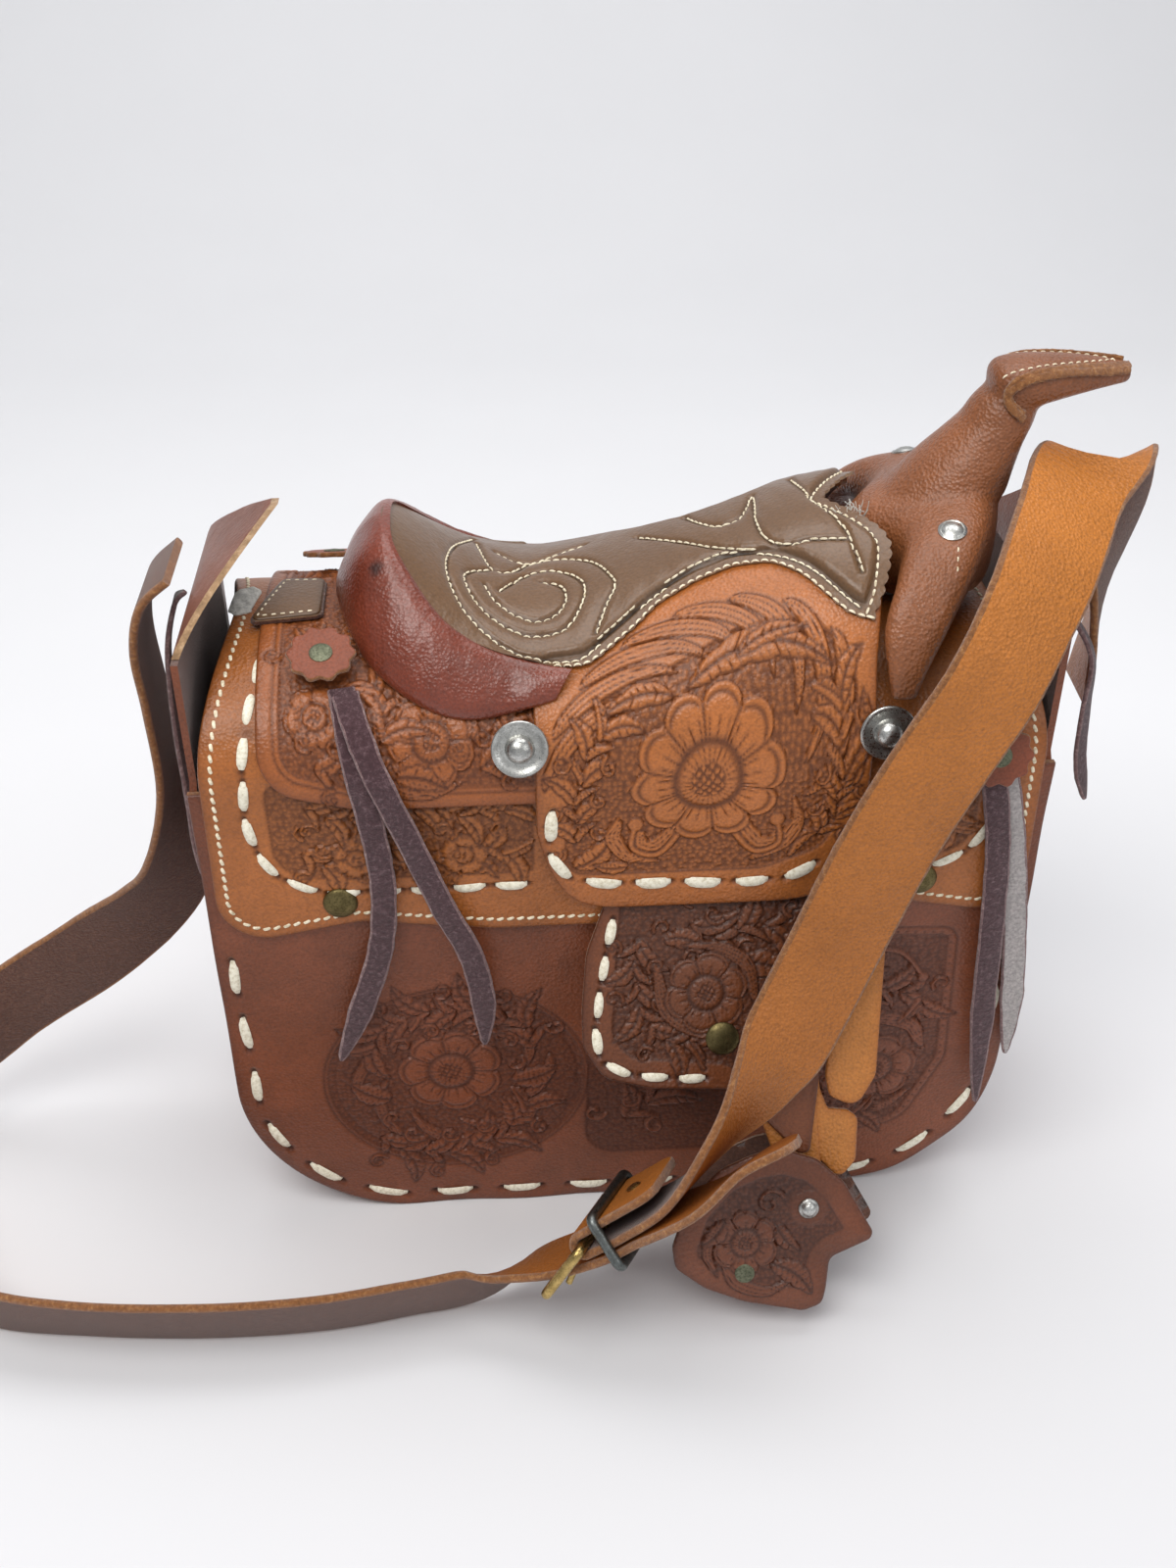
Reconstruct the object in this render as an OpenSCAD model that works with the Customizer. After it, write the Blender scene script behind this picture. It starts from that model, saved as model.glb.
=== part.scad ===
// Saddle handbag: a leather bag whose lid carries a miniature stock saddle.
// Origin: centre of the flat bottom. X runs along the bag, -Y is its front, +Z is up.

/* [Bag] */
// Width of the bag over its two ends
body_w = 280; // [240:1:320]
// Depth over the outer faces of the front and back panels
body_d = 110; // [96:1:124]
// Height of the front and back panels
panel_h = 188; // [176:1:188]
// Rounding of the panels' bottom corners
corner_r = 62; // [50:1:68]
// Thickness of the panel and gusset leather
panel_t = 2.4; // [1.8:0.1:3]
// Width of the gusset's turned edge behind each panel
turn_w = 9; // [6:0.5:12]
// Height at which the lid starts to curve inward
shoulder_z = 190; // [186:1:196]
// Height of the lid's crown above that shoulder
crown_rise = 33; // [28:1:38]
// Thickness of the flap leather
flap_t = 2.5; // [1.8:0.1:3]
// Lowest height of the flap's front edge
flap_hem_z = 132; // [120:1:140]
// How far the flap's ends draw in at the ridge
flap_inset = 9; // [6:1:14]
// Rounding of the flap's lower corners
flap_corner_r = 16; // [10:1:24]

/* [Hinge] */
// Height of the fold about which the lid opens, on the back
hinge_z = 182; // [178:1:184]

/* [Saddle] */
// Thickness of the jockey and fender leather
jockey_t = 2; // [1.6:0.1:2.4]
// Thickness of the padded vinyl seat
seat_t = 3; // [2.4:0.1:4]
// Rise of the seat from its lowest point to the cantle
cantle_rise = 24; // [20:1:28]
// Rise of the seat from its lowest point to the fork
fork_rise = 31; // [24:1:34]
// Length of the horn's cap
horn_len = 45; // [38:1:50]
// Height of the horn's top above the fork
horn_rise = 43; // [39:1:47]
// Thickness of the stirrup leather
stirrup_t = 2.2; // [1.8:0.1:2.6]
// Inside depth of the stirrup
stirrup_gap = 16; // [12:1:18]

/* [Strap] */
// Width of the shoulder strap
strap_w = 34; // [28:1:36]
// Thickness of the shoulder strap
strap_t = 3; // [2.4:0.1:3.4]
// Diameter of the buckle's wire
wire_d = 3.6; // [3:0.1:4]

/* [Fittings] */
// Diameter of a concho
concho_d = 18; // [15:0.5:20]
// Diameter of a snap cap
snap_d = 11.5; // [9:0.5:13]
// Diameter of a small rivet
rivet_d = 7; // [5:0.5:8]
// Width of a saddle string
string_w = 8.5; // [7:0.5:10]
// Width of a lacing stitch
lace_w = 3.2; // [2.4:0.1:4]
// Length of a lacing stitch that shows
lace_len = 12; // [9:0.5:14]
// Distance from one lacing stitch to the next
lace_pitch = 25; // [20:0.5:30]

/* [Hidden] */
$fn = 40;
// Clearance between layers of leather
gap = 0.3;
// Overrun of every cut
over = 5;
half_w = body_w / 2;
half_d = body_d / 2;
ridge_z = shoulder_z + crown_rise;

// Offsets of the lid's layers from the panels' outer faces
flap_off = gap;
jockey_off = flap_off + flap_t + gap;
over_off = jockey_off + jockey_t + gap;
seat_off = over_off + jockey_t + gap;
// The lid works between the gusset's two ends
lid_half = half_w - panel_t * 1.5 - gap * 3;

// Places along the bag as shares of the lid's half width: cantle, lowest seat, fork
cantle_share = -0.539;
dip_share = -0.192;
fork_share = 0.745;
cantle_x = cantle_share * lid_half;
dip_x = dip_share * lid_half;
fork_x = fork_share * lid_half;

// Outline of a panel: how far its foot is narrower on each side
foot_draw = corner_r / 24;
gusset_top = ridge_z + turn_w;

// Vectors
function unit(v) = v / norm(v);
function mix(a, b, s) = a + (b - a) * s;
function clamp01(s) = min(1, max(0, s));
function smooth(s) = let(c = clamp01(s)) c * c * (3 - 2 * c);
function spline(p, i, s) = let(
    n = len(p) - 1,
    a = p[max(i - 1, 0)], b = p[i], c = p[min(i + 1, n)], d = p[min(i + 2, n)])
    (b * 2 + (c - a) * s + (a * 2 - b * 5 + c * 4 - d) * s * s
     + (b * 3 - a - c * 3 + d) * s * s * s) / 2;
function refine(p, steps) = concat(
    [for (i = [0 : len(p) - 2]) for (k = [0 : steps - 1]) spline(p, i, k / steps)],
    [p[len(p) - 1]]);
function at_share(p, s) = let(
    x = clamp01(s) * (len(p) - 1), i = min(floor(x), len(p) - 2)) spline(p, i, x - i);

// A polygon's corners rounded by arcs
function corner(p0, p1, p2, r, steps) = r == 0 ? [p1] : let(
    a = unit(p0 - p1), b = unit(p2 - p1), half = acos(a * b) / 2,
    c = p1 + unit(a + b) * r / sin(half),
    s = p1 + a * r / tan(half) - c, e = p1 + b * r / tan(half) - c)
    [for (k = [0 : steps]) c + unit(mix(s, e, k / steps)) * r];
function rounded(p, r, steps = 6) = let(n = len(p))
    [for (i = [0 : n - 1]) for (q = corner(p[(i + n - 1) % n], p[i], p[(i + 1) % n], r[i], steps)) q];

// The arch over which the lid is draped: turn 0 is the front shoulder, 180 the back one
arch_power = 0.91;
function swell(v) = sign(v) * pow(abs(v), arch_power);
function arch(turn, off, rise) = [
    -(half_d + off) * swell(cos(turn)), shoulder_z + (rise + off) * swell(sin(turn))];

// Height of the saddle's own arch along the bag
seat_rise = crown_rise + gap;
seat_left = dip_x - cantle_x;
seat_right = fork_x - dip_x;
function saddle_rise(x) = x < dip_x
    ? seat_rise + cantle_rise * pow((dip_x - x) / seat_left, 2)
    : seat_rise + fork_rise * pow(sin(90 * clamp01((x - dip_x) / seat_right)), 1.5);
function saddle_at(x, turn, off) = let(p = arch(turn, off, saddle_rise(x))) [x, p[0], p[1]];
function crown_at(x, turn, off) = let(p = arch(turn, off, crown_rise)) [x, p[0], p[1]];

// A closed skin between two grids of points; quads are cut into triangles
module skin(outer, inner) {
    nu = len(outer) - 1;
    nv = len(outer[0]) - 1;
    row = nv + 1;
    half = (nu + 1) * row;
    pts = concat([for (r = outer) for (p = r) p], [for (r = inner) for (p = r) p]);
    function quad(a, b, c, d) = [[a, b, c], [a, c, d]];
    grid = [for (i = [0 : nu - 1]) for (j = [0 : nv - 1]) let(a = i * row + j)
        each concat(quad(a, a + 1, a + row + 1, a + row),
            quad(half + a, half + a + row, half + a + row + 1, half + a + 1))];
    sides = [for (i = [0 : nu - 1]) let(a = i * row, b = i * row + nv)
        each concat(quad(a, a + row, half + a + row, half + a),
            quad(b, half + b, half + b + row, b + row))];
    ends = [for (j = [0 : nv - 1]) let(a = j, b = nu * row + j)
        each concat(quad(a, half + a, half + a + 1, a + 1),
            quad(b, b + 1, half + b + 1, half + b))];
    polyhedron(points = pts, faces = concat(grid, sides, ends));
}

// A closed tube through rings of points, with flat ends
module loft(rings) {
    n = len(rings[0]);
    last = (len(rings) - 1) * n;
    faces = [for (i = [0 : len(rings) - 2]) for (j = [0 : n - 1]) let(
        a = i * n + j, b = i * n + (j + 1) % n)
        each [[a, b, b + n], [a, b + n, a + n]]];
    ends = [for (j = [1 : n - 2]) each [[0, j + 1, j], [last, last + j, last + j + 1]]];
    polyhedron(points = [for (r = rings) for (p = r) p], faces = concat(faces, ends));
}

// A flat strap: stations hold a place and the direction of the strap's width
function strap_rings(stations, width, thick) = [for (i = [0 : len(stations) - 1]) let(
    n = len(stations) - 1,
    t = unit(stations[min(i + 1, n)][0] - stations[max(i - 1, 0)][0]),
    w0 = stations[i][1], w = unit(w0 - t * (w0 * t)), m = cross(t, w), c = stations[i][0])
    [c - w * width / 2 - m * thick / 2, c - w * width / 2 + m * thick / 2,
     c + w * width / 2 + m * thick / 2, c + w * width / 2 - m * thick / 2]];
function refine_stations(st, steps) = let(
    c = refine([for (s = st) s[0]], steps), w = refine([for (s = st) s[1]], steps))
    [for (i = [0 : len(c) - 1]) [c[i], unit(w[i])]];

// A solid extruded along X from a section in Y and Z
module along_x(width) {
    translate([-width / 2, 0, 0]) rotate([90, 0, 90]) linear_extrude(width) children();
}
// A solid extruded along Y from an outline in X and Z, from y_low to y_high
module along_y(y_low, y_high) {
    translate([0, y_high, 0]) rotate([90, 0, 0]) linear_extrude(y_high - y_low) children();
}

/* Bag body */
function panel_outline(inset, top) = rounded([
    [-half_w + inset, top], [-half_w + foot_draw + inset, inset],
    [half_w - foot_draw - inset, inset], [half_w - inset, top]],
    [0, corner_r - inset, corner_r - inset, 0], 8);

module panel(side) {
    y0 = side < 0 ? -half_d : half_d - panel_t;
    along_y(y0, y0 + panel_t) polygon(panel_outline(0, panel_h));
}
module front_panel() {
    color("#6E3C2A") difference() {
        panel(-1);
        snap_places(1) rotate([90, 0, 0]) cylinder(d = snap_d / 3, h = body_d + over, center = true);
    }
}
module back_panel() {
    color("#6E3C2A") panel(1);
}
module gusset() {
    y_in = half_d - panel_t;
    color("#7A4630") {
        difference() {
            along_y(-y_in, y_in) polygon(panel_outline(0, gusset_top));
            along_y(-y_in - over, y_in + over)
                polygon(panel_outline(panel_t, gusset_top + over));
            gusset_shoulders();
        }
        for (s = [-1, 1]) turned_edge(s);
    }
}
// The turned edge lies flat behind its panel and joins the strip
module turned_edge(side) {
    y_in = half_d - panel_t;
    y0 = side < 0 ? -y_in : y_in - panel_t;
    difference() {
        along_y(y0, y0 + panel_t) polygon(panel_outline(0, panel_h));
        along_y(y0 - over, y0 + panel_t + over)
            polygon(panel_outline(turn_w, panel_h + over));
    }
}
// Above the panels the gusset's ends stay inside the panels' faces
module gusset_shoulders() {
    for (s = [-1, 1])
        translate([-body_w / 2 - over, s > 0 ? half_d - panel_t * 2 : -half_d - over, panel_h])
            cube([body_w + over * 2, panel_t * 2 + over, ridge_z]);
}

// Tongue of the gusset's end above the ridge: its rise, its leans and its widths are shares
tab_rise_share = 0.14;
tab_lean_left_share = 0.21;
tab_lean_right_share = 0.085;
tab_width_shares = [0.92, 0.8, 0.62, 0.42, 0.2, 0.06];
module gusset_tab(side, lean_share) {
    steps = len(tab_width_shares) - 1;
    function x_at(s) = side * half_w + lean_share * half_w * pow(s, 1.3);
    function grid(dx) = [for (i = [0 : steps]) let(s = i / steps)
        [for (j = [-1 : 0.5 : 1]) [x_at(s) + dx, j * tab_width_shares[i] * (half_d - panel_t * 2),
            gusset_top + gap + s * tab_rise_share * ridge_z]]];
    if (side < 0) skin(grid(0), grid(panel_t));
    else skin(grid(-panel_t), grid(0));
}
module gusset_tab_left() {
    color("#5A3426") gusset_tab(-1, tab_lean_left_share);
}
module gusset_tab_right() {
    color("#5A3426") gusset_tab(1, tab_lean_right_share);
}

// Lacing: one stitch after another along the panel's outline
lace_inset = turn_w * 0.68;
lace_proud = 1.2;
function outline_path() = let(i = lace_inset) concat(
    [[-half_w + i, flap_hem_z - i]],
    [for (k = [0 : 8]) [-half_w + foot_draw + corner_r - (corner_r - i) * cos(k * 11.25),
        corner_r - (corner_r - i) * sin(k * 11.25)]],
    [for (k = [8 : -1 : 0]) [half_w - foot_draw - corner_r + (corner_r - i) * cos(k * 11.25),
        corner_r - (corner_r - i) * sin(k * 11.25)]],
    [[half_w - i, flap_hem_z - i]]);
function path_len(p) = let(s = [for (i = [0 : len(p) - 2]) norm(p[i + 1] - p[i])])
    s * [for (v = s) 1];
function path_at(p, d, i = 0) = let(l = norm(p[i + 1] - p[i]))
    d <= l || i == len(p) - 2 ? [p[i] + unit(p[i + 1] - p[i]) * d, unit(p[i + 1] - p[i])]
    : path_at(p, d - l, i + 1);
module stitch_row(path, y_face, pitch = lace_pitch, length = lace_len) {
    total = path_len(path);
    count = floor(total / pitch);
    for (k = [0 : count - 1]) {
        at = path_at(path, (k + 0.5) * total / count);
        translate([at[0][0], y_face, at[0][1]]) rotate([0, -atan2(at[1][1], at[1][0]), 0])
            cube([length, lace_proud, lace_w], center = true);
    }
}
module front_lacing() {
    color("ivory") stitch_row(outline_path(), -half_d - lace_proud / 2);
}
module back_lacing() {
    color("ivory") stitch_row(outline_path(), half_d + lace_proud / 2);
}

/* Lid */
function lid_section(off, low) = concat(
    [[-half_d - off, low]], [for (q = [0 : 9 : 180]) arch(q, off, crown_rise)],
    [[half_d + off, low]]);
function reversed(p) = [for (i = [len(p) - 1 : -1 : 0]) p[i]];
module lid_ring(off, thick, low, width) {
    along_x(width) polygon(concat(lid_section(off + thick, low), reversed(lid_section(off, low))));
}
// The flap's front outline: its hem rises a little beside each corner
flap_corner_share = 0.87;
flap_rise_share = 0.66;
module flap_outline() {
    hem = flap_hem_z;
    rise = flap_corner_r / 3;
    polygon(rounded([
        [-lid_half, ridge_z + over * 2], [-lid_half, hem],
        [-lid_half * flap_corner_share, hem], [-lid_half * flap_rise_share, hem + rise],
        [-lid_half * flap_rise_share / 2, hem], [lid_half * flap_rise_share / 2, hem],
        [lid_half * flap_rise_share, hem + rise], [lid_half * flap_corner_share, hem],
        [lid_half, hem], [lid_half, ridge_z + over * 2]],
        [0, flap_corner_r, 0, flap_corner_r, 0, 0, flap_corner_r, 0, flap_corner_r, 0]));
}
// The lid seen from above: its ends draw in towards the ridge
function end_draw(share) = flap_inset * (1 - pow(abs(share), 1.6));
module lid_plan() {
    right = [for (k = [-8 : 8]) [lid_half - end_draw(k / 8), half_d * k / 8]];
    out = half_d + over * 2;
    linear_extrude(ridge_z * 2) polygon(concat(
        [[lid_half, -out]], right, [[lid_half, out], [-lid_half, out]],
        [for (p = reversed(right)) [-p[0], p[1]]], [[-lid_half, -out]]));
}
module above_hinge() {
    translate([-body_w, -body_d, hinge_z + gap]) cube([body_w * 2, body_d * 2 + over * 9, ridge_z]);
}
module front_half() {
    translate([-body_w, -body_d * 2, -over]) cube([body_w * 2, body_d * 2, ridge_z * 2]);
}
module back_half() {
    translate([-body_w, 0, -over]) cube([body_w * 2, body_d * 2, ridge_z * 2]);
}
module flap() {
    color("#B06C38") difference() {
        intersection() {
            lid_ring(flap_off, flap_t, flap_hem_z - over, body_w);
            lid_plan();
            union() {
                intersection() {
                    front_half();
                    along_y(-body_d, body_d) flap_outline();
                }
                intersection() {
                    back_half();
                    above_hinge();
                }
            }
        }
        snap_places(1) rotate([90, 0, 0]) cylinder(d = snap_d / 3, h = body_d + over, center = true);
    }
}
// The part of the flap below the fold is sewn to the back panel
module flap_back_lower() {
    color("#B06C38") intersection() {
        translate([0, half_d + flap_off, 0]) along_y(0, flap_t) flap_outline();
        translate([-body_w, 0, 0]) cube([body_w * 2, body_d, hinge_z - gap]);
    }
}

// Snap caps: one at each end of the flap's hem
snap_places_x = [-lid_half + corner_r * 0.655, lid_half - corner_r * 0.59];
snap_up = flap_corner_r * 0.85;
module snap_places(which) {
    for (x = snap_places_x) translate([x, 0, flap_hem_z + snap_up])
        intersection() {
            translate([0, -half_d, 0]) children();
            translate([-body_d, -body_d, -body_d]) cube([body_d * 2, body_d, body_d * 2]);
        }
}

/* Jockeys: the saddle's leather skirts */
rear_left_share = -0.86;
rear_right_share = -0.17;
rear_hem = hinge_z + gap * 2;
module rear_jockey() {
    x0 = rear_left_share * lid_half;
    x1 = rear_right_share * lid_half;
    color("#A86432") intersection() {
        lid_ring(jockey_off, jockey_t, rear_hem, body_w);
        lid_plan();
        along_y(-body_d, body_d) polygon(rounded([
            [x0, ridge_z + body_d], [x0, rear_hem + flap_corner_r / 2],
            [x0 + corner_r / 2, rear_hem + gap], [x1, rear_hem + gap], [x1, ridge_z + body_d]],
            [0, flap_corner_r, flap_corner_r, 0, 0]));
    }
}

// The centre jockey hangs on both sides from under the seat
over_left_share = -0.22;
over_hem_z = 142;
over_top_turn = 76;
// Its right edge leans out towards the fork; keys are turns
over_right_shares = [[0, 0.57], [30, 0.572], [51, 0.592], [65, 0.61], [76, 0.57]];
function over_x(s, turn = 0) = lid_half * mix(over_left_share, lookup(turn, over_right_shares), s);
function over_low(s) = over_hem_z + corner_r * 0.5 * pow(abs(2 * s - 1), 8);
function over_row(s, off, low, high_turn) = let(n = 10, z0 = max(low, over_low(s)))
    concat([for (k = [0 : 3]) [over_x(s), -half_d - off, mix(z0, shoulder_z, k / 4)]],
        [for (k = [0 : n]) saddle_at(over_x(s, high_turn * k / n), high_turn * k / n, off)]);
module over_skin(low, high_turn) {
    us = [0, 0.03, 0.08, 0.16, 0.3, 0.45, 0.6, 0.75, 0.87, 0.94, 1];
    skin([for (s = us) over_row(s, over_off + jockey_t, low, high_turn)],
        [for (s = us) over_row(s, over_off, low, high_turn)]);
}
module center_jockey_front() {
    color("#AE6A36") over_skin(0, over_top_turn);
}
module center_jockey_back() {
    color("#AE6A36") mirror([0, 1, 0]) over_skin(hinge_z + gap, over_top_turn);
}
// Below the fold the back skirt is a flat piece fixed to the bag
module center_jockey_back_lower() {
    n = 12;
    color("#AE6A36") translate([0, half_d + over_off, 0]) along_y(0, jockey_t) polygon(concat(
        [[over_x(1), hinge_z - gap], [over_x(0), hinge_z - gap]],
        [for (k = [0 : n]) [over_x(k / n), over_low(k / n)]]));
}

/* Saddle tree, seat, cantle and fork */
// Rim and foot of the cantle from its front tip to its top: place along the bag and turn
cantle_reach = 56;
cantle_rim_shares = [[1, 47.5], [0.74, 52], [0.48, 55.2], [0.28, 60], [0.13, 68.5], [0.02, 78], [0, 90]];
cantle_foot_shares = [[0.9, 37], [0.64, 32.3], [0.36, 31], [0.1, 39], [-0.13, 55], [-0.235, 72], [-0.31, 90]];
cantle_thick_shares = [0.3, 0.5, 0.7, 0.85, 0.95, 1, 1];
cantle_half = 5.5;
function cantle_point(shares, s, off, base) = let(
    front = s <= 0.5, p = at_share(shares, front ? s * 2 : 2 - s * 2),
    x = cantle_x + cantle_reach * p[0], turn = front ? p[1] : 180 - p[1])
    base ? crown_at(x, turn, off) : saddle_at(x, turn, off);
function cantle_ring(s, n) = let(
    rim = cantle_point(cantle_rim_shares, s, seat_off + seat_t, false),
    foot = mix(cantle_point(cantle_foot_shares, s, seat_off + gap, false),
        cantle_point(cantle_foot_shares, s, over_off, true), smooth((min(s, 1 - s) - 0.05) / 0.06)),
    ahead = cantle_point(cantle_rim_shares, min(1, s + 0.02), seat_off, false)
        - cantle_point(cantle_rim_shares, max(0, s - 0.02), seat_off, false),
    c = (rim + foot) / 2, a = (rim - foot) / 2,
    out = unit(cross(a, ahead)) * cantle_half * at_share(cantle_thick_shares, s <= 0.5 ? s * 2 : 2 - s * 2))
    [for (k = [0 : n - 1]) c + a * cos(k * 360 / n) + out * max(0, sin(k * 360 / n)) * 2];
module cantle() {
    color("#6E2E20") loft([for (i = [0 : 28]) cantle_ring(i / 28, 10)]);
}

// The seat's edges: its left one follows the cantle's rim, keys are turns; its right one reaches
// round the fork, keys are turns; its lower one is deeply waisted, keys are shares of the lid
seat_left_shares = [[47.5, 1], [52, 0.74], [55.2, 0.48], [60, 0.28], [68.5, 0.13], [78, 0.03], [90, 0]];
seat_right_shares = [[42, 0.565], [50, 0.595], [58, 0.615], [65, 0.625], [71, 0.61], [78, 0.57], [90, 0.5]];
seat_low_shares = [[-0.137, 48], [-0.08, 48.5], [-0.015, 55.5], [0.033, 60], [0.081, 66], [0.174, 70.4],
    [0.264, 71.6], [0.35, 68.5], [0.413, 61.2], [0.457, 53.4], [0.505, 45.5], [0.565, 42]];
function seat_left_x(turn) = cantle_x + gap * 4
    + cantle_reach * lookup(min(turn, 180 - turn), seat_left_shares);
function seat_right_x(turn) = lid_half * lookup(min(turn, 180 - turn), seat_right_shares);
function low_share(u) = mix(seat_low_shares[0][0], seat_low_shares[len(seat_low_shares) - 1][0], u);
function lower_turn(u) = lookup(low_share(u), seat_low_shares);
function across_x(turn, u) = mix(seat_left_x(turn), seat_right_x(turn), u);
function seat_x(u, v, turn) = let(low = lower_turn(u), near = pow(1 - sin(180 * v), 2))
    across_x(turn, u) + (lid_half * low_share(u) - across_x(low, u)) * near;
// Puffed between its edges and drawn down along a sewn channel near them
seat_puff = 1.6;
function puff(s) = let(e = min(s, 1 - s))
    seat_puff * (smooth(e / 0.12) - 0.5 * exp(-pow((e - 0.14) / 0.03, 2)));
function seat_grid(off, crowned, nu, nv) = [for (i = [0 : nu]) [for (j = [0 : nv]) let(
    u = i / nu, v = j / nv, low = lower_turn(u), turn = mix(low, 180 - low, v),
    x = seat_x(u, v, turn),
    rise = crowned ? puff(v) * smooth(u / 0.15) * smooth((1 - u) / 0.1) : 0)
    saddle_at(x, turn, off + rise)]];
module seat() {
    color("#60503A") skin(seat_grid(seat_off + seat_t - seat_puff, true, 22, 16),
        seat_grid(seat_off, false, 22, 16));
}
// The wooden tree: one block under the cantle and one under the rise towards the fork
tree_shares = [[-0.44, -0.33, 64], [0.06, 0.46, 42]];
module tree_block(left_share, right_share, low_turn) {
    nu = 5;
    nv = 10;
    function grid(top) = [for (i = [0 : nu]) [for (j = [0 : nv]) let(
        turn = mix(low_turn, 180 - low_turn, j / nv), x = lid_half * mix(left_share, right_share, i / nu))
        top ? saddle_at(x, turn, over_off - gap) : crown_at(x, turn, over_off - gap / 4)]];
    skin(grid(true), grid(false));
}
module saddle_tree() {
    color("#B98E5A") for (q = tree_shares) tree_block(q[0], q[1], q[2]);
}
// A stitched lap of the seat's cover lies on the rear jockey behind the cantle
lap_left_share = -0.86;
module seat_lap() {
    nu = 3;
    nv = 6;
    x1 = cantle_x - cantle_reach * 0.31 - cantle_half - gap * 4;
    function grid(off) = [for (i = [0 : nu]) [for (j = [0 : nv])
        crown_at(mix(lap_left_share * lid_half, x1, i / nu), mix(79, 101, j / nv), off)]];
    color("#6A5844") skin(grid(over_off + jockey_t), grid(over_off));
}

// Fork: a swell over the bag with a leg down each side and the horn's neck on top.
// Shares from a leg's foot to the top: left and right edge along the bag, height over the
// saddle's arch, and how far the underside has left that arch for the lid's crown
fork_leg_turn = 20;
fork_left_shares = [0.8, 0.78, 0.84, 0.87, 0.72];
fork_right_shares = [0.885, 0.98, 1.09, 1.19, 1.25];
fork_lift_shares = [0.5, 0.8, 0.8, 0.6, 0.4];
fork_sink_shares = [0, 0.02, 0.3, 0.8, 1];
fork_lift = 10;
fork_lean = 0.3;
fork_box = 0.65;
function fork_at(p, s) = at_share(p, s <= 0.5 ? s * 2 : 2 - s * 2);
function boxy(v) = sign(v) * pow(abs(v), fork_box);
function fork_ring(s, n) = let(
    turn = mix(fork_leg_turn, 180 - fork_leg_turn, s),
    x0 = fork_x * fork_at(fork_left_shares, s),
    x1 = fork_x * fork_at(fork_right_shares, s),
    xm = (x0 + x1) / 2, half = (x1 - x0) / 2,
    low = mix(saddle_at(xm, turn, seat_off), crown_at(xm, turn, jockey_off), fork_at(fork_sink_shares, s)),
    high = saddle_at(xm, turn, seat_off - gap + fork_lift * fork_at(fork_lift_shares, s)),
    lean = fork_lean * half * pow(sin(180 * s), 4))
    [for (k = [0 : n - 1]) let(a = k * 360 / n, c = boxy(cos(a)), u = (boxy(sin(a)) + 1) / 2)
        mix(low, high, u) + [half * c, 0, lean * c * u]];
// Neck rings: place along the bag, height and radius as shares of the cap's length
neck_shares = [[-0.54, -0.955, 0.44], [-0.43, -0.74, 0.375], [-0.307, -0.57, 0.278], [-0.24, -0.45, 0.225],
    [-0.2, -0.4, 0.205], [-0.17, -0.36, 0.2]];
fork_top_z = shoulder_z + seat_rise + fork_rise + seat_off;
horn_top_z = fork_top_z + horn_rise;
horn_x = fork_x * 1.31;
module horn_neck(steps) {
    loft([for (i = [0 : steps]) let(p = at_share(neck_shares, i / steps))
        [for (k = [0 : 11]) let(a = -k * 30, r = horn_len * p[2])
            [horn_x + horn_len * p[0] + r * cos(a), r * sin(a), horn_top_z + horn_len * p[1]]]]);
}
module fork() {
    color("#7D452A") union() {
        loft([for (i = [0 : 24]) fork_ring(i / 24, 14)]);
        horn_neck(6);
    }
}
// Cap rings: place along the cap, height of the middle, half height and half width
cap_shares = [[-0.32, -0.13, 0.02, 0.06], [-0.27, -0.14, 0.12, 0.17], [-0.1, -0.175, 0.185, 0.24],
    [0.1, -0.15, 0.16, 0.23], [0.32, -0.13, 0.13, 0.18], [0.52, -0.12, 0.095, 0.14],
    [0.68, -0.12, 0.07, 0.1]];
module horn() {
    color("#7D452A") loft([for (i = [0 : 12]) let(p = at_share(cap_shares, i / 12))
        [for (k = [0 : 11]) let(a = -k * 30) [horn_x + horn_len * p[0], horn_len * p[3] * cos(a),
            horn_top_z + horn_len * (p[1] + p[2] * sin(a))]]]);
}

/* Lacing, conchos, rosettes and rivets of the saddle */
jockey_row_shares = [[-0.18, 4.6], [-0.183, 2.4], [-0.1, 1.3], [0.36, 1.1], [0.46, 2]];
jockey_pitch_share = 0.7;
module jockey_stitches() {
    stitch_row([for (p = jockey_row_shares) [p[0] * lid_half, over_hem_z + p[1] * turn_w]],
        -half_d - over_off - jockey_t - lace_proud / 2, lace_pitch * jockey_pitch_share);
}
module jockey_lacing_front() {
    color("ivory") jockey_stitches();
}
module jockey_lacing_back() {
    color("ivory") mirror([0, 1, 0]) jockey_stitches();
}
// The flap's own lacing runs inside its stitched edge
flap_lace_in = turn_w * 1.55;
module flap_lacing() {
    z = flap_hem_z + turn_w * 2;
    function run(s, x_end) = let(x = s * (lid_half - flap_lace_in)) [[x, shoulder_z],
        [x, z + corner_r * 0.4], [x - s * corner_r * 0.12, z + corner_r * 0.12],
        [x - s * corner_r * 0.38, z], [x_end, z]];
    color("ivory") {
        stitch_row(run(-1, over_x(0) - gap), -half_d - flap_off - flap_t - lace_proud / 2);
        stitch_row(run(1, over_x(1) + string_w * 2), -half_d - flap_off - flap_t - lace_proud / 2);
    }
}

// A domed disc standing on a face whose outward direction is -Y before turning
module dome(d, flat, high) {
    ball = (d * d / 4 + high * high) / (2 * high);
    rotate([90, 0, 0]) {
        cylinder(d = d, h = flat);
        translate([0, 0, flat]) intersection() {
            translate([0, 0, high - ball]) sphere(r = ball, $fn = 64);
            cylinder(d = d, h = high + gap);
        }
    }
}
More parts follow.
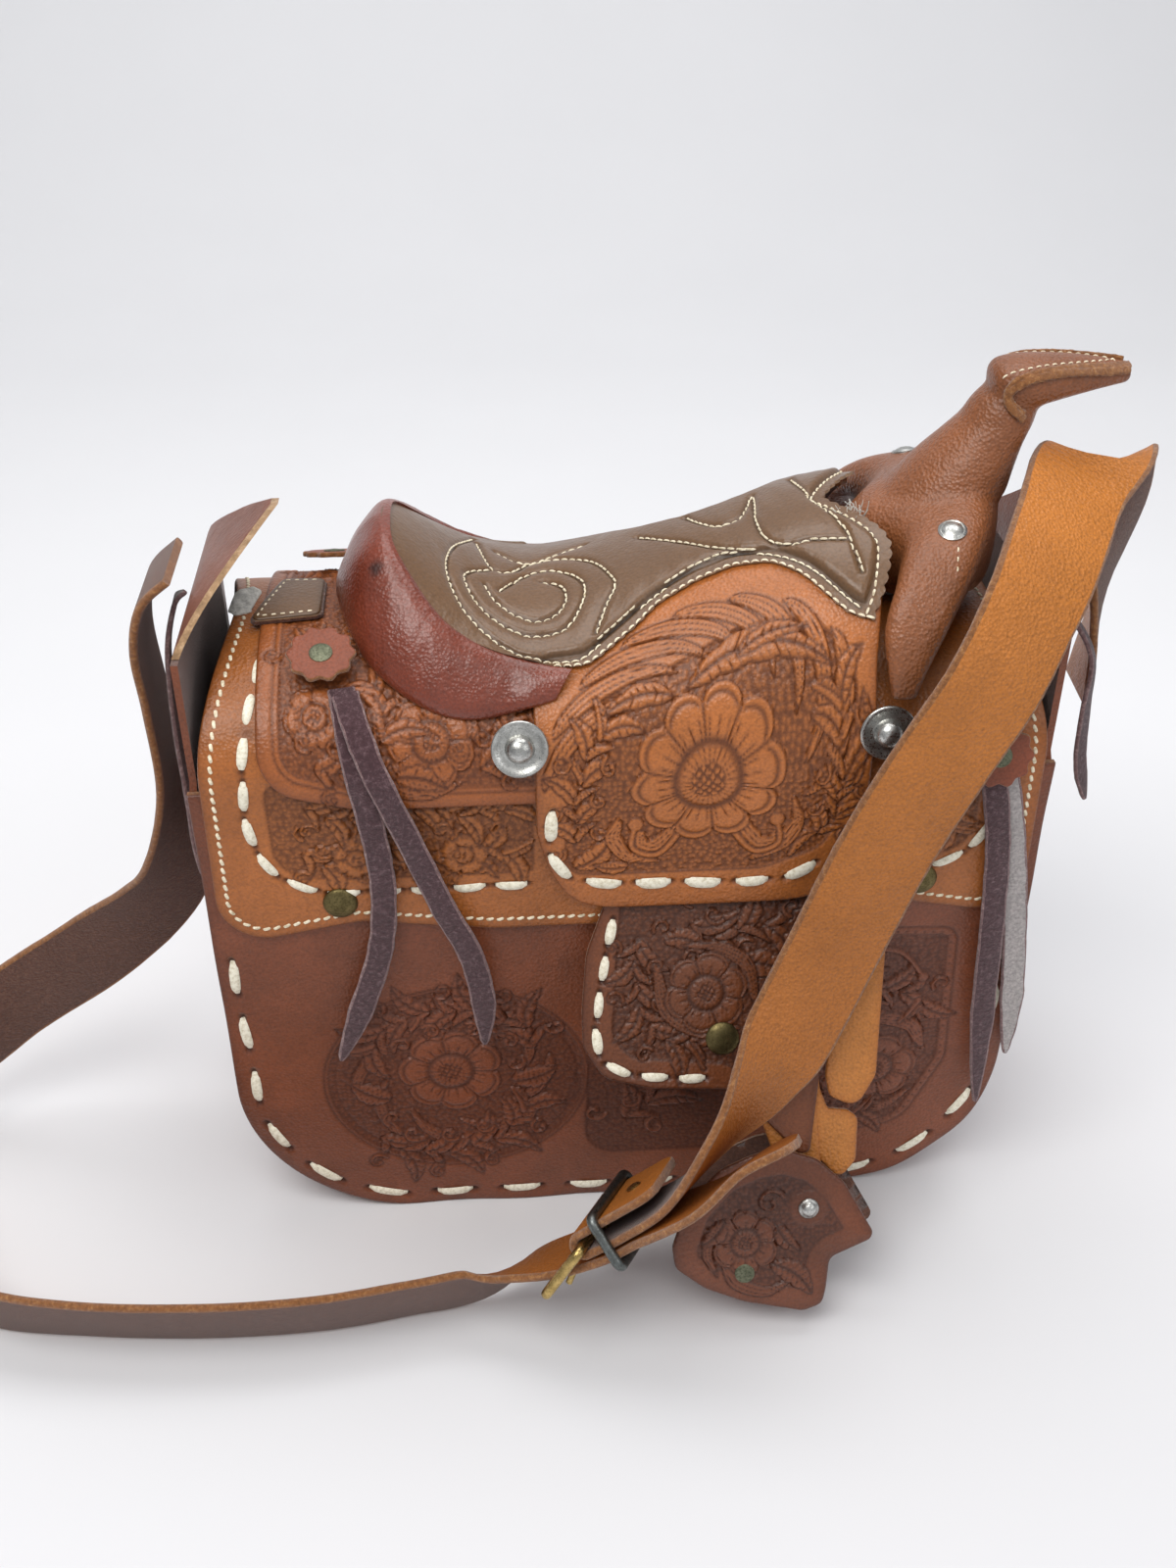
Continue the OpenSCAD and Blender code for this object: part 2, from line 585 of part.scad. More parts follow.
// Places a fitting on the lid's arch: turn 0 faces the front, 180 the back
module on_crown(x, turn, off, rise) {
    p = arch(turn, off, rise);
    q = arch(turn + 1, off, rise);
    translate([x, p[0], p[1]]) rotate([atan2(q[1] - p[1], q[0] - p[0]) - 90, 0, 0]) children();
}
// The same on the saddle's own arch
module on_saddle(x, turn, off) {
    on_crown(x, turn, off, saddle_rise(x)) children();
}
concho_x_shares = [-0.255, 0.6];
concho_turns = [17.5, 11.5];
concho_flat = 1;
module concho_pair() {
    color("silver") for (k = [0, 1])
        on_saddle(concho_x_shares[k] * lid_half, concho_turns[k], seat_off) {
            rotate([90, 0, 0]) cylinder(d = concho_d, h = concho_flat);
            translate([0, -concho_flat - gap / 3, 0]) dome(concho_d * 0.45, concho_flat, concho_d * 0.12);
        }
}
module conchos_front() {
    concho_pair();
}
module conchos_back() {
    mirror([0, 1, 0]) concho_pair();
}

// Rosettes hold the saddle strings
rosette_x_shares = [-0.705, 0.87];
rosette_turns = [57.5, 8];
rosette_r = 11;
rosette_lobes = 10;
rosette_t = 1.8;
module rosette_places(right_stack) {
    stacks = [string_stack, right_stack];
    for (k = [0, 1]) on_crown(rosette_x_shares[k] * lid_half, rosette_turns[k],
        string_seats[k] + stacks[k], crown_rise) children();
}
string_t = 1.6;
string_stack = string_t * 2 + gap * 2;
// The left strings lie on the rear jockey, the right ones on the flap's lacing
string_seats = [jockey_off + jockey_t + gap * 3, flap_off + flap_t + lace_proud + gap];
module rosette_set(right_stack) {
    color("#7A3E2C") rosette_places(right_stack) rotate([90, 0, 0]) linear_extrude(rosette_t)
        polygon([for (k = [0 : 59]) let(a = k * 6, r = rosette_r * (1 - 0.06 * (1 + cos(a * rosette_lobes))))
            [r * cos(a), r * sin(a)]]);
}
module rosettes_front() {
    rosette_set(string_stack);
}
// The back right strings come out through their rosette, so it lies under them on the flap
module rosettes_back() {
    mirror([0, 1, 0]) rosette_set(-lace_proud);
}
module rosette_rivet_set(right_stack) {
    color("#7E8A6E") rosette_places(right_stack) translate([0, -rosette_t - gap / 3, 0])
        dome(rivet_d, gap * 2, gap * 3);
}
module rosette_rivets_front() {
    rosette_rivet_set(string_stack);
}
module rosette_rivets_back() {
    mirror([0, 1, 0]) rosette_rivet_set(-lace_proud);
}

// Saddle strings: two thongs under a rosette, hanging clear of the lid
string_left_shares = [[-0.66, 0.03], [-0.645, 0.1], [-0.61, 0.3], [-0.592, 0.48], [-0.61, 0.66],
    [-0.67, 0.84], [-0.735, 1]];
string_right_shares = [[-0.65, 0.03], [-0.62, 0.1], [-0.54, 0.3], [-0.45, 0.54], [-0.39, 0.68],
    [-0.364, 0.82], [-0.364, 0.957]];
string_drop = 143;
function string_wall(z, off) = z > shoulder_z
    ? -(half_d + off) * pow(max(0, 1 - pow((z - shoulder_z) / (crown_rise + off), 2 / arch_power)),
        arch_power / 2)
    : -half_d - off;
module thong(shares, top, layer, seat) {
    off = seat + string_t / 2 + layer * (string_t + gap);
    st = [for (p = refine(shares, 4)) let(z = top - string_drop * p[1])
        [[p[0] * lid_half, string_wall(z, off), z], [1, 0, 0]]];
    m = len(st) - 1;
    loft([for (i = [0 : m]) let(
        w = string_w * (i == m ? 0.15 : i >= m - 1 ? 0.75 : 1), r = strap_rings(st, w, string_t)) r[i]]);
}
left_top = arch(rosette_turns[0], string_seats[0], crown_rise)[1];
right_top = arch(rosette_turns[1], string_seats[1], crown_rise)[1];
module strings_left_pair() {
    color("#4B3241") {
        thong(string_left_shares, left_top, 0, string_seats[0]);
        thong(string_right_shares, left_top, 1, string_seats[0]);
    }
}
string_near_shares = [[0.86, 0.02], [0.9, 0.22], [0.92, 0.45], [0.935, 0.75], [0.955, 1.05]];
string_far_shares = [[0.89, 0.02], [0.94, 0.22], [0.98, 0.45], [1.01, 0.7], [1.02, 0.9]];
module strings_right_pair(start, seat) {
    function from_start(shares) = [for (p = shares) [p[0], max(p[1], start)]];
    color("#4B3241") {
        thong(from_start(string_near_shares), right_top, 1, seat);
        thong(from_start(string_far_shares), right_top, 0, seat);
    }
}
module strings_front_left() {
    strings_left_pair();
}
module strings_front_right() {
    strings_right_pair(0, string_seats[1]);
}
module strings_back_left() {
    mirror([0, 1, 0]) strings_left_pair();
}
// The rosette leans with the arch, so the strings stand off by its lean
slit_share = 0.04;
slit_off = string_seats[1] - lace_proud + rosette_t + gap + rosette_r * sin(rosette_turns[1]);
module strings_back_right() {
    mirror([0, 1, 0]) strings_right_pair(slit_share, slit_off);
}

// Fork rivets and the snap caps
fork_rivet_turn = 63;
module fork_rivets() {
    color("silver") for (m = [0, 1]) mirror([0, m, 0])
        on_saddle(fork_x, fork_rivet_turn, seat_off + fork_lift * 0.82)
            rotate([0, 0, -25]) dome(rivet_d * 1.3, gap * 2, rivet_d * 0.22);
}
module snap_caps() {
    color("#8A7B52") for (x = snap_places_x)
        translate([x, -half_d - flap_off - flap_t - gap / 3, flap_hem_z + snap_up])
            dome(snap_d, gap * 3, snap_d * 0.14);
}
// The male halves of the snaps stand on the front panel under the caps
module snap_studs() {
    color("#8A7B52") for (x = snap_places_x)
        translate([x, -half_d + panel_t, flap_hem_z + snap_up]) rotate([90, 0, 0]) {
            translate([0, 0, -gap * 2]) cylinder(d = snap_d * 0.7, h = gap * 2);
            cylinder(d = snap_d / 3 - gap, h = panel_t + flap_off + flap_t * 0.8);
        }
}

/* Fender, stirrup leathers and stirrup, drawn flat and then tilted out about the fender's top */
fender_top_z = over_hem_z - gap * 8;
fender_tilt = 24;
fender_shares = [[-0.06, 0], [-0.105, 0.14], [-0.12, 0.32], [-0.12, 0.43], [-0.07, 0.53], [0.05, 0.57],
    [0.26, 0.585], [0.42, 0.8], [0.45, 0.8], [0.49, 0.42], [0.53, 0]];
fender_len = 112;
fender_radii = [0, 0, 0, 4, 6, 0, 6, 2, 2, 0, 0];
module hang_front() {
    translate([0, -half_d - jockey_off, fender_top_z]) rotate([-fender_tilt, 0, 0]) children();
}
// Local frame of the hanging parts: X along the bag, -Y outward, -Z down the leather
module hang_sheet(off, thick) {
    translate([0, -off, 0]) rotate([90, 0, 0]) linear_extrude(thick) children();
}
bolt_x_share = 0.435;
bolt_down_share = 0.95;
bolt_d = 5;
bolt_fit = 0.08;
module bolt_hole() {
    translate([bolt_x_share * lid_half, over, -bolt_down_share * fender_len])
        rotate([90, 0, 0]) cylinder(d = bolt_d + bolt_fit * 2, h = body_d, center = true);
}
module fender_part() {
    hang_sheet(0, jockey_t) polygon(rounded(
        [for (p = fender_shares) [p[0] * lid_half, -p[1] * fender_len]], fender_radii));
}
module front_fender() {
    color("#8A5230") hang_front() fender_part();
}
// Two stirrup leathers hang behind the fender and meet inside the stirrup
leather_shares = [[0.26, 0.3], [0.33, 0.7], [0.385, 0.9], [0.385, 1.04], [0.485, 1.04], [0.485, 0.9],
    [0.46, 0.3]];
second_shares = [[0.44, 0.3], [0.46, 0.66], [0.47, 0.82], [0.53, 0.9], [0.575, 0.84], [0.58, 0.69],
    [0.5, 0.665], [0.48, 0.6], [0.47, 0.3]];
leather_t = 2;
module stirrup_leather_part() {
    difference() {
        union() {
            hang_sheet(-leather_t - gap, leather_t)
                polygon([for (p = leather_shares) [p[0] * lid_half, -p[1] * fender_len]]);
            hang_sheet(-leather_t - gap, leather_t)
                polygon([for (p = second_shares) [p[0] * lid_half, -p[1] * fender_len]]);
        }
        bolt_hole();
    }
}
module stirrup_leathers_front() {
    color("#B98048") hang_front() stirrup_leather_part();
}
// Fender lacing, snap and rivet: place along the bag, place down the fender and turn
fender_lace_shares = [[-0.04, 0.1, 80], [-0.062, 0.22, 75], [-0.078, 0.34, 85], [-0.08, 0.44, 100],
    [-0.03, 0.51, 155], [0.07, 0.535, 178], [0.17, 0.54, 178]];
module fender_lacing_part() {
    translate([0, -jockey_t - lace_proud / 2, 0]) for (p = fender_lace_shares)
        translate([p[0] * lid_half, 0, -p[1] * fender_len]) rotate([0, -p[2], 0])
            cube([lace_len * 0.7, lace_proud, lace_w], center = true);
}
module fender_lacing_front() {
    color("ivory") hang_front() fender_lacing_part();
}
fender_snap_share = [0.23, 0.42];
fender_rivet_share = [0.38, 0.56];
module on_fender(share) {
    translate([share[0] * lid_half, -jockey_t - gap / 3, -share[1] * fender_len]) children();
}
module fender_snap_part() {
    on_fender(fender_snap_share) dome(snap_d, gap * 3, snap_d * 0.14);
    on_fender(fender_rivet_share) dome(rivet_d, gap, gap * 3);
}
module fender_snaps_front() {
    color("#8A7B52") hang_front() fender_snap_part();
}
// Stirrup: a hooded shell, closed along its toe and sole, open at the top and behind
stirrup_shares = [[0.088, 1.06], [0.125, 0.93], [0.21, 0.82], [0.3, 0.775], [0.38, 0.765], [0.46, 0.8],
    [0.53, 0.88], [0.61, 1.06], [0.49, 1.12], [0.48, 1.22], [0.47, 1.27], [0.42, 1.29], [0.27, 1.25],
    [0.17, 1.2], [0.095, 1.13]];
stirrup_radii = [5, 0, 0, 0, 8, 0, 0, 3, 4, 3, 4, 4, 0, 0, 5];
stirrup_mid = -gap - leather_t / 2;
module stirrup_outline() {
    polygon(rounded([for (p = stirrup_shares) [p[0] * lid_half, -p[1] * fender_len]], stirrup_radii));
}
// The hollow leaves a wall of leather along the toe and the sole
hollow_shares = [[0.148, 0.885], [0.21, 0.775], [0.3, 0.73], [0.38, 0.72], [0.46, 0.755], [0.53, 0.835],
    [0.7, 0.9], [0.7, 1.2], [0.496, 1.22], [0.45, 1.26], [0.41, 1.26], [0.27, 1.225], [0.18, 1.175],
    [0.113, 1.11], [0.105, 1.06]];
module stirrup_hollow() {
    polygon([for (p = hollow_shares) [p[0] * lid_half, -p[1] * fender_len]]);
}
module stirrup_part() {
    depth = stirrup_gap / 2 + stirrup_t;
    difference() {
        translate([0, -stirrup_mid, 0]) rotate([90, 0, 0]) linear_extrude(depth * 2, center = true)
            stirrup_outline();
        translate([0, -stirrup_mid, 0]) rotate([90, 0, 0]) linear_extrude(stirrup_gap, center = true)
            stirrup_hollow();
        bolt_hole();
    }
}
module stirrup_front() {
    color("#74402B") hang_front() stirrup_part();
}
sole_rivet_share = [0.27, 1.15];
module stirrup_bolt_part() {
    depth = stirrup_gap / 2 + stirrup_t;
    translate([bolt_x_share * lid_half, -stirrup_mid, -bolt_down_share * fender_len]) {
        rotate([90, 0, 0]) cylinder(d = bolt_d, h = depth * 2 + gap * 4, center = true);
        translate([0, -depth - gap / 3, 0]) dome(rivet_d, gap, rivet_d / 4);
        mirror([0, 1, 0]) translate([0, -depth - gap / 3, 0]) dome(rivet_d, gap, rivet_d / 4);
    }
    translate([sole_rivet_share[0] * lid_half, -stirrup_mid - depth - gap / 3,
        -sole_rivet_share[1] * fender_len]) dome(rivet_d, gap, gap * 2);
}
module stirrup_bolt_front() {
    color("silver") hang_front() stirrup_bolt_part();
}
latigo_shares = [[0.55, 0], [0.49, 0.55], [0.5, 0.62], [0.57, 0.66], [0.62, 0.56], [0.655, 0]];
module latigo_part() {
    hang_sheet(gap, leather_t) polygon([for (p = latigo_shares) [p[0] * lid_half, -p[1] * fender_len]]);
}
module latigo_front() {
    color("#BC8045") hang_front() latigo_part();
}
module hang_back() {
    mirror([0, 1, 0]) hang_front() children();
}
module back_fender() {
    color("#8A5230") hang_back() fender_part();
}
module stirrup_leathers_back() {
    color("#B98048") hang_back() stirrup_leather_part();
}
module fender_lacing_back() {
    color("ivory") hang_back() fender_lacing_part();
}
module fender_snaps_back() {
    color("#8A7B52") hang_back() fender_snap_part();
}
module stirrup_back() {
    color("#74402B") hang_back() stirrup_part();
}
module stirrup_bolt_back() {
    color("silver") hang_back() stirrup_bolt_part();
}
module latigo_back() {
    color("#BC8045") hang_back() latigo_part();
}

/* Shoulder strap: stations are shares of the half width, the half depth and the gusset height */
function place(s) = [s[0] * half_w, s[1] * half_d, s[2] * gusset_top];
// The buckle's middle and its directions: along the strap, along the bar and up
buckle_at = place([-0.095, -2.04, 0.2]);
bar_dir = unit([0.38, 0.86, -0.34]);
run_dir = unit([0.78, -0.1, 0.62] - bar_dir * (bar_dir * [0.78, -0.1, 0.62]));
up_dir = cross(run_dir, bar_dir);
function buckle_place(along, across, up) = buckle_at + run_dir * along + bar_dir * across + up_dir * up;
fold_r = wire_d / 2 + gap + strap_t / 2;
shoulder_shares = [
    [[1.2, 0.11, 0.78], [0.15, 1, 0]], [[1.215, 0.15, 0.88], [0.3, 0.95, 0]],
    [[1.225, 0.15, 0.99], [0.6, 0.8, -0.1]], [[1.215, 0.13, 1.09], [0.85, 0.5, -0.1]],
    [[1.15, 0.02, 1.155], [0.97, 0.1, -0.2]], [[1.055, -0.26, 1.165], [0.96, 0.2, -0.19]],
    [[0.97, -0.67, 1.125], [0.94, 0.2, -0.25]], [[0.88, -1.05, 1.07], [0.93, 0.2, -0.29]],
    [[0.785, -1.29, 0.98], [0.92, 0.1, -0.35]], [[0.68, -1.36, 0.87], [0.9, 0.03, -0.4]],
    [[0.58, -1.38, 0.74], [0.92, 0.03, -0.35]], [[0.485, -1.42, 0.59], [0.93, 0.05, -0.25]],
    [[0.4, -1.56, 0.49], [0.9, 0.2, 0]], [[0.31, -1.78, 0.42], [0.8, 0.5, 0]],
    [[0.2, -2.01, 0.356], [0.6, 0.7, -0.2]], [[0.098, -2.12, 0.283], [0.45, 0.8, -0.3]]];
// The fold's stations lie at these distances along the strap; its end lifts a little off the strap
fold_stops = [6, 14, 23, 31];
fold_lift_share = 0.04;
function fold_stations() = concat(
    [for (k = [1, 0]) [buckle_place(fold_stops[k], 0, -fold_r), bar_dir]],
    [for (k = [0 : 4]) [buckle_place(-fold_r * sin(k * 45), 0, -fold_r * cos(k * 45)), bar_dir]],
    [for (a = fold_stops) [buckle_place(a, 0, fold_r + a * fold_lift_share), bar_dir]]);
module buckle_strap() {
    main = refine_stations(concat([for (s = shoulder_shares) [place(s[0]), unit(s[1])]],
        [fold_stations()[0]]), 2);
    tail = fold_stations();
    all = concat(main, [for (i = [1 : len(tail) - 1]) tail[i]]);
    color("#B0703A") difference() {
        loft(strap_rings(all, strap_w, strap_t));
        buckle_frame_at() translate([-fold_r * 0.4, 0, 0])
            cube([fold_r * 3, prong_d + gap * 4, fold_r * 4], center = true);
    }
}
billet_shares = [
    [[0.364, -2.17, 0.382], [0.5, 0.75, -0.42]], [[0.259, -2.2, 0.347], [0.5, 0.75, -0.42]],
    [[0.15, -2.245, 0.291], [0.43, 0.83, -0.37]]];
billet_drop = fold_r + strap_t + gap * 3;
billet_stops = [16, 3, -15];
billet_rise_share = 0.6;
floor_shares = [
    [[-0.275, -2.02, 0.115], [0.35, 0.78, -0.5]], [[-0.4, -2.02, 0.079], [0.1, 0.45, -0.9]],
    [[-0.56, -2.08, 0.0745], [0.1, 0.42, -0.9]], [[-0.78, -2.16, 0.0745], [0.05, 0.4, -0.9]],
    [[-1.05, -2.17, 0.0745], [-0.05, 0.4, -0.9]], [[-1.35, -2.1, 0.0745], [-0.05, 0.4, -0.9]],
    [[-1.6, -1.95, 0.0745], [-0.1, 0.35, -0.92]], [[-1.8, -1.6, 0.0755], [-0.2, 0.3, -0.92]],
    [[-1.91, -1.1, 0.079], [-0.2, 0.2, -0.95]], [[-1.93, -0.6, 0.09], [-0.2, 0.15, -0.95]],
    [[-1.84, -0.1, 0.14], [-0.15, 0, -0.98]], [[-1.68, 0.12, 0.225], [0.15, 0.05, -0.95]],
    [[-1.4, 0.16, 0.34], [0.4, 0.1, -0.9]], [[-1.2, 0.12, 0.45], [0.75, 0.45, -0.5]],
    [[-1.125, 0.06, 0.56], [0.6, 0.8, -0.1]], [[-1.115, 0.03, 0.7], [0.1, 1, 0]],
    [[-1.125, 0.02, 0.84], [0, 1, 0]], [[-1.13, 0, 0.94], [0, 1, 0]], [[-1.1, 0, 1.01], [0, 1, 0]],
    [[-1.03, 0, 1.05], [0, 1, 0]]];
module billet_strap() {
    st = concat([for (s = billet_shares) [place(s[0]), unit(s[1])]],
        [for (k = [0 : 2]) [buckle_place(billet_stops[k], 0,
            -billet_drop * (k == 2 ? billet_rise_share : 1)), bar_dir]],
        [for (s = floor_shares) [place(s[0]), unit(s[1])]]);
    color("#7A4A34") difference() {
        loft(strap_rings(refine_stations(st, 2), strap_w, strap_t));
        buckle_frame_at() translate([-prong_d * 4.5, 0, -billet_drop * 0.7])
            cube([prong_d * 4, prong_d + gap * 4, strap_t * 4], center = true);
    }
}
module buckle_frame_at() {
    multmatrix([[run_dir[0], bar_dir[0], up_dir[0], buckle_at[0]],
        [run_dir[1], bar_dir[1], up_dir[1], buckle_at[1]],
        [run_dir[2], bar_dir[2], up_dir[2], buckle_at[2]]]) children();
}
// Buckle: heel bar inside the strap's fold, side arms and a front bar below the billet
frame_len = 20;
corner_ball = 1.12;
frame_half = strap_w / 2 + wire_d;
front_bar_low = -billet_drop * billet_rise_share - strap_t / 2 - gap - wire_d / 2;
module wire(a, b, d) {
    v = b - a;
    translate(a) rotate([0, acos(v[2] / norm(v)), atan2(v[1], v[0])]) cylinder(d = d, h = norm(v));
}
module buckle_frame() {
    corners = [[0, -frame_half, 0], [0, frame_half, 0],
        [-frame_len, frame_half, front_bar_low], [-frame_len, -frame_half, front_bar_low]];
    color("#B08D3E") buckle_frame_at() for (k = [0 : 3]) {
        wire(corners[k], corners[(k + 1) % 4], wire_d);
        translate(corners[k]) sphere(d = wire_d * corner_ball);
    }
}
// The prong turns about the heel bar and lies on the front bar through the billet
prong_d = 2.4;
prong_fit = 0.06;
module buckle_prong() {
    eye = wire_d / 2 + prong_fit;
    tip = [-frame_len - wire_d / 2, 0, front_bar_low - wire_d / 2 - prong_d - gap * 3];
    color("#B08D3E") buckle_frame_at() {
        rotate([90, 0, 0]) difference() {
            cylinder(r = eye + gap * 3, h = prong_d, center = true);
            cylinder(r = eye, h = over, center = true);
        }
        wire([-eye - gap, 0, 0], tip, prong_d);
    }
}
// The keeper loop holds the billet against the strap
keeper_along = 9;
keeper_d = 3;
module keeper_loop() {
    top = fold_r + keeper_along * fold_lift_share + strap_t / 2 + gap + keeper_d / 2;
    low = -billet_drop - strap_t / 2 - gap * 2.5 - keeper_d / 2;
    side = strap_w / 2 + gap + keeper_d / 2;
    corners = [[0, -side, top], [0, side, top], [0, side, low], [0, -side, low]];
    color("#4A4C4C") buckle_frame_at() translate([keeper_along, 0, 0]) for (k = [0 : 3]) {
        wire(corners[k], corners[(k + 1) % 4], keeper_d);
        translate(corners[k]) sphere(d = keeper_d * corner_ball);
    }
}
fold_rivet_along = 19;
module fold_rivet() {
    up = fold_r + fold_rivet_along * fold_lift_share + strap_t / 2 + gap / 3;
    color("#C7A64A") buckle_frame_at() translate([fold_rivet_along, 0, up])
        rotate([-90, 0, 0]) dome(rivet_d * 0.8, gap, gap * 3);
}

// End ties: a thong through the strap's end and the gusset's tongue, with hanging tails
tie_w = 6;
tie_t = 1.8;
tie_left_shares = [[[-1.02, 0.02, 1], [0, 1, 0]], [[-1.04, -0.04, 0.985], [0, 1, 0]],
    [[-1.065, -0.1, 0.92], [0, 1, 0]], [[-1.07, -0.13, 0.8], [0.2, 1, 0]],
    [[-1.06, -0.15, 0.66], [0.5, 0.8, 0]], [[-1.06, -0.17, 0.54], [0.8, 0.6, 0]]];
tie_right_shares = [[[1.04, 0.02, 0.97], [0, 1, 0]], [[1.105, -0.13, 0.94], [0.2, 1, 0]],
    [[1.163, -0.25, 0.88], [0.4, 0.9, 0]], [[1.164, -0.29, 0.8], [0.7, 0.7, 0]],
    [[1.175, -0.28, 0.71], [0.8, 0.5, 0]], [[1.21, -0.26, 0.63], [0.8, 0.5, 0]]];
module tie(shares) {
    f = refine_stations([for (s = shares) [place(s[0]), unit(s[1])]], 3);
    loft(strap_rings(f, tie_w, tie_t));
}
module tie_left() {
    color("#4B3241") tie(tie_left_shares);
}
module tie_right() {
    color("#4B3241") tie(tie_right_shares);
}

front_panel();
back_panel();
gusset();
gusset_tab_left();
gusset_tab_right();
front_lacing();
back_lacing();
snap_studs();
flap_back_lower();
center_jockey_back_lower();
tie_left();
tie_right();
buckle_strap();
billet_strap();
buckle_frame();
keeper_loop();
fold_rivet();
buckle_prong();
flap();
flap_lacing();
snap_caps();
rear_jockey();
center_jockey_front();
center_jockey_back();
jockey_lacing_front();
saddle_tree();
seat();
seat_lap();
cantle();
fork();
fork_rivets();
horn();
conchos_front();
conchos_back();
rosettes_front();
rosettes_back();
rosette_rivets_front();
rosette_rivets_back();
strings_front_left();
strings_front_right();
strings_back_left();
strings_back_right();
front_fender();
stirrup_leathers_front();
fender_lacing_front();
fender_snaps_front();
stirrup_front();
stirrup_bolt_front();
latigo_front();
back_fender();
stirrup_leathers_back();
fender_lacing_back();
fender_snaps_back();
stirrup_back();
stirrup_bolt_back();
latigo_back();
jockey_lacing_back();
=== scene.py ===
# Looks of the saddle handbag: leather sheets with tooled relief, lacing, stitching, straps and fittings.
import math
import bpy
import numpy as np
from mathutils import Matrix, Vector, geometry, kdtree
from mathutils.bvhtree import BVHTree


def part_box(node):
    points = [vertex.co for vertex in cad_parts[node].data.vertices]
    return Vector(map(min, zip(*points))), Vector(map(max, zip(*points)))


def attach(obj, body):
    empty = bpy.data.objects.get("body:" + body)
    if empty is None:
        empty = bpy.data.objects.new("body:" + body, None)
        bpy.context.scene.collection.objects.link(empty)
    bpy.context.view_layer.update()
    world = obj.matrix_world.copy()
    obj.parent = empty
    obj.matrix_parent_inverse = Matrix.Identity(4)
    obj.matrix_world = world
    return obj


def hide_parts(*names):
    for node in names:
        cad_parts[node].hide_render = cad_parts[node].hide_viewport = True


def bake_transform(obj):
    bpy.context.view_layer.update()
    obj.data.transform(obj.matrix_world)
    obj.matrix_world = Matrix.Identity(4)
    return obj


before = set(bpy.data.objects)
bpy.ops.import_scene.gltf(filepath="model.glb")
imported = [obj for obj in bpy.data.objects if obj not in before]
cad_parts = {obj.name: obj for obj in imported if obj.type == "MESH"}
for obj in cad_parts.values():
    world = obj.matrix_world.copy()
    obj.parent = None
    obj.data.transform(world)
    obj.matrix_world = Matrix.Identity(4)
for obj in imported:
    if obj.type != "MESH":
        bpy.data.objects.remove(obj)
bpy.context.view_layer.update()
# Lengths below are in millimetres; meshes are made in metres
MM = 0.001
panel_low, panel_high = (np.array(v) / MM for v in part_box("front_panel"))
HALF_W, HALF_D, PANEL_H = panel_high[0], -panel_low[1], panel_high[2]
PANEL_T, CORNER_R, TURN_W, SHOULDER, CROWN, POWER = 2.4, 62.0, 9.0, 190.0, 33.0, 0.91
FOOT_DRAW = CORNER_R / 24
GUSSET_TOP, TONGUE_FOOT, STRING_LEN = 232.0, 232.3, 143
LID, FLAP_T, HEM, INSET, FLAP_R, JOCKEY_T, GAP = 135.5, 2.5, 132.0, 9.0, 16.0, 2.0, 0.3
FLAP_OFF, JOCKEY_OFF, OVER_OFF, SEAT_OFF, SEAT_T = 0.3, 3.1, 5.4, 7.7, 3.0
CANTLE_X, DIP_X, FORK_X = -0.539 * LID, -0.192 * LID, 0.745 * LID
CANTLE_REACH, CANTLE_HALF = 56, 5.5
SEAT_RISE, CANTLE_RISE, FORK_RISE = CROWN + GAP, 24.0, 31.0
FENDER_TOP, TILT, FENDER_LEN = 139.6, math.radians(24), 112.0
CAM_YAW, CAM_PITCH, CAM_FAR, CAM_AIM = math.radians(-4), math.radians(33), 600.0, (-9, 0, 151)
# The photo's frame is 1200 by 1600; the focal length is in its pixels
PHOTO_MIDDLE, PHOTO_FOCAL = (600, 800), 1700
rng = np.random.RandomState(7)


def mix(a, b, s):
    return a + (b - a) * s


def smooth(s):
    s = np.clip(s, 0, 1)
    return s * s * (3 - 2 * s)


def unit(v):
    v = np.asarray(v, float)
    return v / np.maximum(np.linalg.norm(v, axis=-1, keepdims=True), 1e-9)


def spans(c):
    """Distances between a path's neighbouring points."""
    return np.linalg.norm(np.diff(c, axis=0), axis=1)


def travelled(c):
    """Distance along a path at each of its points."""
    return np.concatenate([[0], np.cumsum(spans(c))])


def headings(c):
    return unit(np.gradient(c, axis=0))


def refine(points, steps):
    """Catmull-Rom curve through points."""
    p = np.asarray(points, float)
    n = len(p) - 1
    out = []
    for i in range(n):
        a, b, c, d = p[max(i - 1, 0)], p[i], p[i + 1], p[min(i + 2, n)]
        for k in range(steps):
            s = k / steps
            out.append((b * 2 + (c - a) * s + (a * 2 - b * 5 + c * 4 - d) * s * s
                        + (b * 3 - a - c * 3 + d) * s ** 3) / 2)
    return np.array(out + [p[n]])


def at_share(table, s):
    """A table of numbers read along a smooth curve; s runs from 0 to 1."""
    t = refine(table, 16)
    x = np.clip(np.asarray(s, float), 0, 1) * (len(t) - 1)
    return np.stack([np.interp(x, np.arange(len(t)), t[:, k]) for k in range(t.shape[1])], -1)


def lookup(table, x):
    t = np.asarray(table, float)
    return np.interp(x, t[:, 0], t[:, 1])


def swell(v):
    return np.sign(v) * np.abs(v) ** POWER


def arch(turn, off, rise):
    q = np.radians(turn)
    return -(HALF_D + off) * swell(np.cos(q)), SHOULDER + (rise + off) * swell(np.sin(q))


TURNS = np.linspace(0, 180, 1441)
arch_y, arch_z = arch(TURNS, 0, CROWN)
ARC = np.concatenate([[0], np.cumsum(np.hypot(np.diff(arch_y), np.diff(arch_z)))])
OVER_TOP = ARC[-1]


def t_of_turn(turn):
    return np.interp(turn, TURNS, ARC)


def crown_rise(x):
    return CROWN + 0 * x


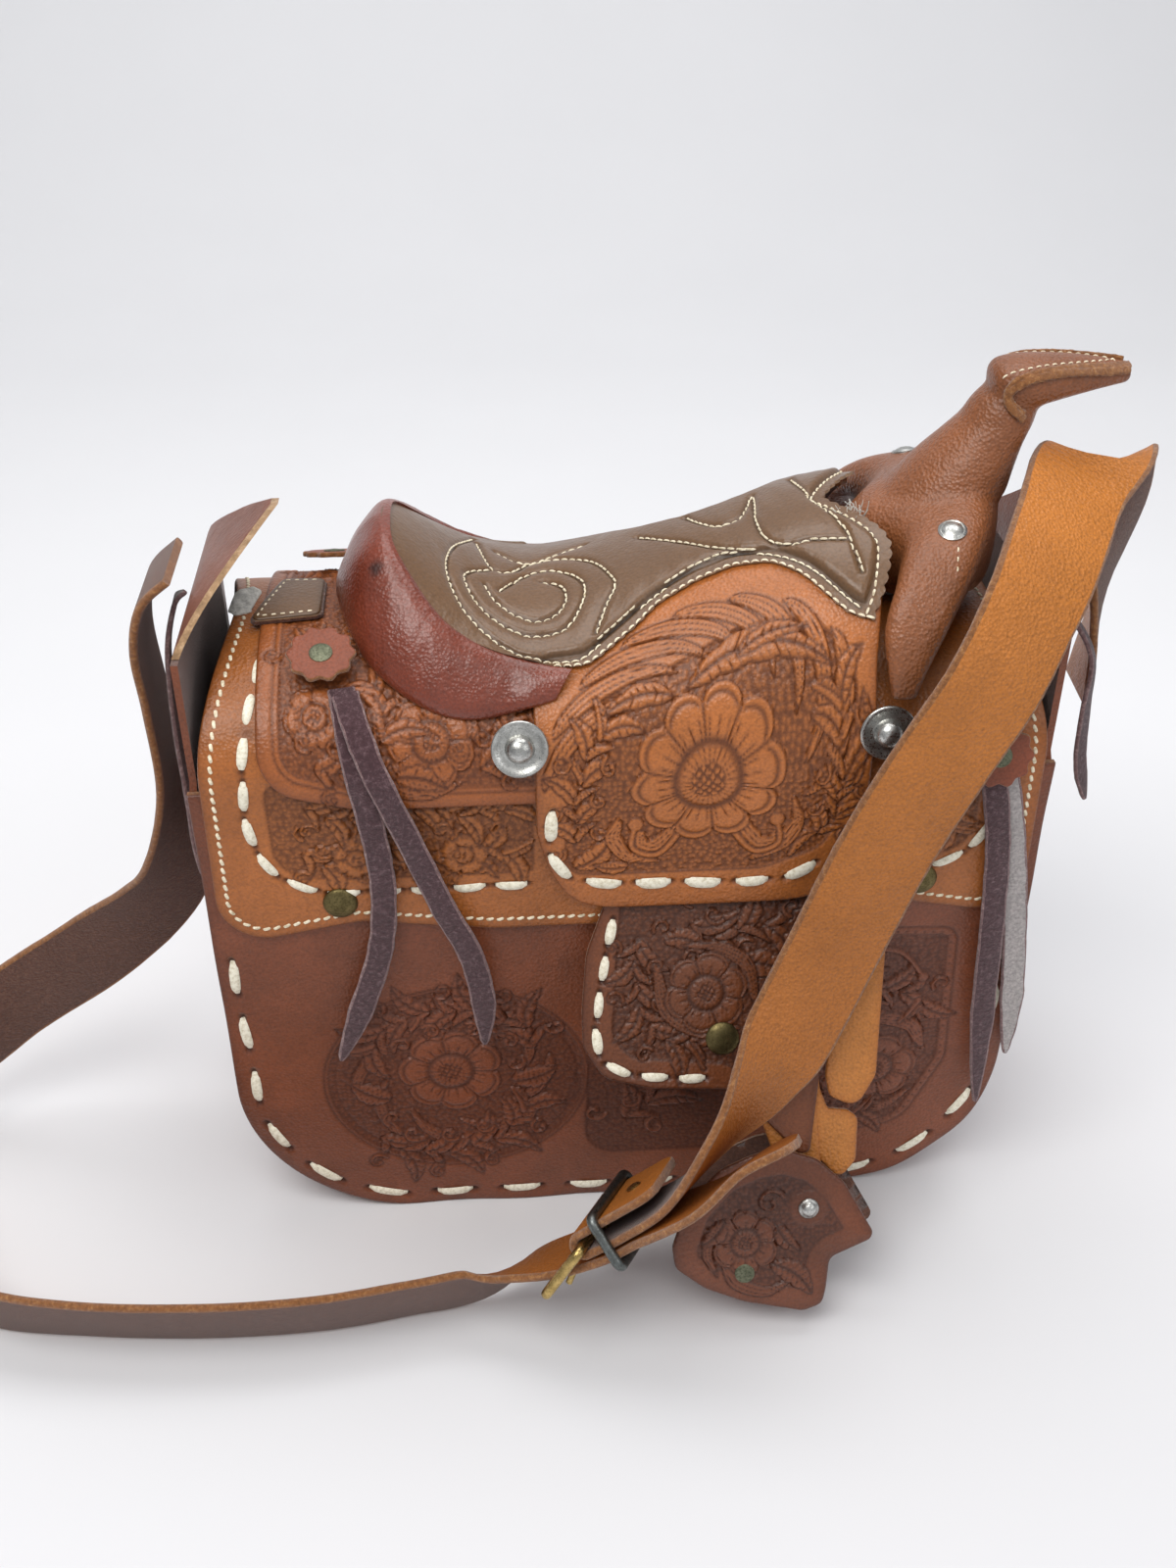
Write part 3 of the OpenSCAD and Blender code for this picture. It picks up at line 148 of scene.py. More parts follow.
def saddle_rise(x):
    left = SEAT_RISE + CANTLE_RISE * ((DIP_X - x) / (DIP_X - CANTLE_X)) ** 2
    s = np.clip((x - DIP_X) / (FORK_X - DIP_X), 0, 1)
    right = SEAT_RISE + FORK_RISE * np.sin(np.pi / 2 * s) ** 1.5
    return np.where(x < DIP_X, left, right)


def lid_place(rise):
    """Unrolled lid: t is below 0 on the front, arc length over the top, then down the back."""
    def place(x, t, off):
        x, t, off = np.broadcast_arrays(np.asarray(x, float), np.asarray(t, float), off)
        y, z = arch(np.interp(t, ARC, TURNS), off, rise(x))
        y = np.where(t < 0, -HALF_D - off, np.where(t > OVER_TOP, HALF_D + off, y))
        z = np.where(t < 0, SHOULDER + t, np.where(t > OVER_TOP, SHOULDER + OVER_TOP - t, z))
        return np.stack([x, y, z], -1)
    return place


CROWN_AT, SADDLE_AT = lid_place(crown_rise), lid_place(saddle_rise)


def wall_place(side):
    """Flat panel: t is the height above the floor less the shoulder's."""
    def place(x, t, off):
        x, t, off = np.broadcast_arrays(np.asarray(x, float), np.asarray(t, float), off)
        return np.stack([x, side * (HALF_D - PANEL_T + off), SHOULDER + t], -1)
    return place


def hang_place(side):
    """Fender, stirrup and latigo: t is minus the distance down the leather; above 0 it stands upright."""
    def place(x, t, off):
        x, t, off = np.broadcast_arrays(np.asarray(x, float), np.asarray(t, float), off)
        bend = smooth((2 - t) / 6) * TILT
        y = -HALF_D - JOCKEY_OFF - off * np.cos(bend) - np.maximum(-t, 0) * np.sin(TILT)
        z = FENDER_TOP + off * np.sin(bend) + np.where(t > 0, t, t * np.cos(TILT))
        return np.stack([x, -side * y, z], -1)
    return place


# Outlines
def rounded(points, radii, arc=1.0):
    """A polygon whose corners are rounded; points lie about arc apart on the rounded parts."""
    p = np.asarray(points, float)
    n, out = len(p), []
    for i in range(n):
        p0, p1, p2, r = p[i - 1], p[i], p[(i + 1) % n], radii[i] if np.ndim(radii) else radii
        if r == 0:
            out.append(p1)
            continue
        a, b = unit(p0 - p1), unit(p2 - p1)
        half = math.acos(np.clip(a @ b, -1, 1)) / 2
        c = p1 + unit(a + b) * r / math.sin(half)
        s, e = p1 + a * r / math.tan(half) - c, p1 + b * r / math.tan(half) - c
        steps = max(2, int((math.pi - 2 * half) * r / arc))
        out += [c + unit(mix(s, e, k / steps)) * r for k in range(steps + 1)]
    return np.array(out)


def resample(points, step, closed=True):
    p = np.asarray(points, float)
    if closed:
        p = np.vstack([p, p[:1]])
    keep = np.concatenate([[True], spans(p) > 1e-6])
    p = p[keep]
    d = travelled(p)
    n = max(3, int(round(d[-1] / step)))
    s = np.linspace(0, d[-1], n + 1)
    q = np.stack([np.interp(s, d, p[:, k]) for k in range(p.shape[1])], -1)
    return q[:-1] if closed else q


def edge_distance(points, poly):
    """Signed distance to a closed outline: positive inside."""
    out = np.empty(len(points))
    a, b = poly, np.roll(poly, -1, 0)
    ab = b - a
    for i in range(0, len(points), 4000):
        p = points[i:i + 4000, None, :]
        s = np.clip(((p - a) * ab).sum(-1) / np.maximum((ab * ab).sum(-1), 1e-12), 0, 1)
        d = np.sqrt((((a + ab * s[..., None]) - p) ** 2).sum(-1).min(1))
        cross = (a[:, 1] > p[..., 1]) != (b[:, 1] > p[..., 1])
        at = a[:, 0] + (p[..., 1] - a[:, 1]) * ab[:, 0] / np.where(ab[:, 1] == 0, 1e-12, ab[:, 1])
        inside = (cross & (p[..., 0] < at)).sum(1) % 2 == 1
        out[i:i + 4000] = np.where(inside, d, -d)
    return out


def hex_grid(low, high, step):
    rows = np.arange(low[1], high[1], step * 0.866)
    cols = np.arange(low[0], high[0], step)
    g = np.stack(np.meshgrid(cols, rows), -1)
    g[1::2, :, 0] += step / 2
    return g.reshape(-1, 2)


def set_values(me, name, values):
    me.attributes.new(name, "FLOAT", "POINT").data.foreach_set("value", np.asarray(values, np.float32))


def make_mesh(name, verts, faces, mats, index=None, attributes=None, smooth_angle=50):
    me = bpy.data.meshes.new(name)
    me.from_pydata((np.asarray(verts) * MM).tolist(), [], faces)
    for m in mats:
        me.materials.append(m)
    if index is not None:
        me.polygons.foreach_set("material_index", np.asarray(index, np.int32))
    for k, v in (attributes or {}).items():
        set_values(me, k, v)
    me.polygons.foreach_set("use_smooth", np.ones(len(me.polygons), bool))
    me.validate()
    me.set_sharp_from_angle(angle=math.radians(smooth_angle))
    o = bpy.data.objects.new(name, me)
    bpy.context.scene.collection.objects.link(o)
    return o


def place_piece(o, body, slot, *nodes):
    if nodes:
        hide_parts(*nodes)
    if body:
        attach(o, body)
    return o


def sheet(name, outline, place, off, thick, mats, relief=None, step=0.8, fine=None, coarse=5.0, roll=0.8):
    """A leather sheet: tooled outer face, rounded cut edge and a plain inner face."""
    edge = resample(outline, min(step * 1.2, 1.4))
    area = edge[:, 0] @ np.roll(edge[:, 1], -1) - edge[:, 1] @ np.roll(edge[:, 0], -1)
    if area < 0:
        edge = edge[::-1]
    tangent = unit(np.roll(edge, -1, 0) - np.roll(edge, 1, 0))
    inward = np.stack([-tangent[:, 1], tangent[:, 0]], -1)
    low, high = edge.min(0), edge.max(0)
    grid = hex_grid(low, high, step)
    if fine is not None:
        wide = hex_grid(low, high, coarse)
        grid = np.vstack([grid[fine(grid)], wide[~fine(wide)]])
    near = edge_distance(grid, edge)
    grid, near = grid[near > roll + step * 0.5], near[near > roll + step * 0.5]
    rings = np.vstack([edge + inward * d for d in (roll * 0.35, roll)])
    ring_near = edge_distance(rings, edge)
    ok = ring_near > roll * 0.3
    pts = np.vstack([edge, rings[ok], grid])
    near = np.concatenate([np.zeros(len(edge)), ring_near[ok], near])
    n = len(edge)
    v2, _, f2, ov, _, _ = geometry.delaunay_2d_cdt([Vector(p) for p in pts], [], [list(range(n))], 1,
                                                   1e-5, True)
    src = np.array([o[0] if o else 0 for o in ov])
    p2, near = np.array([[v.x, v.y] for v in v2]), near[src]
    h, dark = relief(p2, near) if relief else (np.zeros(len(p2)), np.zeros(len(p2)))
    bevel = roll - np.sqrt(np.maximum(roll ** 2 - np.maximum(roll - near, 0) ** 2, 0))
    outer = place(p2[:, 0], p2[:, 1], off + thick + h - bevel)
    m = len(outer)
    plain = hex_grid(low, high, coarse)
    plain = plain[edge_distance(plain, edge) > coarse * 0.4]
    back = np.vstack([edge, plain])
    w2, _, g2, ow, _, _ = geometry.delaunay_2d_cdt([Vector(p) for p in back], [], [list(range(n))], 1,
                                                   1e-5, True)
    q2 = np.array([[v.x, v.y] for v in w2])
    inner = place(q2[:, 0], q2[:, 1], off)
    outer_of = {o[0]: i for i, o in enumerate(ov) if o and o[0] < n}
    inner_of = {o[0]: i for i, o in enumerate(ow) if o and o[0] < n}
    def inside(flat, tris, ids):
        """Triangles of the sheet, without those that bridge a notch of its outline."""
        tris, on_edge = np.array(tris), np.array([bool(o) and o[0] < n for o in ids])
        bridge = np.nonzero(on_edge[tris].all(1))[0]
        bad = bridge[edge_distance(flat[tris[bridge]].mean(1), edge) < 0]
        return np.delete(tris, bad, 0).tolist()
    f2, g2 = inside(p2, f2, ov), inside(q2, g2, ow)
    faces = [list(f) for f in f2]
    index = [0] * len(faces)
    faces += [[m + i for i in reversed(f)] for f in g2]
    index += [1] * len(g2)
    for i in range(n):
        j = (i + 1) % n
        if i in outer_of and j in outer_of and i in inner_of and j in inner_of:
            faces.append([outer_of[j], outer_of[i], m + inner_of[i], m + inner_of[j]])
            index.append(2)
    k = len(inner)
    o = make_mesh(name, np.vstack([outer, inner]), faces, mats, index, {
        "dark": np.concatenate([dark, np.zeros(k)]),
        "rim": np.concatenate([np.exp(-near / 1.6), np.zeros(k)])})
    first = o.data.polygons[0].normal
    if np.dot(first, place(*p2[f2[0][0]], off + thick) - place(*p2[f2[0][0]], off)) < 0:
        o.data.flip_normals()
    return o


def nearest_along(p, c):
    """Each point's distance to a curve, its share of the curve's length, and the side it lies on."""
    best, at, hand = np.full(len(p), 1e9), np.zeros(len(p)), np.zeros(len(p))
    for k in range(len(c) - 1):
        ab = c[k + 1] - c[k]
        s = np.clip((p - c[k]) @ ab / max(ab @ ab, 1e-9), 0, 1)
        v = p - c[k] - ab * s[:, None]
        d = np.linalg.norm(v, axis=1)
        closer = d < best
        best[closer], at[closer] = d[closer], (k + s[closer]) / (len(c) - 1)
        hand[closer] = np.sign(ab[0] * v[:, 1] - ab[1] * v[:, 0])[closer]
    return best, at, hand


# Tooling: height and darkness of carved leather, drawn in the sheet's own flat coordinates
class Tooling:
    def __init__(self, points, depth=0.75, shade=0.82):
        self.shade = shade
        self.p = points
        self.h = np.zeros(len(points))
        self.dark = np.zeros(len(points))
        self.depth = depth

    def ground(self, inside, pitch=1.75):
        """Lowered background of uneven beads; inside is a distance from the field's border."""
        m = smooth(inside / 0.6)
        i = np.nonzero(inside > -1)[0]
        p = self.p[i] / pitch
        cell, d = np.floor(p), np.full(len(i), 9.0)
        for j in range(9):
            c = cell + [j // 3 - 1, j % 3 - 1]
            seed = np.sin(c[:, 0] * 127.1 + c[:, 1] * 311.7) * 43758.5
            spot = c + 0.5 + (np.stack([seed % 1, (seed * 1.7) % 1], -1) - 0.5) * 0.75
            d = np.minimum(d, np.linalg.norm(p - spot, axis=1))
        bead = np.zeros(len(self.p))
        bead[i] = np.exp(-(d / 0.36) ** 2)
        self.h = mix(self.h, -self.depth + bead * 0.45, m)
        self.dark = mix(self.dark, self.shade * (1 - bead * 0.8), m)
        self.h -= 0.35 * np.exp(-(inside / 0.45) ** 2)
        self.dark = np.maximum(self.dark, self.shade * np.exp(-(inside / 0.5) ** 2))

    def press(self, d, where, height, dark):
        """A raised motif; d is below 0 inside it, and height and dark are its own relief."""
        m = smooth(-d / 0.5 + 0.5)
        cut = np.exp(-(d / 0.42) ** 2)
        self.h[where] = mix(self.h[where], height, m) - 0.38 * cut
        self.dark[where] = np.maximum(mix(self.dark[where], dark * self.shade * 1.3, m),
                                      1.1 * self.shade * cut)

    def near(self, c, r):
        return np.nonzero(np.linalg.norm(self.p - np.asarray(c, float), axis=1) < r)[0]

    def flower(self, c, r, turn=0.0, petals=6, squash=1.0):
        i = self.near(c, r * 1.3)
        if len(i) == 0:
            return
        q = self.p[i] - c
        ca, sa = math.cos(turn), math.sin(turn)
        q = np.stack([q[:, 0] * ca + q[:, 1] * sa, (-q[:, 0] * sa + q[:, 1] * ca) / squash], -1)
        rad, ang = np.hypot(q[:, 0], q[:, 1]), np.arctan2(q[:, 1], q[:, 0])
        lobe = np.abs(np.cos(ang * petals / 2))
        out = r * (0.76 + 0.24 * lobe ** 0.45)
        u = rad / r
        h = (0.25 * np.sin(np.clip((u - 0.3) / 0.7, 0, 1) * math.pi)
             - 0.55 * np.exp(-((u - 0.42) / 0.07) ** 2))
        vein = (np.exp(-(np.abs(np.sin(ang * petals * 1.5)) / 0.3) ** 2) * smooth((u - 0.42) / 0.06)
                * smooth((0.72 - u) / 0.12))
        vein = np.maximum(vein, np.exp(-((rad - out + 0.11 * r) / (0.03 * r)) ** 2)
                          * smooth((lobe - 0.15) / 0.2))
        split = np.exp(-(lobe / 0.14) ** 2) * smooth((u - 0.4) / 0.1)
        h = h - 0.5 * vein - 0.6 * split
        dark = 0.8 * vein + 0.9 * split + 0.9 * np.exp(-((u - 0.42) / 0.05) ** 2)
        ring = np.abs(np.sin(ang * petals * 1.5)) * smooth((u - 0.2) / 0.04) * smooth((0.4 - u) / 0.05)
        h = h + 0.45 * ring
        dark = dark + 0.85 * (1 - ring) ** 2 * smooth((u - 0.2) / 0.04) * smooth((0.4 - u) / 0.05)
        k = 15.0 / r ** 0.6 / 2
        hatch = np.maximum(np.abs(np.sin((q[:, 0] + q[:, 1]) * k)),
                           np.abs(np.sin((q[:, 0] - q[:, 1]) * k)))
        heart = smooth((0.24 - u) / 0.04)
        h = h + heart * (0.4 - 0.5 * smooth((hatch - 0.72) / 0.2))
        dark = dark + heart * 0.85 * smooth((hatch - 0.72) / 0.2)
        self.press(rad - out, i, h, np.clip(dark, 0, 1) * 0.9)

    def leaf(self, a, b, w, bend=0.15, lobes=4, ribs=9):
        a, b = np.asarray(a, float), np.asarray(b, float)
        long = np.linalg.norm(b - a)
        i = self.near((a + b) / 2, long * 0.5 + w + abs(bend) * long)
        if len(i) == 0:
            return
        d = (b - a) / long
        q = self.p[i] - a
        s, y = q @ d / long, q @ np.array([-d[1], d[0]])
        y = y - bend * long * 4 * s * (1 - s)
        sc = np.clip(s, 0, 1)
        half = (w * np.sin(math.pi * sc ** 0.8) ** 0.75
                * (0.84 + 0.16 * np.abs(np.sin(lobes * math.pi * (sc - 0.03)))))
        dist = np.maximum(np.abs(y) - half, np.maximum(-s, s - 1) * long)
        rib = np.abs(np.sin((sc * ribs - np.abs(y) / w * 0.9) * math.pi))
        spine = np.exp(-(y / (0.1 * w + 0.25)) ** 2)
        groove = np.exp(-(rib / 0.3) ** 2) * smooth((half - np.abs(y)) / 0.6)
        h = (0.18 - 0.45 * groove - 0.45 * spine
             + 0.25 * np.cos(np.clip(y / (half + 0.01), -1, 1) * math.pi / 2))
        self.press(dist, i, h, np.maximum(0.75 * groove, 0.9 * spine))

    def flutes(self, points, w, n=4):
        """An acanthus scroll: parallel ribs on the left side of a path, tapering to both ends."""
        c = refine(points, 6)
        i = self.near(c.mean(0), np.linalg.norm(c - c.mean(0), axis=1).max() + w + 1)
        if len(i) == 0:
            return
        best, at, hand = nearest_along(self.p[i], c)
        wide = w * np.sin(math.pi * np.clip(at, 0, 1) ** 0.75) ** 0.8 + 0.25
        y = best * hand
        rib = np.abs(np.sin(math.pi * n * np.clip(y / wide, 0, 1)))
        self.press(np.maximum(-y, y - wide), i, 0.42 * rib ** 0.7 - 0.15, 0.9 * np.exp(-(rib / 0.4) ** 2))

    def wreath(self, centre, turns, across, up, width):
        """One flute of a wreath: an arc whose two radii grow from turn to turn."""
        path = [[centre[0] + (across[0] + across[1] * j) * math.cos(a),
                 centre[1] + (up[0] + up[1] * j) * math.sin(a)] for j, a in enumerate(turns)]
        self.flutes(path[::-1], width, 3)

    def stem(self, points, r0, r1=None, ball=0.0):
        """A scroll or stem along a curve, tapering from r0 to r1, with an optional bulb at its end."""
        c = refine(points, 6)
        r1 = r0 if r1 is None else r1
        i = self.near(c.mean(0), np.linalg.norm(c - c.mean(0), axis=1).max() + r0 + ball + 1)
        if len(i) == 0:
            return
        p = self.p[i]
        best, at, _ = nearest_along(p, c)
        r = mix(r0, r1, at)
        if ball:
            end = np.linalg.norm(p - c[-1], axis=1) - ball
            dist = np.minimum(best - r, end)
        else:
            dist = best - r
        core = np.exp(-(best / (0.45 * np.maximum(r, 0.3))) ** 2)
        self.press(dist, i, 0.05 + 0.25 * core, 0.12 * (1 - core))

    def curl(self, c, r, start, turns, width=0.9, hand=1):
        """A spiral tendril that ends in a bulb."""
        k = np.linspace(0, 1, 14)
        a = start + hand * k * turns * 2 * math.pi
        rad = r * (1 - k * 0.8)
        pts = np.stack([c[0] + rad * np.cos(a), c[1] + rad * np.sin(a)], -1)
        self.stem(pts, width, width * 0.7, ball=width * 1.25)

    def groove(self, mask, height, dark, where=slice(None)):
        self.h[where] -= height * mask
        self.dark[where] = np.maximum(self.dark[where], dark * mask)

    def dots(self, path, pitch, r=0.5):
        for c in resample(path, pitch, closed=False):
            i = self.near(c, r * 2.5)
            d = np.linalg.norm(self.p[i] - c, axis=1)
            self.groove(np.exp(-(d / r) ** 2), 0.45, 0.9, i)

    def hole(self, c, along, size=(1.9, 1.2), deep=1.2):
        """A punched lacing hole, longer along the stitch."""
        i = self.near(c, size[0] * 2.4)
        q = self.p[i] - c
        d = unit(along)
        u, v = q @ d / size[0], q @ np.array([-d[1], d[0]]) / size[1]
        g = np.exp(-(u * u + v * v) ** 1.5)
        self.groove(g, deep, 1.0, i)

    def holes(self, row, apart, size=(1.9, 1.2)):
        """Two holes for each stitch of a row, apart from its middle."""
        for at, along in zip(*row):
            for s in (-1, 1):
                self.hole(at + along * s * apart, along, size)

    def spray(self, path, size, seed, flowers=(), both=True):
        """A vine with curls and leaves along a path, and flowers at shares of its length."""
        r = np.random.RandomState(seed)
        c = refine(path, 10)
        d = travelled(c)
        t = headings(c)
        s, hand = size * 0.4, 1
        while s < d[-1] - size * 0.3:
            p = np.array([np.interp(s, d, c[:, k]) for k in (0, 1)])
            g = np.array([np.interp(s, d, t[:, k]) for k in (0, 1)])
            nrm = np.array([-g[1], g[0]]) * hand
            out = p + (g * 0.75 + nrm * 0.95) * size * r.uniform(0.85, 1.1)
            self.leaf(p + nrm * 0.3, out, size * 0.25, bend=-0.16 * hand, lobes=3, ribs=6)
            cc = p + (nrm * 0.62 - g * 0.35) * size
            for q in (0.55, 1.0):
                mid = p - nrm * 0.2 * size + g * 0.25 * size
                path = [p, mid, p - nrm * 0.55 * size * q + g * 0.55 * size]
                self.flutes(path if hand > 0 else path[::-1], size * 0.2, 3)
            self.curl(cc, size * 0.26, math.atan2(*(p - cc)[::-1]), 0.8, size * 0.06, -hand)
            s += size * 0.6
            hand = -hand if both else hand
        self.stem(path, size * 0.09, size * 0.06)
        for f, fr in flowers:
            p = np.array([np.interp(f * d[-1], d, c[:, k]) for k in (0, 1)])
            self.flower(p, fr, turn=r.uniform(0, 1), petals=r.randint(5, 8))


# Materials
class Paint:
    """A material: object coordinates and the nodes that feed its Principled BSDF."""
    def __init__(self, name):
        self.material = bpy.data.materials.new(name)
        self.material.use_nodes = True
        self.nt = self.material.node_tree
        self.bsdf = self.nt.nodes["Principled BSDF"]
        self.co = self.new("ShaderNodeTexCoord").outputs["Object"]

    def new(self, kind, **values):
        n = self.nt.nodes.new(kind)
        for k, v in values.items():
            if k in n.inputs:
                n.inputs[k].default_value = v
            else:
                setattr(n, k, v)
        return n

    def feed(self, value, sock):
        if isinstance(value, (int, float, tuple)):
            sock.default_value = value
        else:
            self.nt.links.new(value, sock)

    def noise(self, scale, detail=3.0, rough=0.55):
        n = self.new("ShaderNodeTexNoise", Scale=scale, Detail=detail, Roughness=rough)
        self.feed(self.co, n.inputs["Vector"])
        return n.outputs[0]

    def ramp(self, value, stops):
        n = self.new("ShaderNodeValToRGB")
        e = n.color_ramp.elements
        e[0].position, e[0].color = stops[0]
        e[1].position, e[1].color = stops[-1]
        for s in stops[1:-1]:
            k = e.new(s[0])
            k.color = s[1]
        self.feed(value, n.inputs[0])
        return n.outputs[0]

    def blend(self, factor, a, b, mode="MIX"):
        n = self.new("ShaderNodeMix", data_type="RGBA", blend_type=mode)
        for k, v in ((0, factor), (6, a), (7, b)):
            self.feed(v, n.inputs[k])
        return n.outputs[2]

    def maths(self, op, a, b=0.0):
        n = self.new("ShaderNodeMath", operation=op)
        self.feed(a, n.inputs[0])
        self.feed(b, n.inputs[1])
        return n.outputs[0]

    def done(self, base, rough, bump=None, **values):
        """The finished material; bump is its height, strength and distance."""
        self.feed(base, self.bsdf.inputs["Base Color"])
        self.feed(rough, self.bsdf.inputs["Roughness"])
        if bump:
            n = self.new("ShaderNodeBump", Strength=bump[1], Distance=bump[2])
            self.feed(bump[0], n.inputs["Height"])
            self.feed(n.outputs[0], self.bsdf.inputs["Normal"])
        for k, v in values.items():
            self.bsdf.inputs[k.replace("_", " ")].default_value = v
        return self.material


def colour(rgb, gain=1.0):
    return tuple((c / 255) ** 2.2 * gain for c in rgb) + (1.0,)


def leather(name, rgb, deep, rough=0.42, grain=0.35, coat=0.0, blotch=0.5, pores=900.0):
    """Dyed leather: blotched dye, fine grain, darker along the rim and where its dark attribute is high:
    the antique dye of the tooling, and painted shade on the seat and the shoulder strap.
    """
    k = Paint(name)
    big, mid, fine = k.noise(26, 4), k.noise(150, 5, 0.65), k.noise(1100, 2)
    base = k.ramp(big, [(0.32, colour(rgb, 1 - 0.35 * blotch)), (0.52, colour(rgb)),
                        (0.7, colour(rgb, 1 + 0.22 * blotch))])
    base = k.blend(k.maths("MULTIPLY", mid, 0.5 * blotch), base, colour(rgb, 0.62))
    speck = k.ramp(fine, [(0.3, (0.72, 0.72, 0.72, 1)), (0.6, (1.06, 1.04, 1.0, 1))])
    base = k.blend(0.8, base, speck, "MULTIPLY")
    dark = k.new("ShaderNodeAttribute", attribute_name="dark").outputs["Fac"]
    rim = k.new("ShaderNodeAttribute", attribute_name="rim").outputs["Fac"]
    # dark: antique dye in tooled sheets; painted shade on the seat and the shoulder strap
    base = k.blend(k.maths("MULTIPLY", dark, 0.86), base, colour(deep))
    base = k.blend(k.maths("MULTIPLY", rim, 0.55), base, colour(deep, 1.6))
    r = k.maths("ADD", k.maths("MULTIPLY", mid, 0.28), rough - 0.14)
    r = k.maths("ADD", r, k.maths("MULTIPLY", dark, 0.2))
    cells = k.new("ShaderNodeTexVoronoi", Scale=pores)
    k.feed(k.co, cells.inputs["Vector"])
    height = k.maths("ADD", cells.outputs[0], k.maths("MULTIPLY", mid, 1.6))
    return k.done(base, r, (height, grain, 0.0006), Specular_IOR_Level=0.42, Coat_Weight=coat,
                  Coat_Roughness=0.22)


def suede(name, rgb, pale, bump_size=0.0012, scale=420):
    k = Paint(name)
    fibre, big = k.noise(scale, 8, 0.75), k.noise(60, 3)
    base = k.ramp(fibre, [(0.35, colour(rgb, 0.55)), (0.52, colour(rgb)), (0.68, colour(pale))])
    base = k.blend(k.maths("MULTIPLY", big, 0.45), base, colour(rgb, 0.6))
    return k.done(base, 0.95, (fibre, 0.8, bump_size), Specular_IOR_Level=0.15, Sheen_Weight=0.35,
                  Sheen_Roughness=0.5)


def metal(name, rgb, tarnish, rough=0.28, amount=0.5):
    k = Paint(name)
    n, wide = k.noise(1500, 5, 0.6), k.noise(240, 2)
    base = k.ramp(n, [(0.3, colour(rgb, 0.55)), (0.5, colour(rgb)), (0.75, colour(rgb, 1.1))])
    spots = k.ramp(wide, [(0.4, (0.7 * amount,) * 3 + (1,)), (0.62, (0, 0, 0, 1))])
    base = k.blend(spots, base, colour(tarnish))
    r = k.ramp(n, [(0.35, (rough + 0.3,) * 3 + (1,)), (0.65, (rough,) * 3 + (1,))])
    return k.done(base, r, (n, 0.06, 0.0002), Metallic=1.0)


def thread(name, rgb, shade, rough=0.6):
    k = Paint(name)
    n = k.noise(700, 5, 0.7)
    base = k.ramp(n, [(0.3, colour(shade)), (0.55, colour(rgb)), (0.8, colour(rgb, 1.05))])
    return k.done(base, rough, (n, 0.35, 0.0004))


BODY = leather("body_leather", (130, 72, 46), (40, 18, 12), 0.4, blotch=0.8, coat=0.1)
FLAP = leather("flap_leather", (168, 100, 50), (58, 26, 12), 0.38, blotch=0.6, coat=0.08)
REAR = leather("rear_jockey_leather", (164, 94, 50), (56, 24, 12), 0.36, blotch=0.65, coat=0.1)
OVER = leather("jockey_leather", (178, 106, 55), (62, 27, 12), 0.36, blotch=0.55, coat=0.12)
FENDER = leather("fender_leather", (118, 68, 42), (40, 18, 12), 0.38, blotch=0.7, coat=0.08)
STIRRUP = leather("stirrup_leather", (118, 68, 46), (40, 20, 16), 0.34, blotch=0.9, coat=0.15)
LATIGO = leather("latigo_leather", (190, 122, 60), (112, 62, 28), 0.46, blotch=0.5, grain=0.6)
STRAP = leather("strap_leather", (196, 121, 52), (96, 52, 30), 0.42, blotch=0.45, grain=0.7)
FORK = leather("fork_leather", (140, 86, 54), (60, 28, 16), 0.36, blotch=1.0, coat=0.15, grain=0.6)
CANTLE = leather("cantle_leather", (124, 60, 43), (34, 14, 10), 0.3, blotch=1.2, coat=0.4, grain=0.45)
ROSETTE = leather("rosette_leather", (136, 74, 52), (66, 28, 18), 0.5, blotch=0.8)
VINYL = leather("seat_vinyl", (110, 82, 58), (44, 33, 22), 0.36, blotch=0.25, grain=0.2, pores=700,
                coat=0.2)
SUEDE = suede("suede_inside", (104, 68, 54), (138, 98, 78), scale=900)
EDGE = suede("cut_edge", (150, 98, 58), (196, 144, 92), scale=700)
DARK_EDGE = suede("dark_edge", (84, 50, 36), (128, 84, 60), scale=700)
PLUM = suede("thong_suede", (84, 58, 62), (134, 108, 112), scale=650)
PINK = suede("thong_edge", (134, 104, 104), (196, 168, 162), scale=700)
GREY = suede("thong_back", (182, 174, 172), (216, 208, 204), scale=900)
LINING = suede("lining", (234, 230, 220), (246, 243, 236), scale=600)
TONGUE = suede("tongue_edge", (176, 140, 104), (214, 182, 146), scale=380)
INK = suede("tongue_under", (46, 34, 42), (74, 58, 66))
WHITE = thread("lacing", (242, 236, 216), (196, 184, 156))
CREAM = thread("thread", (244, 232, 204), (184, 166, 132), 0.7)
BRASS = metal("buckle_brass", (196, 168, 108), (110, 90, 50), 0.16, 0.5)
ANTIQUE = metal("antique_brass", (120, 108, 74), (66, 60, 40), 0.36, 0.6)
GUN = metal("gunmetal", (116, 120, 118), (52, 54, 52), 0.26, 0.5)
SILVER = metal("silver", (200, 200, 196), (96, 94, 90), 0.2, 0.5)
GREEN = metal("green_brass", (122, 124, 104), (78, 82, 66), 0.45, 0.6)
WOOD = leather("tree_wood", (196, 154, 104), (130, 90, 50), 0.6)


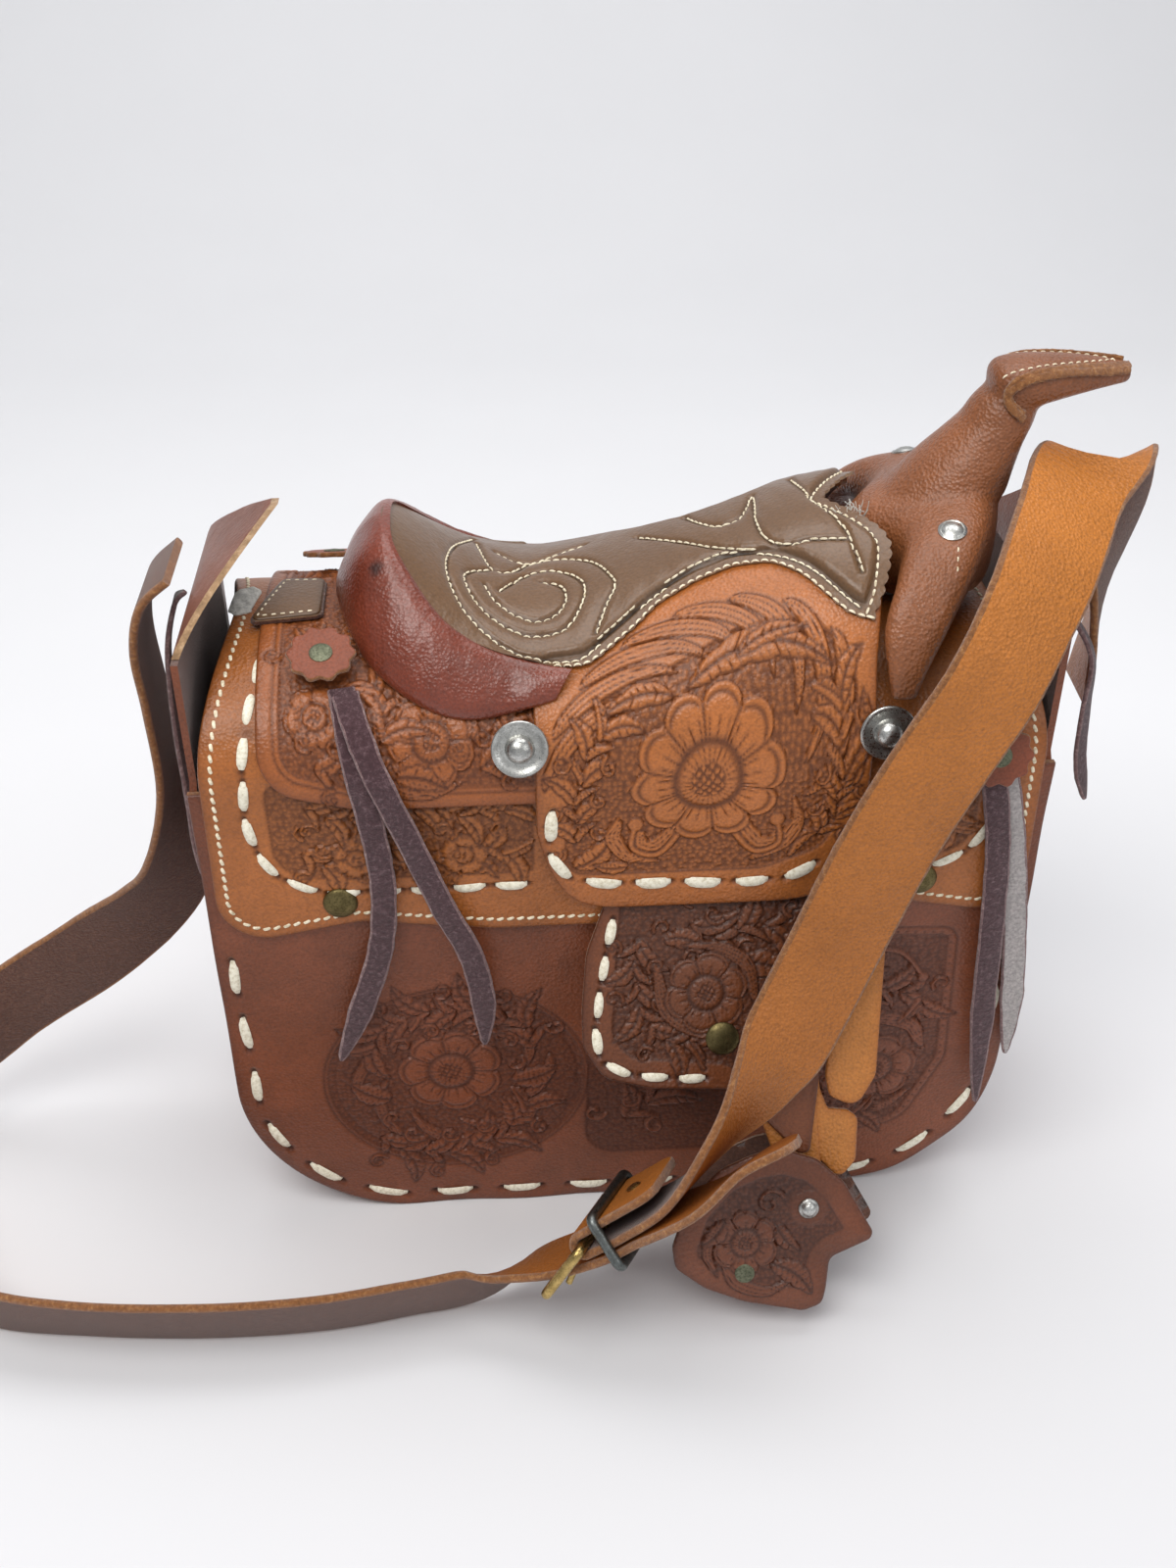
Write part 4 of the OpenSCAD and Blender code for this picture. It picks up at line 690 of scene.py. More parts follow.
# Small made parts gathered into one mesh
class Parts:
    def __init__(self):
        self.v, self.f, self.i, self.n = [], [], [], 0

    def add(self, verts, faces, index=0):
        self.v.append(np.asarray(verts, float))
        self.f += [[k + self.n for k in f] for f in faces]
        self.i += [index] * len(faces)
        self.n += len(verts)

    def tube(self, rings, index=0, bands=None):
        """A closed tube through rings of points; bands gives a material to each side of the ring."""
        m, n = len(rings), len(rings[0])
        f, idx = [], []
        for a in range(m - 1):
            for b in range(n):
                c = (b + 1) % n
                f.append([a * n + b, a * n + c, (a + 1) * n + c, (a + 1) * n + b])
                idx.append(bands[b] if bands is not None else index)
        f += [list(range(n))[::-1], [(m - 1) * n + k for k in range(n)]]
        idx += [max(bands) if bands is not None else index] * 2
        self.v.append(np.asarray(rings, float).reshape(-1, 3))
        self.f += [[k + self.n for k in q] for q in f]
        self.i += idx
        self.n += m * n

    def stitch(self, p, along, up, length, width, height, sink=0.5, sides=8, steps=7):
        """One flattened stitch whose ends dip into their holes."""
        along, up = unit(along), unit(up)
        side = np.cross(up, along)
        rings = []
        for s in np.linspace(-1, 1, steps):
            w = width / 2 * (1 - 0.45 * abs(s) ** 3)
            lift = height * (1 - abs(s) ** 3) - sink * abs(s) ** 6
            a = np.arange(sides) * 2 * math.pi / sides
            c, q = np.sign(np.cos(a)) * np.abs(np.cos(a)) ** 0.7, np.sin(a)
            rings.append(p + along * s * length / 2 + side * (c * w)[:, None]
                         + up * (lift - height * 0.6 + q * height * 0.6)[:, None])
        self.tube(rings)

    def lathe(self, p, axis, profile, index=0, sides=32, spin=0.0):
        """profile: radius and height along the axis."""
        axis = unit(axis)
        u = unit(np.cross(axis, [0.3, 0.2, 1.0] if abs(axis[2]) < 0.9 else [1.0, 0, 0]))
        v = np.cross(axis, u)
        a = np.arange(sides) * 2 * math.pi / sides + spin
        rings = [p + (u * np.cos(a)[:, None] + v * np.sin(a)[:, None]) * r + axis * h for r, h in profile]
        self.tube(rings, index)

    def build(self, name, mats, smooth_angle=50):
        return make_mesh(name, np.vstack(self.v), self.f, mats, self.i, None, smooth_angle)


def row_of(points, pitch):
    """Evenly spaced places in the middle of each pitch along a path, with directions."""
    c = resample(points, 0.25, closed=False)
    d = np.arange(len(c)) * spans(c).mean()
    n = max(1, int(d[-1] // pitch))
    s = (np.arange(n) + 0.5) * d[-1] / n
    g = headings(c)
    at = np.stack([np.interp(s, d, c[:, k]) for k in range(c.shape[1])], -1)
    return at, unit(np.stack([np.interp(s, d, g[:, k]) for k in range(c.shape[1])], -1))


def on_sheet(place, off, at, along):
    """A place on a sheet with its outward normal and the direction of its row."""
    p = place(at[0], at[1], off)
    q = place(at[0] + along[0] * 0.5, at[1] + along[1] * 0.5, off)
    return p, unit(place(at[0], at[1], off + 0.5) - p), unit(q - p)


def laced(parts, place, off, at, along, length, width, height=0.95):
    for row in zip(at, along):
        p, n, t = on_sheet(place, off, *row)
        t = t + np.cross(n, t) * rng.uniform(-0.07, 0.07)
        parts.stitch(p, t, n, length * rng.uniform(0.93, 1.05), width * rng.uniform(0.92, 1.06),
                     height * rng.uniform(0.85, 1.1))


def sewn(parts, place, off, path, pitch=3.4, length=3.3, width=1.2, height=0.55, slant=0.3):
    for row in zip(*row_of(path, pitch)):
        p, n, t = on_sheet(place, off, *row)
        parts.stitch(p, unit(t + np.cross(n, t) * slant), n, length, width, height, 0.25, 6, 5)


SECTION = 16


def strap(parts, centres, sides, width, thick, wide=None, bands=(0, 1, 2), wobble=0.0, round_edge=0.45):
    """A strap with rounded edges; bands are the materials of its face, back and edges."""
    c, w0 = np.asarray(centres, float), np.asarray(sides, float)
    t = headings(c)
    w = unit(w0 - t * (w0 * t).sum(-1, keepdims=True))
    m = np.cross(t, w)
    r = thick * round_edge
    section, kinds = [], []
    for sx, sy, a0 in ((1, 1, 0), (-1, 1, 90), (-1, -1, 180), (1, -1, 270)):
        for k in range(4):
            a = math.radians(a0 + k * 30)
            section.append((sx, sy, r * math.cos(a), r * math.sin(a)))
            kinds.append(bands[2] if k < 3 else bands[0] if a0 == 0 else bands[2] if a0 in (90, 270)
                         else bands[1])
    rings = []
    for i in range(len(c)):
        k = 1 if wide is None else wide[i]
        j = rng.uniform(-wobble, wobble, SECTION)
        rings.append([c[i] + w[i] * (s[0] * (width * k / 2 - r) + s[2] + j[q] * s[0])
                      + m[i] * (s[1] * (thick / 2 - r) + s[3]) for q, s in enumerate(section)])
    parts.tube(rings, bands=kinds)


# Bag body: panels, gusset and running lace
def panel_outline(inset, top=PANEL_H):
    return rounded([[-HALF_W + inset, top], [-HALF_W + FOOT_DRAW + inset, inset],
                    [HALF_W - FOOT_DRAW - inset, inset], [HALF_W - inset, top]],
                   [0, CORNER_R - inset, CORNER_R - inset, 0])


def lace_path(inset):
    p = [[-HALF_W + inset, HEM - inset]]
    for k in range(9):
        a = math.radians(k * 11.25)
        p.append([-HALF_W + FOOT_DRAW + CORNER_R - (CORNER_R - inset) * math.cos(a),
                  CORNER_R - (CORNER_R - inset) * math.sin(a)])
    return np.array(p + [[-x, z] for x, z in reversed(p)])


lace_at, lace_dir = row_of(lace_path(TURN_W * 0.68), 25.0)


def panel_relief(p, near):
    q = p + [0, SHOULDER]
    t = Tooling(q, 0.75, 0.72)
    t.h += 0.5 * np.sin(q[:, 0] * 0.13 + q[:, 1] * 0.11) * np.exp(-near / 5)
    ring_c, ring_r = np.array([-60.0, 62.0]), 41.0
    d = np.linalg.norm((q - ring_c) / [1.12, 1.0], axis=1)
    inside = ring_r - d
    t.ground(inside)
    for k in range(8):
        t.wreath((-61, 64), [k * 0.79 + w for w in (0, 0.35, 0.7, 1.0)], (23, 4), (21, 4), 4.5)
    t.flower([-62, 66], 19, 0.4, 7)
    t.spray([[-92, 40], [-84, 30], [-66, 26], [-44, 34], [-34, 50]], 15, 3)
    t.spray([[-30, 70], [-36, 86], [-56, 94], [-80, 90], [-94, 72]], 15, 5)
    t.leaf([-84, 54], [-98, 62], 5, 0.1)
    t.leaf([-40, 60], [-24, 66], 5, -0.1)
    rim = np.exp(-((inside - 2.2) / 0.5) ** 2) + np.exp(-((inside + 1.4) / 0.5) ** 2)
    t.groove(rim, 0.35, 0.7)
    field = rounded([[56, 24], [104, 30], [118, 62], [116, 122], [60, 124]], [10, 16, 14, 6, 6])
    inside = edge_distance(q, resample(field, 2.0))
    t.ground(inside - 3.4)
    groove = np.exp(-(inside / 0.5) ** 2)
    t.groove(groove, 0.35, 0.7)
    t.dots(resample(rounded([[58, 26], [103, 32], [116, 62], [114, 120], [62, 122]], [8, 15, 12, 5, 5]),
                    2), 3.2)
    t.flutes([[70, 60], [78, 40], [96, 36], [108, 48]], 6, 4)
    t.flutes([[110, 66], [106, 80], [90, 84], [76, 76]], 6, 4)
    t.flower([92, 58], 16, 0.2, 6)
    t.spray([[72, 110], [84, 96], [104, 92], [104, 78]], 15, 8)
    t.spray([[66, 70], [66, 48], [78, 36], [98, 38]], 14, 9)
    t.stem([[70, 104], [80, 112], [96, 112], [106, 100]], 1.6, 1.0, 2.2)
    mid = rounded([[-14, 22], [40, 22], [44, 120], [-10, 124]], 12)
    inside = edge_distance(q, resample(mid, 2.0))
    t.ground(inside)
    t.spray([[-4, 34], [12, 52], [6, 76], [24, 98], [34, 112]], 17, 12, [(0.5, 11)])
    t.holes((lace_at, lace_dir), 7.2)
    return t.h, t.dark


def panel(side):
    name = "front_panel" if side < 0 else "back_panel"
    o = sheet(name + "_leather", panel_outline(0) - [0, SHOULDER], wall_place(side), 0, PANEL_T,
              [BODY, SUEDE, EDGE], panel_relief, 0.75 if side < 0 else 1.1,
              fine=lambda g: g[:, 1] < HEM + 8 - SHOULDER)
    place_piece(o, "bag", "body_leather", name)
    parts = Parts()
    laced(parts, wall_place(side), PANEL_T, lace_at - [0, SHOULDER], lace_dir, 14.0, 3.6, 1.0)
    place_piece(parts.build(name.replace("panel", "lace"), [WHITE]), "bag", "lacing",
                name.replace("panel", "lacing"))


def gusset():
    y_in = HALF_D - PANEL_T
    path = panel_outline(PANEL_T / 2, GUSSET_TOP)
    path = resample(path, 3.0, closed=False)
    t = headings(path)
    nrm = np.stack([t[:, 1], -t[:, 0]], -1)
    parts = Parts()
    y_half = np.where(path[:, 1] < PANEL_H, y_in - 0.2, HALF_D - PANEL_T * 2 - 0.3)
    sections = []
    for i in range(len(path)):
        c = np.array([path[i, 0], 0, path[i, 1]])
        m = np.array([nrm[i, 0], 0, nrm[i, 1]])
        rows = []
        for y, k in ([(-1, -1), (-1, 1)] + [(s, 1) for s in np.linspace(-0.9, 0.9, 9)]
                     + [(1, 1), (1, -1)] + [(s, -1) for s in np.linspace(0.9, -0.9, 9)]):
            rows.append(c + [0, y * y_half[i], 0] + m * k * PANEL_T * 0.48)
        sections.append(rows)
    mats = [0] * 12 + [0] + [1] * 9
    parts.tube(sections, bands=mats)
    low = path[:, 1] < PANEL_H - 2
    for s in (-1, 1):
        rings = []
        for i in np.nonzero(low)[0]:
            a = (np.array([path[i, 0], 0, path[i, 1]])
                 - np.array([nrm[i, 0], 0, nrm[i, 1]]) * PANEL_T * 0.4)
            b = a - np.array([nrm[i, 0], 0, nrm[i, 1]]) * (TURN_W - PANEL_T)
            y0, y1 = s * (y_in - 0.1), s * (y_in - PANEL_T)
            rings.append([a + [0, y0, 0], b + [0, y0, 0], b + [0, y1, 0], a + [0, y1, 0]])
        parts.tube(rings, 1)
    o = parts.build("gusset_leather", [BODY, SUEDE])
    place_piece(o, "bag", "gusset_leather", "gusset")


def tongue(side, lean, name):
    """The gusset's end above the ridge: a thick tongue with a rough cut edge."""
    widths = [0.93, 0.9, 0.8, 0.7, 0.6, 0.5, 0.4, 0.29, 0.17, 0.05]
    rings = []
    for i, w in enumerate(widths):
        s = i / (len(widths) - 1)
        x = side * (HALF_W - PANEL_T / 2) + lean * HALF_W * s ** 1.3
        z = TONGUE_FOOT + s * 0.14 * (SHOULDER + CROWN)
        half = w * (HALF_D - PANEL_T * 2)
        ys = np.linspace(-1, 1, 15)
        wob = rng.uniform(-0.25, 0.25, 15)
        outer = [[x + side * (PANEL_T / 2), y * half + q, z] for y, q in zip(ys, wob)]
        inner = [[x - side * (PANEL_T / 2), y * half + q, z] for y, q in zip(ys[::-1], wob[::-1])]
        rings.append(outer + inner)
    parts = Parts()
    parts.tube(rings, bands=[1] * 14 + [2] + [0] * 14 + [2])
    o = parts.build(name + "_leather", [INK if side < 0 else BODY, BODY, TONGUE])
    place_piece(o, "bag", "gusset_leather", name)


# Lid: the flap runs from the front hem over the top to the back hem
def lid_half_width(t):
    y, _ = arch(np.interp(t, ARC, TURNS), 0, CROWN)
    share = np.where((t < 0) | (t > OVER_TOP), 1.0, np.abs(y) / HALF_D)
    return LID - INSET * (1 - share ** 1.6)


def flap_outline():
    rise = FLAP_R / 3
    hem = HEM - SHOULDER
    a, b = LID * 0.87, LID * 0.66
    low = rounded([[-LID, hem + 40], [-LID, hem], [-a, hem], [-b, hem + rise], [-b / 2, hem],
                   [b / 2, hem],
                   [b, hem + rise], [a, hem], [LID, hem], [LID, hem + 40]],
                  [0, FLAP_R, 20, FLAP_R, 20, 20, FLAP_R, 20, FLAP_R, 0])[1:-1]
    ts = np.linspace(0, OVER_TOP, 60)
    w = lid_half_width(ts)
    right = np.stack([w, ts], -1)
    top = low[::-1].copy()
    top[:, 1] = OVER_TOP - top[:, 1]
    return np.vstack([low, right, top, np.stack([-w, ts], -1)[::-1]])


def flap_lace_run(s, x_end):
    x = s * (LID - TURN_W * 1.55)
    z = HEM + TURN_W * 2 - SHOULDER
    c = CORNER_R
    up = [[s * (float(lid_half_width(np.array(v))) - TURN_W * 1.55), v] for v in (46.0, 32.0, 16.0)]
    return refine(up + [[x, 4.0], [x, z + c * 0.4], [x - s * c * 0.12, z + c * 0.12],
                        [x - s * c * 0.38, z],
                   [x - s * c * 0.6, z - 0.6], [x_end, z]], 6)


FLAP_RUNS = [flap_lace_run(-1, -31.5), flap_lace_run(1, 94.5)]
flap_rows = [row_of(r, 13.5) for r in FLAP_RUNS]


def flap_relief(p, near):
    t = Tooling(p)
    hem = HEM - SHOULDER
    field = rounded([[-LID + 21, hem + 26], [-96, hem + 23], [-31, hem + 23], [-31, 2], [-LID + 20, 2]],
                    [12, 8, 2, 2, 4])
    t.ground(edge_distance(p, resample(field, 2.0)))
    t.spray([[-110, -22], [-96, -30], [-80, -24], [-66, -30], [-46, -26], [-34, -30]], 13, 21,
            [(0.3, 8), (0.75, 8)])
    t.spray([[-108, -6], [-90, -12], [-70, -8], [-50, -12], [-36, -8]], 12, 22)
    field = rounded([[86, hem + 23], [100, hem + 23], [LID - 21, hem + 27], [LID - 20, 8], [86, 8]],
                    [2, 8, 12, 4, 2])
    t.ground(edge_distance(p, resample(field, 2.0)))
    t.spray([[110, 2], [104, -14], [110, -28]], 12, 23, [(0.5, 7)])
    t.leaf([94, -4], [104, 4], 4)
    t.leaf([92, -30], [104, -24], 4)
    for row in flap_rows:
        t.holes(row, 5.4, (1.5, 1.1))
    crease = np.exp(-((near - 3.9) / 0.8) ** 2) * (p[:, 1] < OVER_TOP + 5)
    t.h -= 0.18 * crease
    return t.h, t.dark


def inset_run(outline, inset, keep):
    """The outline moved inward, as an open run of the points that keep passes."""
    p = resample(outline, 1.0)
    area = p[:, 0] @ np.roll(p[:, 1], -1) - p[:, 1] @ np.roll(p[:, 0], -1)
    t = unit(np.roll(p, -1, 0) - np.roll(p, 1, 0))
    n = np.stack([-t[:, 1], t[:, 0]], -1) * np.sign(area)
    q = p + n * inset
    ok = keep(q) & (np.abs(edge_distance(q, p)) > inset * 0.9)
    start = np.nonzero(ok & ~np.roll(ok, 1))[0]
    runs = []
    for s in start:
        run = []
        while ok[s % len(q)] and len(run) < len(q):
            run.append(q[s % len(q)])
            s += 1
        if len(run) > 3:
            runs.append(np.array(run))
    return runs


def flap():
    out = flap_outline()
    fine = (lambda g: (g[:, 1] < 12) & ((np.abs(g[:, 0]) > 78) | (g[:, 0] < -26)
                                        | (g[:, 1] < HEM - SHOULDER + 10)))
    o = sheet("flap_leather", out, CROWN_AT, FLAP_OFF, FLAP_T, [FLAP, SUEDE, EDGE], flap_relief, 0.8,
              fine=fine, coarse=4)
    place_piece(o, None, "flap_leather", "flap", "flap_back_lower")
    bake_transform(o)
    parts = Parts()
    for at, along in flap_rows:
        laced(parts, CROWN_AT, FLAP_OFF + FLAP_T, at, along, 10.5, 3.3, 0.95)
    place_piece(parts.build("flap_lace", [WHITE]), "saddle", "lacing", "flap_lacing")
    parts = Parts()
    for run in inset_run(out, 4.0, lambda q: q[:, 1] < OVER_TOP * 0.85):
        sewn(parts, CROWN_AT, FLAP_OFF + FLAP_T - 0.18, run)
    place_piece(parts.build("flap_stitching", [CREAM]), "saddle", "lacing")


# Jockeys
def rear_outline():
    x0, x1 = -0.86 * LID, -0.17 * LID
    hem = 182.9 - SHOULDER
    low = rounded([[x0, hem + 60], [x0, hem + 8], [x0 + 31, hem], [x1, hem], [x1, hem + 60]],
                  [0, FLAP_R, FLAP_R, 3, 0])[1:-1]
    top = low[::-1].copy()
    top[:, 1] = OVER_TOP - top[:, 1]
    return np.vstack([low, top])


def rear_relief(p, near):
    t = Tooling(p)
    mirrored = p.copy()
    back = p[:, 1] > OVER_TOP / 2
    mirrored[back, 1] = OVER_TOP - p[back, 1]
    t.p = mirrored
    t.ground(near - 7.5)
    t.groove(np.exp(-((near - 5.4) / 0.5) ** 2), 0.4, 0.7)
    t.flutes([[-78, 10], [-76, -1], [-64, -4], [-52, 2]], 5, 4)
    t.flutes([[-46, 12], [-50, 26], [-64, 30], [-76, 24]], 5, 4)
    t.flower([-62, 14], 14, 0.5, 7)
    t.flower([-98, 22], 10, 0.1, 6)
    t.spray([[-104, 8], [-92, 6], [-80, 12], [-76, 24], [-84, 36]], 13, 31)
    t.spray([[-52, 4], [-42, 8], [-36, 20], [-40, 34], [-54, 44]], 13, 32)
    t.spray([[-106, 38], [-96, 48], [-80, 52], [-66, 46]], 13, 33)
    t.leaf([-74, 4], [-58, 0], 4, 0.1)
    return t.h, t.dark


def over_left(t):
    return -0.22 * LID + 0 * t


def over_right(t):
    turn = np.interp(t, ARC, TURNS)
    return (LID * lookup([[0, 0.57], [30, 0.572], [51, 0.592], [65, 0.61], [76, 0.57]],
                         np.where(t < 0, 0, turn)))


def over_outline():
    s = np.linspace(0, 1, 60)
    hem = 142 - SHOULDER + CORNER_R * 0.5 * np.abs(2 * s - 1) ** 8
    x = mix(-0.22 * LID, 0.57 * LID, s)
    ts = np.linspace(-14, t_of_turn(74), 30)
    return np.vstack([np.stack([x, hem], -1), np.stack([over_right(ts), ts], -1),
                      np.stack([over_left(ts), ts], -1)[::-1]])


JOCKEY_ROW = refine([[-0.18 * LID, -6.5], [-0.183 * LID, -26.0], [-0.1 * LID, -36.2], [0.1 * LID, -38.2],
                     [0.36 * LID, -38.4], [0.47 * LID, -31.0]], 8)
jockey_row = row_of(JOCKEY_ROW, 15.5)


def over_relief(p, near):
    t = Tooling(p, 0.85, 0.86)
    field = rounded([[-21, -33], [-10, -34], [44, -34], [64, -26], [71, 0], [71, 17], [64, 26], [56, 31],
                     [36, 33],
                     [10, 26], [-10, 22], [-19, 12]], [6, 4, 8, 10, 6, 4, 4, 4, 8, 8, 6, 6])
    t.ground(edge_distance(p, resample(field, 2.0)))
    for k in range(9):
        a = -0.5 + k * 0.34
        t.wreath((25.0, -2.0), [a, a + 0.3, a + 0.62, a + 0.9], (31.0, 7), (31.0 * 0.92, 5), 5.0)
    t.spray([[60, -26], [67, -12], [68, 4], [64, 18]], 12, 42)
    t.spray([[-16, -26], [-17, -8], [-14, 6], [-6, 17]], 12, 41)
    t.leaf([18, 21], [64, 20], 4.6, 0.16, 5, 15)
    t.leaf([34, 26], [56, 29], 2.6, 0.1, 3, 8)
    t.leaf([14, 20], [-8, 18], 3.4, -0.12, 3, 9)
    t.leaf([-18, -31], [-6, -19], 4.4, -0.15)
    t.leaf([0, -31], [-12, -30], 2.6, 0.1)
    t.leaf([52, -30], [62, -20], 3.4, 0.2)
    t.flutes([[-4, -12], [-8, -20], [-2, -29], [10, -30]], 5.5, 4)
    t.flutes([[40, -31], [52, -26], [57, -16], [53, -6]], 5.5, 4)
    for side in (-1, 1):
        hook = [[25 + side * 4, -8], [25 + side * 9, -19], [25 + side * 16, -27], [25 + side * 24, -24],
                [25 + side * 23, -15]]
        t.flutes(hook if side > 0 else hook[::-1], 6.5, 4)
        t.stem(hook, 1.3, 1.0, 2.6)
    t.flower([25, 0], 25, 0.12, 10, 0.86)
    t.holes(jockey_row, 5.6, (1.6, 1.2))
    return t.h, t.dark


def jockeys():
    o = sheet("rear_jockey_leather", rear_outline(), CROWN_AT, JOCKEY_OFF, JOCKEY_T, [REAR, SUEDE, EDGE],
              rear_relief, 0.75)
    place_piece(o, "saddle", "jockey_leather", "rear_jockey")
    out = over_outline()
    o = sheet("center_jockey_front_leather", out, SADDLE_AT, OVER_OFF, JOCKEY_T, [OVER, SUEDE, EDGE],
              over_relief, 0.62)
    place_piece(o, "saddle", "jockey_leather", "center_jockey_front")
    back = out.copy()
    back[:, 1] = OVER_TOP - back[:, 1]
    def back_relief(p, near):
        return over_relief(np.stack([p[:, 0], OVER_TOP - p[:, 1]], -1), near)
    o = sheet("center_jockey_back_leather", back, SADDLE_AT, OVER_OFF, JOCKEY_T, [OVER, SUEDE, EDGE],
              back_relief, 1.0)
    place_piece(o, None, "jockey_leather", "center_jockey_back", "center_jockey_back_lower")
    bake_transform(o)
    for name, body, flip in (("front", "saddle", False), ("back", "bag", True)):
        parts = Parts()
        at, along = jockey_row[0].copy(), jockey_row[1].copy()
        if flip:
            at[:, 1], along[:, 1] = OVER_TOP - at[:, 1], -along[:, 1]
            keep = SADDLE_AT(at[:, 0], at[:, 1], 0)[:, 2] < 176
            at, along = at[keep], along[keep]
        laced(parts, SADDLE_AT, OVER_OFF + JOCKEY_T, at, along, 11.5, 4.2, 1.0)
        place_piece(parts.build("jockey_lace_" + name, [WHITE]), body, "lacing", "jockey_lacing_" + name)


panel(-1)
panel(1)
gusset()
tongue(-1, 0.21, "gusset_tab_left")
tongue(1, 0.085, "gusset_tab_right")
flap()
jockeys()


# Camera rays: places in the photo's frame are carried onto the seat, the cantle and the fork
cam_back = np.array([math.sin(CAM_YAW) * math.cos(CAM_PITCH), -math.cos(CAM_YAW) * math.cos(CAM_PITCH),
                     math.sin(CAM_PITCH)])
cam_right = np.array([math.cos(CAM_YAW), math.sin(CAM_YAW), 0.0])
cam_up = np.cross(cam_back, cam_right)
cam_at = np.array(CAM_AIM) + cam_back * CAM_FAR


def onto(tree, points):
    out = []
    for px, py in points:
        d = unit(cam_right * (px - PHOTO_MIDDLE[0]) / PHOTO_FOCAL
                 - cam_up * (py - PHOTO_MIDDLE[1]) / PHOTO_FOCAL - cam_back)
        hit = tree.ray_cast(Vector(cam_at), Vector(d))[0]
        if hit is not None:
            out.append(np.array(hit))
    return np.array(out)


def grid_faces(nu, nv, base=0, flip=False):
    f = []
    for i in range(nu):
        for j in range(nv):
            a = base + i * (nv + 1) + j
            q = [a, a + 1, a + nv + 2, a + nv + 1]
            f.append(q[::-1] if flip else q)
    return f


# Seat: the CAD tables read finely, quilted along its sewn lines, with a pinked edge
SEAT_LEFT = [[47.5, 1], [52, 0.74], [55.2, 0.48], [60, 0.28], [68.5, 0.13], [78, 0.03], [90, 0]]
SEAT_RIGHT = [[42, 0.565], [50, 0.595], [58, 0.615], [65, 0.625], [71, 0.61], [78, 0.57], [90, 0.5]]
SEAT_LOW = [[-0.137, 48], [-0.08, 48.5], [-0.015, 55.5], [0.033, 60], [0.081, 66], [0.174, 70.4],
            [0.264, 71.6], [0.35, 68.5], [0.413, 61.2], [0.457, 53.4], [0.505, 45.5], [0.565, 42]]
# Places and lines in the photo's frame: marks, the horn's edge and stitches, and the seat's sewn lines
NAIL_MARK, FORK_RIVET, FLEECE = (383, 580), (972, 541), (888, 523)
HORN_BAND = [(1151, 373), (1129, 375), (1098, 376), (1067, 380), (1043, 387), (1031, 396), (1029, 406),
             (1034, 415), (1043, 423)]
HORN_SEAMS = [[(1022, 387), (1034, 380), (1067, 373), (1098, 370), (1132, 367), (1143, 363)],
              [(978, 556), (977, 586)]]
SEWN = [
    [(483, 550), (462, 558), (456, 579), (467, 610), (487, 637), (514, 659), (541, 670), (588, 671),
     (612, 653), (642, 626),
     (670, 603), (697, 583), (732, 566), (767, 561), (806, 567), (837, 583), (864, 606), (879, 618)],
    [(501, 581), (479, 583), (475, 591), (487, 614), (507, 633), (530, 645), (549, 648), (576, 641),
     (592, 618), (596, 598),
     (585, 587), (561, 582), (537, 587), (510, 602)],
    [(553, 593), (572, 598), (577, 610), (569, 624), (549, 633), (525, 626), (506, 612), (495, 596)],
    [(487, 554), (502, 579), (522, 583), (541, 575), (573, 570), (604, 573), (623, 587), (627, 598),
     (619, 614), (608, 645)],
    [(506, 563), (537, 575), (569, 565), (596, 556)],
    [(650, 548), (690, 552), (728, 558), (767, 561)],
    [(699, 528), (716, 534), (734, 536), (755, 527), (767, 506), (771, 532), (783, 550), (802, 555),
     (825, 550), (864, 549)],
    [(806, 489), (837, 513), (860, 536), (872, 560), (880, 583)]]


def smooth_table(table, x):
    t = np.asarray(table, float)
    v = np.interp(x, t[:, 0], t[:, 1])
    w = (t[-1, 0] - t[0, 0]) / len(t) * 0.3
    return (np.interp(x - w, t[:, 0], t[:, 1]) + 2 * v + np.interp(x + w, t[:, 0], t[:, 1])) / 4


def seat_point(u, v, off):
    share = mix(SEAT_LOW[0][0], SEAT_LOW[-1][0], u)
    low = smooth_table(SEAT_LOW, share)
    turn = mix(low, 180 - low, v)
    fold = np.minimum(turn, 180 - turn)
    def across(t):
        left = CANTLE_X + GAP * 4 + CANTLE_REACH * smooth_table(SEAT_LEFT, t)
        return mix(left, LID * smooth_table(SEAT_RIGHT, t), u)
    x = across(fold) + (LID * share - across(low)) * (1 - np.sin(math.pi * v)) ** 2
    y, z = arch(turn, off, saddle_rise(x))
    return np.stack([x, y, z], -1)


def skin_stitches(parts, tree, path, pitch, *size):
    """Stitches laid on a surface; size is their length, width, height and sink."""
    for p, t in zip(*row_of(path, pitch)):
        hit, n = nearest(tree, p)
        n = n * (1 if n[2] > 0 else -1)
        parts.stitch(hit + n * 0.12, t - n * (t @ n), n, *size, 5, 4)


